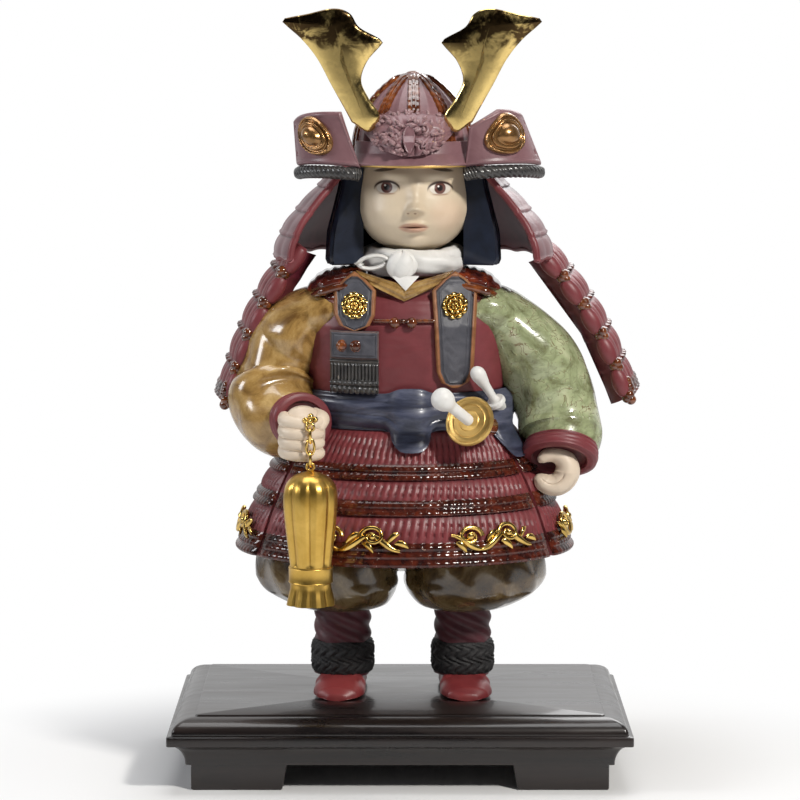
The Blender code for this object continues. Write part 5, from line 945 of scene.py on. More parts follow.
def shoulder_yoke():
    """A corded sheet on the torso's plan, a soft pad over each shoulder and a roll along its front."""
    angle = np.radians(np.linspace(40.0, 320.0, 190))
    rise = np.linspace(-0.0105, 0.0062, 24)
    outer, inner = [], []
    for level in rise:
        half_x, half_y = torso_halves(SHOULDER + level)
        roll = 0.0012 * np.abs(np.sin((level + 0.0105) / 0.0167 * math.pi * 3)) ** 0.6
        twist = 0.0004 * np.abs(np.sin(angle * 34 + level * 900))
        lift = 0.0030 + roll + twist
        outer.append(plan(angle, half_x + lift * 0.6, half_y + lift * 0.6, SHOULDER + level + lift,
                          power=2.3))
        inner.append(plan(angle, half_x, half_y, SHOULDER + level, power=2.3))
    parts = [sheeted(outer, inner)]
    edges = []
    for side in (-1.0, 1.0):
        share = np.linspace(0.0, 1.0, 44)
        x = BODY_X + side * (0.0230 + 0.0400 * share)
        z = SHOULDER + 0.0070 - 0.0010 * share - 0.0105 * share ** 3
        ends = np.clip(np.minimum(share / 0.16, (1 - share) / 0.30), 0.03, 1.0) ** 0.5
        weave = 1.0 + 0.05 * np.sin(share * 52)
        path = np.stack((x, np.full(44, -0.002), z), axis=-1)
        parts.append(closed(tube(path, 0.0350 * ends, 0.0066 * ends * weave, 60, up=(0.0, 0.0, 1.0),
                                 power=2.5)))
        rim = np.stack((x, -0.0335 * ends - 0.0030, z - 0.0035), axis=-1)
        edges.append(closed(tube(rim, 0.0026 * ends, 0.0026 * ends, 18, up=(0.0, 0.3, 1.0))))
    piece("shoulder edge rolls", edges, LOOKS["brown"], (), "maroon_lacing")
    piece("shoulder yoke skin", parts, LOOKS["strap"], ["shoulder_yoke"], "maroon_lacing")


# Sleeves, hands and shoulder guards


RIGHT_PATH = ((-0.0300, 0.000, 0.2930), (-0.0560, 0.001, 0.2880), (-0.0740, 0.000, 0.2680),
              (-0.0800, -0.006, 0.2440), (-0.0745, -0.026, 0.2290), (-0.0640, -0.046, 0.2280))
RIGHT_HALF = ((0.0140, 0.0215, 0.0260, 0.0290, 0.0280, 0.0165),
              (0.0380, 0.0390, 0.0340, 0.0310, 0.0340, 0.0190))
LEFT_PATH = ((0.0360, 0.000, 0.2930), (0.0600, 0.001, 0.2880), (0.0840, 0.000, 0.2650),
             (0.0975, -0.004, 0.2370), (0.1030, -0.012, 0.2180), (0.1020, -0.020, 0.2070))
LEFT_HALF = ((0.0140, 0.0215, 0.0275, 0.0285, 0.0260, 0.0225),
             (0.0380, 0.0390, 0.0320, 0.0290, 0.0250, 0.0220))


def sleeve(side, path, halves, look, slot, folds):
    """A tube along the arm, swollen by sharp-crested waves that slant round it; a rolled cuff at its end."""
    rows, sides = 86, 86
    place = np.linspace(0.0, 5.0, rows)
    widths = [smooth_path(np.stack((np.arange(6.0), half), axis=-1), rows)[:, 1] for half in halves]
    rings = tube(smooth_path(path, rows), widths[0], widths[1], sides, up=(0.0, -1.0, 0.15))
    angle, along = turns(sides)[None], (place / 5.0)[:, None]
    bend = folds * TAU * along + 1.3 * np.sin(angle + 1.0) + 0.4
    wave = np.sin(bend) * 0.0014 + 0.0009 * np.sin(2 * angle + 9 * along)
    strength = 0.25 + 0.75 * step(np.sin(angle * 2 + 4 * along + folds), -0.4, 0.9)
    crease = 0.0026 * strength * np.abs(np.sin(bend * 0.75 + 0.6 * np.sin(2 * angle + 2.0))) ** 0.8 - 0.0013
    small = 0.0005 * np.sin(17 * along + 2 * np.sin(3 * angle)) + 0.0004 * np.sin(5 * angle + 13 * along)
    fade = np.sin(np.clip(along, 0.05, 0.95) * math.pi) ** 0.8
    middle = rings.mean(axis=1, keepdims=True)
    swell = 1 + (wave + crease + small) * fade / 0.028
    rings = middle + (rings - middle) * swell[..., None]
    piece("sleeve skin " + side, [closed(rings)], LOOKS[look], ["sleeve_" + side], slot)
    finish = rings[-1].mean(axis=0)
    ahead = finish - rings[-6].mean(axis=0)
    ahead /= np.linalg.norm(ahead)
    level = np.linspace(-0.15, 1.0, 40)
    roll = 1.02 + 0.055 * np.sin(np.clip(level, 0.0, 1.0) * math.pi) ** 0.5 \
        + 0.02 * np.abs(np.sin(level * math.pi * 2.5)) - 0.10 * step(level, 0.9, 1.0)
    cuff = [finish + (rings[-1] - finish) * share + ahead * 0.0090 * at for at, share in zip(level, roll)]
    cuff.append(finish + (rings[-1] - finish) * 0.80 + ahead * 0.0086)
    cuff.append(finish + (rings[-1] - finish) * 0.76 + ahead * 0.0060)
    piece("cuff " + side, [closed(cuff)], LOOKS["maroon"], (), slot)


def finger(points, widths, sides=36, count=44):
    """A round tapering finger along a smooth path, its tip closed by a rounded end."""
    line = smooth_path(points, count)
    place = np.linspace(0.0, 1.0, count)
    width = np.interp(place, np.linspace(0.0, 1.0, len(widths)), widths)
    width = width * np.clip((1.0 - place) / 0.10, 0.02, 1.0) ** 0.5
    return closed(tube(line, width, width, sides, up=(0.3, 0.2, 1.0)))


def right_hand():
    """A fist: a swollen palm, four curled fingers side by side and a thumb laid over them."""
    wrist = np.array((-0.063, -0.050, 0.229))
    line = smooth_path([wrist, (-0.061, -0.0552, 0.2265), (-0.0600, -0.0690, 0.2235),
                        (-0.0590, -0.0830, 0.2200)], 70)
    place = np.linspace(0, 3, 70)
    half_u = np.interp(place, (0, 1, 2, 2.6, 3), (0.0095, 0.0118, 0.0138, 0.0115, 0.0040))
    half_v = np.interp(place, (0, 1, 2, 2.6, 3), (0.0100, 0.0130, 0.0172, 0.0140, 0.0050))
    parts = [closed(tube(line, half_u, half_v, 90, power=2.2))]
    for number in range(4):
        z = 0.2330 - number * 0.0064
        reach = 0.0012 * math.sin(number * 1.2)
        parts.append(finger([(-0.0715, -0.0690, z), (-0.0700, -0.0810 - reach, z - 0.001),
                             (-0.0600, -0.0862 - reach, z - 0.002), (-0.0510, -0.0810, z - 0.002),
                             (-0.0495, -0.0730, z - 0.001)], (0.0040, 0.0044, 0.0042, 0.0039, 0.0034)))
    parts.append(finger([(-0.0530, -0.0600, 0.2335), (-0.0480, -0.0740, 0.2325),
                         (-0.0515, -0.0835, 0.2265)],
                        (0.0046, 0.0046, 0.0038)))
    piece("fist skin", parts, LOOKS["skin"], ["hand_right"], "skin")


def left_hand():
    """A hand curled round an empty grip: a thick bent tube, with finger creases as rings round it."""
    centre = np.array((0.0965, -0.0310, 0.1945))
    count = 110
    share = np.linspace(0.0, 1.0, count)
    turn = np.radians(150.0 - 312.0 * share)
    ring = np.stack((centre[0] + 0.0096 * np.cos(turn), centre[1] + 0.004 * np.sin(share * math.pi),
                     centre[2] + 0.0098 * np.sin(turn)), axis=-1)
    half = np.interp(share, (0.0, 0.03, 0.10, 0.30, 0.50, 0.72, 0.92, 0.98, 1.0),
                     (0.10, 0.42, 0.62, 0.90, 1.20, 1.10, 0.80, 0.5, 0.1)) * 0.0068
    angle = turns(64)
    base = tube(ring, half, half * 1.25, 64, up=(0.0, -1.0, 0.0))
    middle = base.mean(axis=1, keepdims=True)
    finger_lines = 1 - 0.10 * hill(np.sin(2.5 * angle), 0.0, 0.22)[None] * step(share, 0.45, 0.6)[:, None]
    piece("curled hand skin", [closed(middle + (base - middle) * finger_lines[..., None])], LOOKS["skin"],
          ["hand_left"], "skin")


def shoulder_guard(side, top, end):
    """Five puffed lames over cord knots and a cord hem; rolls, knots and a thin plate along the front."""
    top, end = np.array(top), np.array(end)
    slope = end - top
    length = np.linalg.norm(slope)
    ahead = slope / length
    outward = np.array([-ahead[1], ahead[0]]) * math.copysign(1.0, top[0])
    share = np.linspace(0.0, 1.0, 96)[None]
    place = np.linspace(0.004, 0.996, 116)[:, None]
    local = (place * GUARD_LAMES) % 1.0
    lame = np.floor(place * GUARD_LAMES)
    y = -0.0120 + share * 0.078 + 0 * place
    bow = 0.0085 * (1 - (2 * share - 1) ** 2)
    ridge = np.abs(np.cos(math.pi * share * 9)) ** 0.6
    knots = hill(local, 0.93, 0.075, 4)
    puff = np.sin(np.clip(local / 0.86, 0.0, 1.0) * math.pi) ** 0.55
    cord = np.clip(knots * 1.15, 0.0, 1.0) * np.ones_like(share)
    cord = np.where(lame == 4, np.maximum(cord, step(local, 0.52, 0.60) * np.ones_like(share)), cord)
    bead = np.abs(np.cos(math.pi * share * 9)) ** 0.8
    hem = (lame == 4) * step(local, 0.52, 0.62)
    lift = (0.0021 + 0.0024 * puff * (0.55 + 0.45 * ridge) * (1 - hem)
            + 0.0030 * knots * (0.35 + 0.65 * bead) * (1 - hem)
            + hem * (0.0022 + 0.0014 * np.abs(np.sin(local * 21)) ** 0.5 * (0.4 + 0.6 * bead)))
    lift = bow + lift + GUARD_SAG * np.sin(place * math.pi) - 0.0006
    point = top + ahead * length * place
    outer = np.stack((point[:, :1] + outward[0] * lift, y, point[:, 1:] + outward[1] * lift), axis=-1)
    seam = 0.0006 * hill(local, 0.0, 0.08) + 0.0006 * hill(local, 1.0, 0.08)
    back = bow - 0.0021 + seam + GUARD_SAG * np.sin(place * math.pi)
    inner = np.stack((point[:, :1] + outward[0] * back, y, point[:, 1:] + outward[1] * back), axis=-1)
    paint = np.concatenate((cord.ravel(), (0.8 * hem * np.ones_like(share)).ravel()))
    piece("shoulder guard skin " + side, [sheeted(outer, inner)], LOOKS["lacing"],
          ["shoulder_guard_" + side], "maroon_lacing", paint={"cord": paint})
    parts, knot_parts = [], []
    for number in range(GUARD_LAMES):
        start, finish = (number + 0.04) / GUARD_LAMES, (number + 0.84) / GUARD_LAMES
        path = []
        for at in np.linspace(start, finish, 24):
            at_point = top + ahead * length * at
            rise = 0.0009 + GUARD_SAG * math.sin(at * math.pi)
            path.append((at_point[0] + outward[0] * rise, -0.0118, at_point[1] + outward[1] * rise))
        swell = 0.0028 + 0.0026 * np.sin(np.linspace(0.0, 1.0, 24) * math.pi) ** 0.6
        parts.append(closed(tube(path, swell, swell * 0.9, 28, up=(0.0, 1.0, 0.0))))
        at_point = top + ahead * length * (number + 0.93) / GUARD_LAMES
        rise = 0.0014 + GUARD_SAG * math.sin((number + 0.93) / GUARD_LAMES * math.pi)
        centre = np.array((at_point[0] + outward[0] * rise, -0.0122, at_point[1] + outward[1] * rise))
        for shift in ((0.0, 0.0, 0.0), (0.0016, 0.0004, 0.0022), (0.0022, -0.0006, -0.0012)):
            knot_parts.append(ball(centre + np.array((outward[0], 0.0, outward[1])) * shift[0]
                                   + np.array((ahead[0], 0.0, ahead[1])) * shift[2] + (0, shift[1], 0),
                                   0.0034, rows=10, sides=14))
    for number in range(14):
        at = 0.90 + 0.016 * (number % 5)
        at_point = top + ahead * length * at
        rise = 0.0010 + GUARD_SAG * math.sin(at * math.pi) + 0.0021 * (number // 5)
        knot_parts.append(ball((at_point[0] + outward[0] * rise, -0.0118 + 0.0004 * (number % 3),
                                at_point[1] + outward[1] * rise), 0.0031, rows=9, sides=12))
    place = np.linspace(0.02, 0.985, 90)[:, None]
    inward = np.linspace(0.0, 1.0, 12)[None]
    rise = (0.0002 + GUARD_SAG * np.sin(place * math.pi) - 0.0090 * inward
            - 0.0006 * hill((place * GUARD_LAMES) % 1.0, 0.93, 0.09, 4))
    point = top + ahead * length * place
    faces = []
    for depth in (0.0, 0.0012):
        y = -0.0105 + 0.0105 * inward ** 2 + depth + 0.0004 * np.cos(place * GUARD_LAMES * TAU)
        faces.append(np.stack(np.broadcast_arrays(point[:, :1] + outward[0] * rise, y,
                                                  point[:, 1:] + outward[1] * rise), axis=-1))
    flange = sheeted(faces[0], faces[1])
    piece("guard inner plates " + side, [flange], LOOKS["lining"], (), "maroon_lacing")
    piece("guard edge rolls " + side, parts, LOOKS["maroon"], (), "maroon_lacing")
    piece("guard cord knots " + side, knot_parts, LOOKS["brown"], (), "maroon_lacing")


# Head, hair and scarf


def oval(tree, x, z, centre, halves, soft, power=2.0):
    """A mask of a soft-edged oval: |dx/a|^p + |dz/b|^p, one inside, spread over soft."""
    across = maths(tree, "DIVIDE", maths(tree, "SUBTRACT", x, centre[0]), halves[0])
    above = maths(tree, "DIVIDE", maths(tree, "SUBTRACT", z, centre[1]), halves[1])
    total = maths(tree, "ADD", maths(tree, "POWER", maths(tree, "ABSOLUTE", across), power),
                  maths(tree, "POWER", maths(tree, "ABSOLUTE", above), power))
    spread = node(tree, "MapRange", {"interpolation_type": "SMOOTHSTEP"}, Value=total, From_Min=1.0 + soft,
                  From_Max=1.0 - soft)
    return spread.outputs["Result"]


def face_paint(tree, shader):
    """Cream bisque; painted whites, irises, pupils, lids and brows as ovals of x and z, tinted lips, painted
    shade round the eyes, in the nostrils and in hollows, and a painted catchlight in each eye.
    """
    place = node(tree, "SeparateXYZ", Vector=node(tree, "TexCoord").outputs["Object"])
    x, y, z = place.outputs
    front = maths(tree, "LESS_THAN", y, -0.020)
    cloud = use(tree, "mottle", Patch=30.0, Speck=1200.0)
    tone = ramp(tree, cloud["Patches"], [(0.30, (0.600, 0.490, 0.350)), (0.70, (0.680, 0.570, 0.425))])
    blush = oval(tree, x, z, (0.0275, 0.3565), (0.0105, 0.0095), 0.9)
    tone = blend(tree, maths(tree, "MULTIPLY", blush, 0.18), tone, (0.74, 0.40, 0.28))
    for centre_x, centre_z, side in ((-0.0101, 0.3735, -1.0), (0.0231, 0.3729, 1.0)):
        def painted_oval(dx, dz, half_x, half_z, soft, colour, strength, power=2.0):
            nonlocal tone
            mask = oval(tree, x, z, (centre_x + dx, centre_z + dz), (half_x, half_z), soft, power)
            tone = blend(tree, maths(tree, "MULTIPLY", maths(tree, "MULTIPLY", mask, strength), front),
                         tone, colour)
        # painted shade: a soft brown oval round the eye socket
        painted_oval(0.0, 0.0005, 0.0074, 0.0048, 0.40, (0.26, 0.16, 0.10), 0.50)
        painted_oval(0.0, -0.0002, 0.0065, 0.0034, 0.14, (0.62, 0.57, 0.50), 0.95)
        painted_oval(-0.0002, 0.0002, 0.0036, 0.0036, 0.18, (0.105, 0.032, 0.022), 1.0)
        painted_oval(-0.0002, 0.0003, 0.0018, 0.0019, 0.25, (0.008, 0.004, 0.004), 1.0)
        # painted catchlight: a small white highlight in the eye
        painted_oval(-0.0012, 0.0013, 0.0006, 0.0006, 0.5, (0.95, 0.92, 0.88), 0.9)
        painted_oval(0.0, -0.0037, 0.0050, 0.0006, 0.6, (0.30, 0.15, 0.10), 0.55)
        lid = maths(tree, "MULTIPLY",
                    oval(tree, x, z, (centre_x, centre_z - 0.0004), (0.0080, 0.0050), 0.16),
                    maths(tree, "SUBTRACT", 1.0,
                          oval(tree, x, z, (centre_x, centre_z - 0.0019), (0.0079, 0.0050),
                                                     0.16)))
        tone = blend(tree, maths(tree, "MULTIPLY", lid, front), tone, (0.030, 0.012, 0.008))
        slant = maths(tree, "ADD", z,
                      maths(tree, "MULTIPLY", maths(tree, "SUBTRACT", x, centre_x), 0.16 * side))
        brow = oval(tree, x, slant, (centre_x + 0.0006 * side, 0.3848), (0.0074, 0.0011), 0.45)
        tone = blend(tree, maths(tree, "MULTIPLY", maths(tree, "MULTIPLY", brow, 0.85), front), tone,
                     (0.045, 0.028, 0.018))
    lips = oval(tree, x, z, (0.0064, 0.3487), (0.0088, 0.0031), 0.35)
    tone = blend(tree, maths(tree, "MULTIPLY", maths(tree, "MULTIPLY", lips, 0.62), front), tone,
                 (0.44, 0.185, 0.120))
    line = oval(tree, x, z, (0.0064, 0.3490), (0.0086, 0.00050), 0.7)
    tone = blend(tree, maths(tree, "MULTIPLY", maths(tree, "MULTIPLY", line, 0.8), front), tone,
                 (0.20, 0.060, 0.040))
    # painted shade in the nostrils
    for shift in (-0.0022, 0.0022):
        nostril = oval(tree, x, z, (0.0052 + shift, 0.3578), (0.0009, 0.0006), 0.6)
        tone = blend(tree, maths(tree, "MULTIPLY", maths(tree, "MULTIPLY", nostril, 0.7), front), tone,
                     (0.20, 0.10, 0.06))
    # painted shade in the face's hollows
    dark = painted_hollow_shade(tree, 0.6, 0.40, 0.49)
    tree.links.new(blend(tree, dark, tone, (0.30, 0.16, 0.09)), shader.inputs["Base Color"])


def head():
    """Rings of a child's head: width by height; nose, lips, chin, cheeks and eye hollows as hills."""
    rows, sides = 108, 128
    level = np.linspace(0.0, 1.0, rows)
    knots = np.array([(0.0, 0.36), (0.03, 0.52), (0.09, 0.69), (0.17, 0.83), (0.28, 0.95), (0.42, 1.015),
                      (0.60, 1.010), (0.80, 0.965), (1.0, 0.90)])
    share = np.interp(level, knots[:, 0], knots[:, 1])
    window = np.hanning(17) / np.hanning(17).sum()
    share[9:-9] = np.convolve(share, window, "same")[9:-9]
    angle = turns(sides)[None]
    folded = (angle + math.pi) % TAU - math.pi - 0.03
    side = np.abs(folded)
    up = level[:, None]
    nose = (0.0072 * hill(up, 0.475, 0.050) + 0.0040 * hill(up, 0.60, 0.12)) * hill(folded, 0.0, 0.105)
    wings = 0.0030 * hill(up, 0.445, 0.035) * hill(side, 0.10, 0.055)
    upper = 0.0030 * hill(up, 0.305, 0.026) * hill(folded, 0.0, 0.16, 3)
    lower = 0.0034 * hill(up, 0.238, 0.030) * hill(folded, 0.0, 0.14, 3)
    parting = -0.0016 * hill(up, 0.270, 0.010) * hill(folded, 0.0, 0.19, 4)
    groove = -0.0006 * hill(up, 0.36, 0.030) * hill(folded, 0.0, 0.030)
    chin = 0.0030 * hill(up, 0.085, 0.065) * hill(folded, 0.0, 0.30)
    under = -0.0012 * hill(up, 0.185, 0.025) * hill(folded, 0.0, 0.20)
    hollow = -0.0030 * hill(up, 0.69, 0.075) * hill(side, 0.42, 0.20)
    ball_of_eye = 0.0022 * hill(up, 0.685, 0.045) * hill(side, 0.40, 0.115)
    lid = 0.0006 * hill(up, 0.735, 0.012) * hill(side, 0.40, 0.13, 4)
    cheek = 0.0020 * hill(up, 0.38, 0.16) * hill(side, 0.62, 0.28)
    brow = 0.0010 * hill(up, 0.82, 0.05) * hill(side, 0.40, 0.26)
    out = (nose + wings + upper + lower + parting + groove + chin + under + hollow + ball_of_eye
           + lid + cheek + brow)
    rings = []
    for row in range(rows):
        centre = (HEAD_X, HEAD_Y - 0.004 * (1 - level[row]))
        ring = plan(angle[0], HEAD_HALF_X * share[row], HEAD_HALF_Y * share[row], CHIN + level[row] * 0.059,
                    centre=centre)
        rings.append(ring + plan(angle[0], 1.0, 1.0, 0.0, centre=(0.0, 0.0)) * out[row][:, None])
    neck = [plan(angle[0], 0.020, 0.020, z, centre=(HEAD_X, -0.002)) for z in np.linspace(0.3155, 0.330, 5)]
    skin = surface("bisque face", (0.70, 0.58, 0.45), 0.42, grain=(1400.0, 0.05, 0.0003), build=face_paint)
    piece("head skin", [closed(neck + rings)], skin, ["head"], "skin")


def hair():
    """Straight strands: fine and coarse waves of the angle on the head's plan, cut level at the foot."""
    angle = np.radians(np.linspace(68.0, 292.0, 270))
    rows = np.linspace(0.0, 1.0, 26)
    outer, inner = [], []
    for level in rows:
        z = RIM - 0.0004 - level * (RIM - CHIN + 0.008)
        swell = np.interp(level, (0.0, 0.3, 0.7, 1.0), (-0.001, 0.003, 0.010, 0.0115))
        strands = (0.0007 * np.abs(np.sin(angle * 30 + 2.0 * level)) ** 0.7
                   + 0.0006 * np.sin(angle * 73 + 3 * level + 1.0) + 0.0004 * np.sin(angle * 101))
        out = 0.0080 + swell + strands - 0.0030 * hill(level, 1.03, 0.035)
        z = z + 0.0010 * np.sin(angle * 61) * level ** 6
        outer.append(plan(angle, HEAD_HALF_X + out, HEAD_HALF_Y + out, z, centre=(HEAD_X, HEAD_Y)))
        inner.append(plan(angle, 0.0340, 0.0385, z, centre=(HEAD_X, HEAD_Y - 0.002)))
    piece("hair skin", [sheeted(outer, inner)], LOOKS["hair"], ["hair"], "black_hair")


def scarf():
    """A wound scarf: a ring whose section is a soft lobe with fold waves, a front knot and a loose loop."""
    angle = turns(160)
    loops = []
    for part in np.linspace(0.0, TAU, 40)[:-1]:
        fold = 0.0011 * np.sin(3 * angle + 2 * part) + 0.0010 * np.abs(np.sin(2 * angle + 3 * part)) \
            + 0.0005 * np.sin(11 * angle + part * 2)
        reach = 0.0272 + (0.0058 + fold) * np.cos(part)
        z = CHIN - 0.0072 + (0.0082 + 0.4 * fold) * np.sin(part) + 0.0012 * (1 - np.cos(angle))
        loops.append(plan(angle, reach, reach, z, centre=(HEAD_X, -0.0065)))
    parts = [closed(loops, loop=True)]
    tip = np.linspace(0.03, math.pi - 0.03, 40)[:, None]
    around = turns(60)[None]
    pinch = (1 + 0.13 * np.abs(np.sin(2.5 * around + 1.2 * tip))
             - 0.10 * hill(np.cos(around + 0.4), 1.0, 0.02))
    knot = np.stack((np.sin(tip) * np.cos(around) * 0.0088 * pinch,
                     np.sin(tip) * np.sin(around) * 0.0062 * pinch,
                     np.cos(tip) * 0.0086 * pinch), axis=-1)
    parts.append(closed(knot + np.array((HEAD_X - 0.0075, -0.0400, CHIN - 0.0080))))
    turn = np.linspace(0.25, TAU - 0.25, 70)
    path = np.stack((-0.0125 - 0.0085 + 0.0085 * np.cos(turn) + 0.004, -0.0375 - 0.001 * np.sin(turn),
                     CHIN - 0.0062 + 0.0040 * np.sin(turn) + 0.0010 * np.cos(turn)), axis=-1)
    parts.append(closed(tube(path, 0.0034, 0.0013, 30, up=(0.0, 0.0001, 1.0))))
    piece("scarf skin", parts, LOOKS["white"], ["scarf"], "white_bisque")


# Helmet


def bowl_share(level):
    """Share of the bowl's half width at a share of its height."""
    return np.cos(np.clip(level, 0.0, 1.0) ** 1.25 * math.pi / 2 * 0.97) ** 0.72


def bowl_point(phi, level, out):
    """A point of the bowl at an angle from the front, a share of its height and a distance out."""
    share = bowl_share(level)
    return plan(phi, BOWL_HALF_X * share + out, BOWL_HALF_Y * share + out, RIM + level * BOWL_HEIGHT,
                centre=(HEAD_X, 0.0))


def helmet_bowl():
    """The dome, and ten low glazed bands from crown to rim, each with three beaded lines and a cap."""
    angle = turns(160)
    level = np.concatenate((np.linspace(0.0, 0.9, 48), 1 - 0.1 * np.linspace(1.0, 0.02, 24)[1:] ** 2))
    rings = [bowl_point(angle, at, 0.0010 * np.abs(np.cos(angle * 10)) ** 6 * min(1.0, (1 - at) * 8))
             for at in level]
    piece("helmet bowl skin", [closed(rings)], LOOKS["mauve"], ["helmet_bowl"], "mauve_bisque")
    parts = []
    for number in range(10):
        phi = number * TAU / 10
        at = np.linspace(0.02, 0.985, 72)
        path = bowl_point(np.full(72, phi), at, 0.0002)
        up = (math.sin(phi), -math.cos(phi), 0.7)
        ends = np.clip((0.985 - at) / 0.05, 0.2, 1.0)
        swell = 0.0034 - 0.0014 * at
        parts.append(closed(tube(path, swell, 0.0012 * ends, 8, up=up, power=3.0)))
        beads = 0.0010 + 0.0005 * np.abs(np.sin(at * 44)) ** 0.6
        for shift in (-1.0, 1.0):
            beside = path + shift * swell[:, None] * np.array((math.cos(phi), math.sin(phi), 0.0))
            parts.append(closed(tube(beside, beads, beads * ends, 6, up=up)))
        parts.append(closed(tube(path, beads * 0.9, (beads + 0.0009) * ends, 6, up=up)))
    parts.append(ball((HEAD_X, 0.0, RIM + 0.0512), 0.0050, (1.0, 1.1, 0.42)))
    piece("helmet ribs", parts, LOOKS["brown"], (), "mauve_bisque")


def helmet_visor():
    """The brim: a sheet that leaves the bowl and drops over the brow; its rolled edge is gold-brown."""
    span = math.radians(121.0)
    angle = np.linspace(-span / 2, span / 2, 110)
    fade = np.cos(angle / span * math.pi) ** 0.5
    level = np.linspace(0.0, 1.0, 60)
    reach = np.interp(level, (0.0, 0.48, 0.84, 0.92, 1.0), (0.002, 0.0055, 0.0100, 0.0108, 0.0102))
    z = RIM + 0.010 - level * 0.0152
    outer, inner = [], []
    for row in range(60):
        out = 0.0031 + reach[row] * fade + 0.0007 * hill(level[row], 0.93, 0.05)
        sink = 0.0034 - 0.0006 * hill(level[row], 1.0, 0.05)
        outer.append(plan(angle, BOWL_HALF_X + out, BOWL_HALF_Y + out, z[row], centre=(HEAD_X, 0.0)))
        inner.append(plan(angle, BOWL_HALF_X + out - sink, BOWL_HALF_Y + out - sink, z[row],
                          centre=(HEAD_X, 0.0)))
    piece("helmet visor skin", [sheeted(outer, inner)], LOOKS["mauve"], ["helmet_visor"], "mauve_bisque")
    out = 0.0134 * fade - 0.0004
    line = plan(angle, BOWL_HALF_X + out, BOWL_HALF_Y + out, np.full(110, RIM - 0.0046),
                centre=(HEAD_X, 0.0))
    piece("visor edge", [closed(tube(line, 0.0016, 0.0012, 24))], LOOKS["matt_gold"], (), "mauve_bisque")


def helmet_crest():
    """Carved foliage on the brow: leaves as ridged spirals round a shield, and small scattered leaves."""
    across = np.linspace(-1.0, 1.0, 140)[None]
    rise = np.linspace(0.0, 1.0, 80)[:, None]
    half = 0.030 * (0.55 + 0.45 * np.sin(np.minimum(1.0, rise * 1.25) * math.pi / 2))
    x = HEAD_X - 0.003 + across * half
    z = RIM + 0.0015 + rise * 0.0285 * (1 - 0.30 * across ** 2) + 0.004 * across ** 2
    level = (z - RIM) / BOWL_HEIGHT
    stand = np.interp(z, (RIM, RIM + 0.0020, RIM + 0.0102, RIM + 0.0140), (0.0116, 0.0094, 0.0068, 0.0025))
    share = np.where(z < RIM + 0.0102, 1.0, bowl_share(level))
    half_x, half_y = BOWL_HALF_X * share + stand, BOWL_HALF_Y * share + stand
    ground = -half_y * np.sqrt(np.clip(1 - ((x - HEAD_X) / half_x) ** 2, 0.04, 1.0))
    edge = (1 - across ** 6) * np.sin(np.minimum(1.0, 0.15 + rise * 0.95) * math.pi) ** 0.5
    leaf = np.zeros_like(x)
    for centre_x, centre_z, size, way in ((-0.62, 0.40, 0.30, 1), (-0.30, 0.66, 0.30, -1),
                                          (-0.78, 0.78, 0.24, 1), (0.62, 0.40, 0.30, -1),
                                          (0.30, 0.66, 0.30, 1), (0.78, 0.78, 0.24, -1),
                                          (-0.42, 0.18, 0.24, -1), (0.42, 0.18, 0.24, 1),
                                          (0.0, 0.88, 0.22, 1)):
        dx, dz = (across - centre_x), (rise - centre_z) * 0.8
        distance = np.hypot(dx, dz)
        turn = np.arctan2(dz, dx)
        curl = np.abs(np.sin(turn * 1.5 * way + distance * 16.0)) ** 0.6
        bump = np.clip(1 - distance / size, 0.0, 1.0) ** 0.5 * (0.45 + 0.55 * curl)
        leaf = np.maximum(leaf, bump)
    shield = step(1.0 - np.hypot(across / 0.15, (rise - 0.36) / 0.30), -0.1, 0.12)
    shield_rim = hill(np.hypot(across / 0.15, (rise - 0.36) / 0.30), 1.0, 0.10)
    carved = np.maximum(leaf * (1 - shield), 0.75 * shield + 0.3 * shield_rim)
    lift = 0.0010 + (0.0028 + 0.0044 * carved) * edge
    notch = 0.0022 * np.abs(np.sin(across * 9.0 + 0.5)) * (rise > 0.93)
    front = np.stack((x, ground - lift, z - notch), axis=-1)
    back = np.stack((x, ground, z - notch), axis=-1)
    parts = [sheeted(front, back)]
    chance = np.random.default_rng(5)
    for _ in range(120):
        u, v = chance.uniform(-0.96, 0.96), chance.uniform(0.06, 0.97)
        if np.hypot(u / 0.16, (v - 0.36) / 0.30) < 1.0:
            continue
        row, column = int(v * 79), int((u + 1) / 2 * 139)
        at = front[row, column] + (0.0, 0.0004, 0.0)
        turn = math.atan2(v - 0.36, u * 1.4) + chance.uniform(-0.9, 0.9)
        reach = chance.uniform(0.0030, 0.0052)
        along = np.linspace(-0.5, 0.5, 12)
        bend = chance.uniform(-0.0016, 0.0016)
        x = at[0] + reach * along * math.cos(turn) - bend * np.cos(along * 3) * math.sin(turn)
        z = at[2] + reach * along * math.sin(turn) + bend * np.cos(along * 3) * math.cos(turn)
        y = at[1] + 26.0 * (x - at[0]) * (at[0] - HEAD_X) - 0.0011 * np.cos(along * 3) + 0.0003
        swell = 0.0012 * np.clip(np.cos(along * 2.9), 0.08, 1.0) ** 0.7
        parts.append(closed(tube(np.stack((x, y, z), axis=-1), swell, swell, 7, up=(0.0, -1.0, 0.05))))
    piece("helmet crest skin", parts, LOOKS["mauve"], ["helmet_crest"], "mauve_bisque")


HORN_OUTLINE = ((-0.0300, 0.0150), (-0.0190, 0.0090), (-0.0125, 0.0185), (-0.0195, 0.0300),
                (-0.0240, 0.0410), (-0.0200, 0.0530), (-0.0105, 0.0640), (-0.0125, 0.0665),
                (-0.0250, 0.0735), (-0.0310, 0.0820), (-0.0410, 0.0850), (-0.0580, 0.0815),
                (-0.0710, 0.0790), (-0.0725, 0.0768), (-0.0605, 0.0660), (-0.0510, 0.0540),
                (-0.0425, 0.0380), (-0.0350, 0.0245))


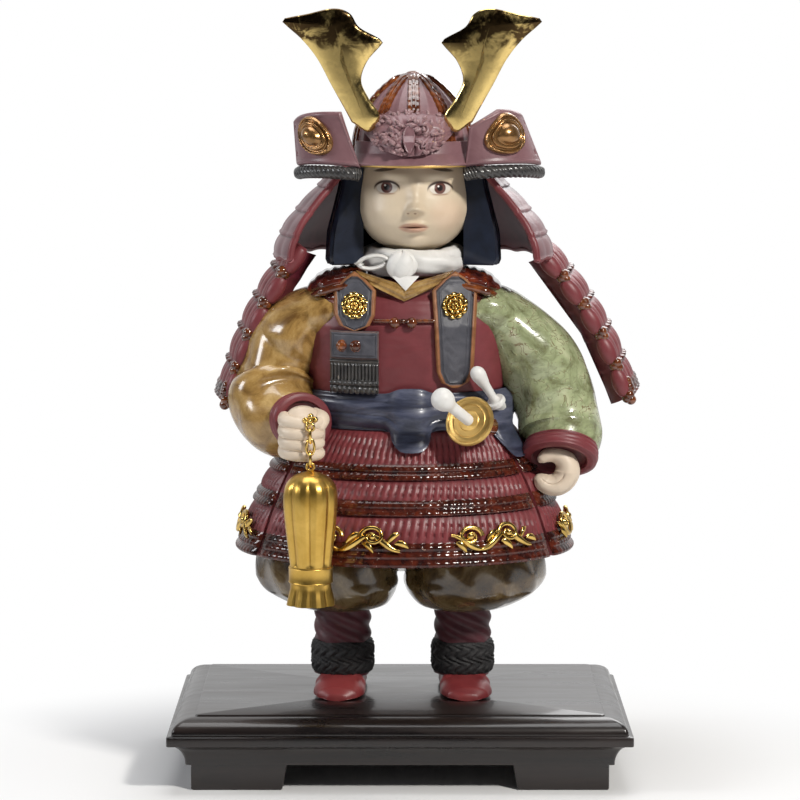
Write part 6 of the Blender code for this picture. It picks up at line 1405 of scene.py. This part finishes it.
def horn(side, mirror):
    """A blade: its smooth outline shrunk towards a spine in domed steps, so its face is bevelled."""
    corners = np.array(HORN_OUTLINE + HORN_OUTLINE[:1])
    outline = smooth_path(corners, 361)[:-1]
    sharp = np.array([np.interp(np.linspace(0, 18, 361)[:-1], np.arange(19), corners[:, axis])
                      for axis in (0, 1)]).T
    keep = (hill(np.linspace(0, 18, 361)[:-1], 6.5, 0.9, 4)
            + hill(np.linspace(0, 18, 361)[:-1], 12.5, 0.9, 4))
    outline = outline + (sharp - outline) * np.clip(keep, 0.0, 1.0)[:, None]
    spine_z = np.clip(outline[:, 1], 0.018, 0.074)
    stem_x = np.interp(spine_z, (0.015, 0.030, 0.041, 0.053, 0.064, 0.074),
                       (-0.0215, -0.0275, -0.0325, -0.0375, -0.0370, -0.0400))
    spine = np.stack((stem_x, spine_z), axis=-1)
    rings, heads = [], []
    for share, thick in ((0.0, 1.0), (0.35, 0.98), (0.62, 0.86), (0.80, 0.66), (0.92, 0.40), (0.985, 0.14),
                         (1.0, 0.0), (0.985, -0.14), (0.92, -0.40), (0.80, -0.66), (0.62, -0.86),
                         (0.35, -0.98), (0.0, -1.0)):
        ring = spine + (outline - spine) * max(share, 0.02)
        x = ring[:, 0] if not mirror else 0.015 - ring[:, 0]
        y = -0.0425 - thick * 0.0024 - ring[:, 1] * math.tan(math.radians(6.0)) + 0.004
        rings.append(np.stack((x, y, RIM + 0.0070 + ring[:, 1]), axis=-1))
        heads.append(step(ring[:, 1], 0.050, 0.066))
    piece("horn skin " + side, [closed(rings)], LOOKS["horn"], ["horn_" + side], "gilt",
          paint={"head": np.concatenate(heads)}, smooth=28.0)


def neck_guard():
    """Four flaring lames: reach grows by the sine of the level; ridges outside, dark lining inside."""
    open_side = math.radians(62.0)
    angle = np.linspace(open_side, TAU - open_side, 180)
    level = np.linspace(0.004, 0.998, 60)
    rows_out, rows_in = [], []
    for at in level:
        reach = 0.0110 + 0.040 * math.sin(at * math.pi / 2) ** 1.2
        local = (at * 4) % 1.0
        ridge = np.abs(np.cos(angle * 14)) ** 0.7
        out = (reach + 0.0009
               + 0.0020 * math.sin(min(local, 0.94) / 0.94 * math.pi * 0.9) ** 0.6 * (0.5 + 0.5 * ridge))
        out = out + 0.0012 * hill(local, 0.93, 0.07) * (0.5 + 0.5 * ridge)
        z = RIM - 0.004 - 0.060 * at
        scallop = 0.0012 * np.abs(np.sin(angle * 14)) * step(at, 0.95, 1.0)
        rows_out.append(plan(angle, HEAD_HALF_X + out, HEAD_HALF_Y + out, z + scallop, centre=(HEAD_X, 0.0)))
        rows_in.append(plan(angle, HEAD_HALF_X + reach - 0.0017, HEAD_HALF_Y + reach - 0.0017, z + scallop,
                            centre=(HEAD_X, 0.0)))
    rows_out, rows_in = np.array(rows_out), np.array(rows_in)
    middle = (rows_out + rows_in) / 2
    piece("neck guard skin", [sheeted(rows_out, middle)], LOOKS["mauve"], ["neck_guard"], "mauve_bisque")
    piece("neck guard lining", [sheeted((middle + (rows_in - middle) * 0.02)[::6], rows_in)],
          LOOKS["lining"], (), "mauve_bisque")
    edges, foot = [], rows_out[-1]
    for column in (0, -1):
        edges.append(closed(tube(middle[:, column], 0.0023, 0.0023, 24, up=(1.0, 0.2, 0.1))))
    edges.append(closed(tube((foot + rows_in[-1]) / 2, 0.0022, 0.0020, 20)))
    piece("neck guard rolled edge", edges, LOOKS["maroon"], (), "mauve_bisque")


def turnback(side):
    """A plate ruled between two bent edges, its boss of stepped beaded rings, and a roll of twisted cords."""
    name = "right" if side < 0 else "left"
    starts = (0.21, 0.43) if side < 0 else (0.12, 0.32)
    lean = -0.06 if side < 0 else 0.40
    low_z = RIM - 0.0065 if side < 0 else RIM - 0.0060

    def sheet(across, rise, offset):
        """A point of the plate at shares along and up it and a distance from its middle."""
        tall = 1.03 - 0.18 * across if side < 0 else np.interp(across, (0.0, 0.4, 1.0), (0.74, 1.0, 0.96))
        total = 0.0
        for edge, weight in ((0, 1.0 - rise), (1, rise)):
            share = starts[edge] + (1 - starts[edge]) * across
            turn = -0.75 + share * 2.25
            bend = np.where(turn < 0, 0.013, 0.036) + offset
            near = np.where(turn < 0, 0.023, 0.0)
            x = (HEAD_X + side * 0.037 + side * bend * np.sin(turn)
                 + side * lean * TURNBACK_HEIGHT * (0.5 - edge) * share)
            y = -0.0048 - near - bend * np.cos(turn)
            z = low_z + TURNBACK_HEIGHT * edge * tall + 0.002 * np.sin(across * math.pi) + 0.0 * offset
            total = total + np.stack(np.broadcast_arrays(x, y, z), axis=-1) * np.asarray(weight)[..., None]
        return total

    across = np.linspace(0.0, 1.0, 100)[None] * np.ones((56, 1))
    rise = np.linspace(0.0, 1.0, 56)[:, None] * np.ones((1, 100))
    to_edge = np.minimum(np.minimum(across, 1 - across) * TURNBACK_WIDTH,
                        np.minimum(rise, 1 - rise) * TURNBACK_HEIGHT)
    bead = 0.0005 * hill(to_edge, 0.0022, 0.0009) - 0.0010 * hill(to_edge, 0.0, 0.0006)
    holes = sum(hill(np.hypot((across - 0.90) * TURNBACK_WIDTH, (rise - at) * TURNBACK_HEIGHT), 0.0, 0.0013,
                     4) for at in (0.80, 0.24))
    outer = sheet(across, rise, 0.0017 + bead - 0.0024 * holes)
    inner = sheet(across, rise, -0.0017)
    piece("turnback skin " + name, [sheeted(outer, inner)], LOOKS["mauve"], ["turnback_" + name],
          "mauve_bisque")
    turn = turns(80)
    rings = []
    profile = smooth_path([(0.97, -0.0004), (1.0, 0.0012), (0.93, 0.0026), (0.86, 0.0030), (0.80, 0.0022),
                           (0.74, 0.0024), (0.70, 0.0038), (0.62, 0.0042), (0.56, 0.0036), (0.50, 0.0040),
                           (0.36, 0.0064), (0.16, 0.0078), (0.01, 0.0080)], 90)
    for reach, lift in profile:
        beads = 0.0007 * np.abs(np.cos(turn * 14)) ** 0.7 * float(hill(reach, 0.91, 0.06))
        along = 0.48 + 0.013 * reach * np.cos(turn) / 0.057
        high = 0.56 + 0.013 * reach * np.sin(turn) / TURNBACK_HEIGHT
        rings.append(sheet(along, high, 0.0017 + lift + beads))
    piece("boss skin " + name, [closed(rings)], LOOKS["brass"], ["turnback_%s_boss" % name], "brown_glaze")
    line = sheet(np.linspace(-0.01, 1.01, 160), np.zeros(160), 0.0) - (0.0, 0.0, 0.0045)
    angle = turns(36)[None]
    along = np.linspace(0.0, 1.0, 160)[:, None]
    round_end = np.clip(np.minimum(along, 1 - along) / 0.035, 0.02, 1.0) ** 0.5
    strand = np.abs(np.sin(2.0 * angle + along * 62.0)) ** 0.6
    swell = 0.0042 * (0.80 + 0.20 * strand) * round_end
    base = tube(line, 1.0, 1.0, 36)
    middle = base.mean(axis=1, keepdims=True)
    piece("braid skin " + name, [closed(middle + (base - middle) * swell[..., None])], LOOKS["braid"],
          ["turnback_%s_braid" % name], "slate_glaze")


# Swords, scrolls, chain and tassel


def unit(vector):
    """A vector of length one."""
    return np.asarray(vector) / np.linalg.norm(vector)


def swords():
    """Bone-white grips with rounded pommels, a round gold guard with fine rings and a dark sheath."""
    pommel, guard = np.array((0.0255, -0.0880, 0.2470)), np.array((0.0430, -0.0720, 0.2310))
    aim, length = unit(guard - pommel), float(np.linalg.norm(guard - pommel))
    profile = soft_profile([(-0.0056, 0.0004), (-0.0050, 0.0038), (-0.0030, 0.0060), (0.0000, 0.0070),
                            (0.0045, 0.0064), (0.0085, 0.0043), (0.0120, 0.0036), (length, 0.0035)], 80)
    profile[0, 1] = 0.0002
    piece("long grip skin", [closed(turned(pommel, aim, profile, 64))], LOOKS["white"], ["long_sword_grip"],
          "white_bisque")
    profile = [(-0.0016, 0.0020), (-0.0017, 0.0062), (-0.0011, 0.0068), (-0.0010, 0.0100),
               (-0.0015, 0.0106),
               (-0.0010, 0.0112), (-0.0010, 0.0136), (-0.0016, 0.0143), (-0.0016, 0.0152),
               (-0.0006, 0.0158), (0.0008, 0.0158), (0.0016, 0.0150), (0.0016, 0.0066), (0.0016, 0.0020)]
    piece("guard disc skin", [closed(turned(guard, unit((0.42, 0.84, -0.40)), profile, 140))],
          LOOKS["matt_gold"], ["long_sword_guard"], "gilt", smooth=40.0)
    out = guard + aim * 0.0019
    sheath_aim = unit((0.45, 0.88, -0.15))
    line = smooth_path([out, out + aim * 0.0030 + sheath_aim * 0.0020,
                        out + aim * 0.003 + sheath_aim * 0.022], 60)
    piece("long sheath skin", [closed(tube(line, 0.0061, 0.0061, 48))], LOOKS["brown"],
          ["long_sword_sheath"], "brown_glaze")
    pommel, guard = np.array((0.0489, -0.0530, 0.2576)), np.array((0.0594, -0.0440, 0.2407))
    aim, length = unit(guard - pommel), float(np.linalg.norm(guard - pommel))
    profile = soft_profile([(-0.0062, 0.0002), (-0.0052, 0.0026), (-0.0030, 0.0042), (0.0, 0.0048),
                            (0.0060, 0.0038), (0.0100, 0.0030), (length - 0.001, 0.0029), (length, 0.0058),
                            (length + 0.003, 0.0060), (length + 0.0032, 0.0040)], 90)
    tail = unit((0.22, 0.92, -0.32))
    rings = np.concatenate((turned(pommel, aim, profile, 56),
                            turned(guard, tail, [(0.0055, 0.0038), (0.0120, 0.0038), (0.0200, 0.0038)],
                                   56)))
    piece("short grip skin", [closed(rings)], LOOKS["white"], ["short_sword_grip"], "white_bisque")


def scroll(name, middle_phi):
    """Gilt foliage on the hem: a waving stem, two spiral curls and side leaves, all tapering tubes."""
    centre_z = SKIRT_HEM + 0.0155
    half_y = skirt_halves(centre_z)[1]

    def lay(across, rise, out=0.0):
        """A point laid on the skirt: across and up from the scroll's middle."""
        wide, deep = skirt_halves(centre_z + rise)
        phi = middle_phi + np.asarray(across) / half_y
        return plan(phi, wide + 0.0042 + out, deep + 0.0042 + out, centre_z + np.asarray(rise))

    parts = []
    share = np.linspace(-0.5, 0.5, 84)
    swell = 0.0010 + 0.0014 * np.abs(np.cos(share * math.pi * 3)) * (1 - (2 * share) ** 6)
    parts.append(closed(tube(lay(share * 0.044, 0.0045 * np.sin(share * TAU * 1.5)), swell * 0.8, swell,
                             20)))
    for place, way, high in ((-0.0125, 1, 0.0036), (0.0088, -1, 0.0042)):
        turn = np.linspace(0.0, 2.3 * TAU / 1.6, 56)
        size = 0.0062 * (1 - turn / turn[-1] * 0.82)
        swell = 0.0014 * (1 - 0.6 * turn / turn[-1]) + 0.0002
        parts.append(closed(tube(lay(place + way * size * np.cos(turn), high + size * np.sin(turn), 0.0010),
                                 swell, swell, 18)))
        parts.append(ball(lay(place, high, 0.0006), 0.0024, (1.0, 0.8, 1.0), 14, 18))
    for place, lean, reach in ((-0.0200, -0.9, 0.0075), (-0.0040, 0.7, 0.0085), (0.0040, -0.8, 0.0080),
                               (0.0160, 0.8, 0.0080), (0.0195, -0.4, 0.0070)):
        along = np.linspace(0.0, 1.0, 26)
        swell = 0.0019 * np.sin(np.clip(along, 0.06, 0.98) * math.pi) ** 0.7 + 0.0002
        parts.append(closed(tube(lay(place + reach * along * math.cos(lean), reach * along * math.sin(lean)
                                     + 0.0015 * np.sin(along * 3), 0.0004), swell * 0.6, swell, 16)))
    piece("scroll skin " + name, parts, LOOKS["gilt"], ["scroll_" + name], "gilt")


def link_part(centre, half, width, wire, turned_flat, sides=18, around=60):
    """An oval ring of round wire about a centre."""
    turn, part = turns(around)[None], turns(sides)[:, None]
    across = (width + wire * np.cos(part)) * np.sin(turn)
    up = (half + wire * np.cos(part)) * np.cos(turn)
    flat = wire * np.sin(part) + 0 * turn
    shape = (across, flat, up) if turned_flat else (flat, across, up)
    return closed(np.stack(shape, axis=-1) + np.array(centre), loop=True)


def chain_and_tassel():
    """Eye and stem with gold beads, three links, and a fluted tassel with a band and a flared skirt."""
    x0, y0, wire, eye = -0.0548, -0.0935, 0.00085, 0.0022
    low_eye, high_pivot, pitch = 0.2057, 0.2279, 0.0074
    eye_z = high_pivot + eye
    parts = [link_part((x0, y0, eye_z), eye, eye, wire, True)]
    stem_z = eye_z + eye + 0.0014
    parts.append(ball((x0, -0.0855, stem_z), 0.0026, (1.0, 2.9, 0.95)))
    for shift in ((-0.0030, -0.0895, 0.0002), (0.0028, -0.0893, 0.0006), (0.0002, -0.0900, 0.0026),
                  (-0.0012, -0.0905, -0.0014)):
        parts.append(ball((x0 + shift[0], shift[1], stem_z + shift[2]), 0.0019, rows=14, sides=20))
    piece("chain eye skin", parts, LOOKS["gilt"], ["chain_eye"], "chain_gilt")
    for number in range(3):
        middle = low_eye + 0.0048 + number * pitch
        piece("link skin %d" % (3 - number),
              [link_part((x0, y0, middle), 0.0048, 0.0024, wire, number % 2 == 1)],
              LOOKS["gilt"], ["chain_link_%d" % (3 - number)], "chain_gilt", body="chain")
    angle = turns(112)
    top = 0.2027
    band_top, band_low = top - 0.0585, top - 0.0685
    low = top - 0.0820
    rows = [(top + 0.0004, 0.10, 0.0), (top - 0.0006, 0.30, 0.0), (top - 0.0022, 0.56, 0.1),
            (top - 0.0055, 0.80, 0.45),
            (top - 0.0100, 0.95, 0.8), (top - 0.0170, 1.0, 1.0), (top - 0.0270, 0.97, 1.0),
            (top - 0.0380, 0.90, 1.0), (top - 0.0480, 0.83, 1.0), (band_top + 0.003, 0.775, 0.8),
            (band_top + 0.0003, 0.755, 0.1)]
    rows = list(map(tuple, smooth_path(rows, 80)))
    rows += [(band_top, 0.78, 0.0), (band_top - 0.0006, 0.80, 0.0), (band_top - 0.0012, 0.785, 0.0),
             (band_low + 0.0012, 0.785, 0.0), (band_low + 0.0006, 0.80, 0.0), (band_low, 0.78, 0.0),
             (band_low - 0.0002, 0.735, 0.0)]
    rows += list(map(tuple, smooth_path([(band_low - 0.0004, 0.735, 0.1), (band_low - 0.004, 0.765, 0.6),
                                         (band_low - 0.009, 0.84, 0.9), (low, 0.90, 1.0)], 30)))
    rows += [(low + 0.0004, 0.86, 0.9), (low + 0.0030, 0.60, 0.2), (low + 0.0040, 0.10, 0.0)]
    rings = []
    for z, share, fluted in rows:
        flute = np.abs(np.sin(angle * 4)) ** 0.8
        fine = 0.00012 * np.sin(angle * 32) * fluted
        reach = 0.0172 * share - 0.0016 * fluted * (1 - flute) + fine
        rings.append(plan(angle, reach, reach, z, centre=(x0, y0)))
    parts = [closed(rings), link_part((x0, y0, low_eye), eye, eye, wire, True)]
    piece("tassel skin", parts, LOOKS["tassel"], ["tassel"], "gilt", body="tassel", smooth=40.0)


# The room


def room():
    """A white floor that keeps the shadow, a world bright behind and dim in front, and soft lights."""
    mesh = bpy.data.meshes.new("floor")
    mesh.from_pydata([(-3, -3, 0), (3, -3, 0), (3, 3, 0), (-3, 3, 0)], [], [(0, 1, 2, 3)])
    floor = bpy.data.objects.new("floor", mesh)
    bpy.context.scene.collection.objects.link(floor)
    paper = bpy.data.materials.new("white floor")
    paper.use_nodes = True
    tree = paper.node_tree
    shader = tree.nodes["Principled BSDF"]
    shader.inputs["Base Color"].default_value = (0.80, 0.80, 0.80, 1.0)
    shader.inputs["Roughness"].default_value = 0.9
    shader.inputs["Specular IOR Level"].default_value = 0.0
    place = node(tree, "VectorMath", {"operation": "MULTIPLY"}, i0=node(tree, "TexCoord").outputs["Object"],
                 i1=(0.72, 1.0, 0.0)).outputs[0]
    far = node(tree, "VectorMath", {"operation": "LENGTH"}, i0=place).outputs["Value"]
    fade = node(tree, "MapRange", {"interpolation_type": "SMOOTHSTEP"}, Value=far, From_Min=0.12,
                From_Max=0.27, To_Min=0.0, To_Max=1.0).outputs["Result"]
    seen = node(tree, "LightPath").outputs["Is Camera Ray"]
    paper_white = node(tree, "Emission", Color=(1.0, 1.0, 1.0, 1.0), Strength=1.0)
    both = node(tree, "MixShader", i0=maths(tree, "MULTIPLY", fade, seen), i1=shader.outputs[0],
                i2=paper_white.outputs[0])
    tree.links.new(both.outputs[0], tree.nodes["Material Output"].inputs["Surface"])
    mesh.materials.append(paper)
    world = bpy.data.worlds.new("studio")
    bpy.context.scene.world = world
    world.use_nodes = True
    tree = world.node_tree
    for old in list(tree.nodes):
        tree.nodes.remove(old)
    path = node(tree, "LightPath")
    seen = maths(tree, "MAXIMUM", path.outputs["Is Camera Ray"], path.outputs["Is Transmission Ray"])
    white = node(tree, "Background", Color=(1.0, 1.0, 1.0, 1.0), Strength=1.0)
    behind = node(tree, "SeparateXYZ", Vector=node(tree, "TexCoord").outputs["Generated"]).outputs["Y"]
    mirrored = ramp(tree, behind, [(0.10, (0.035, 0.035, 0.038)), (0.85, (0.85, 0.85, 0.85))])
    sky = blend(tree, path.outputs["Is Glossy Ray"], (0.10, 0.10, 0.105), mirrored)
    dim = node(tree, "Background", Color=sky, Strength=1.0)
    mixed = node(tree, "MixShader", i0=seen, i1=dim.outputs[0], i2=white.outputs[0])
    node(tree, "OutputWorld", Surface=mixed.outputs[0])
    for name, spot, size, energy, warm in (("key", (0.85, -1.05, 1.25), 0.20, 24.0, (1.0, 0.97, 0.92)),
                                           ("window", (-1.35, -0.30, 0.85), 0.45, 8.5, (0.95, 0.97, 1.0)),
                                           ("top", (0.0, 0.15, 1.70), 0.90, 11.0, (1.0, 1.0, 1.0)),
                                           ("rim", (0.45, 1.10, 0.95), 0.60, 5.0, (1.0, 1.0, 1.0))):
        light = bpy.data.lights.new(name, "AREA")
        light.size = size
        light.energy = energy
        light.color = warm
        lamp = bpy.data.objects.new(name, light)
        lamp.location = spot
        toward = np.array((0.0, 0.0, 0.25)) - np.array(spot)
        lamp.rotation_euler = (math.acos(-toward[2] / np.linalg.norm(toward)), 0.0,
                               math.atan2(toward[1], toward[0]) - math.pi / 2)
        bpy.context.scene.collection.objects.link(lamp)
    view = bpy.data.cameras.new("camera")
    view.lens = 3019.1 / 800.0 * 36.0
    view.sensor_width = 36.0
    camera = bpy.data.objects.new("camera", view)
    camera.location = (-0.0020, -1.9119, 0.4728)
    camera.rotation_euler = (math.pi / 2 - 0.123, 0.0, 0.0)
    bpy.context.scene.collection.objects.link(camera)
    bpy.context.scene.camera = camera
    bpy.context.scene.view_settings.view_transform = "Standard"


plinth()
for side, centre_x, splay in (("right", LEG_X[0], math.radians(5.0)),
                              ("left", LEG_X[1], -math.radians(5.0))):
    shoe(side, centre_x, splay)
    leg(side, centre_x)
trousers()
side_middle = math.radians(58.0 + 4.0 + 33.0)
for name, middle, span in (("front", 0.0, math.radians(118.5)), ("left", side_middle, math.radians(67.5)),
                           ("back", math.pi, math.radians(97.5)),
                           ("right", -side_middle, math.radians(67.5))):
    skirt_panel(name, middle, span)
torso()
sash()
chest_plate("right", PLATE_RIGHT_X, 0.0275, 0.0360, 0.94)
chest_plate("left", PLATE_LEFT_X, 0.02915, 0.0720, 0.80)
flower("right", PLATE_RIGHT_X)
flower("left", PLATE_LEFT_X)
chest_block()
toggled_cord()
collar()
shoulder_yoke()
sleeve("right", RIGHT_PATH, RIGHT_HALF, "ochre", "ochre_glaze", 3.0)
sleeve("left", LEFT_PATH, LEFT_HALF, "green", "green_glaze", 2.5)
right_hand()
left_hand()
head()
hair()
scarf()
helmet_bowl()
helmet_visor()
helmet_crest()
horn("right", False)
horn("left", True)
neck_guard()
turnback(-1.0)
turnback(1.0)
shoulder_guard("left", (0.0880, 0.3300), (0.1440, 0.2360))
shoulder_guard("right", (-0.0600, 0.3340), (-0.1085, 0.2330))
swords()
for name, middle in (("front_right", -0.30), ("front_left", 0.55), ("side_left", 1.45),
                     ("side_right", -1.45)):
    scroll(name, middle)
chain_and_tassel()
room()
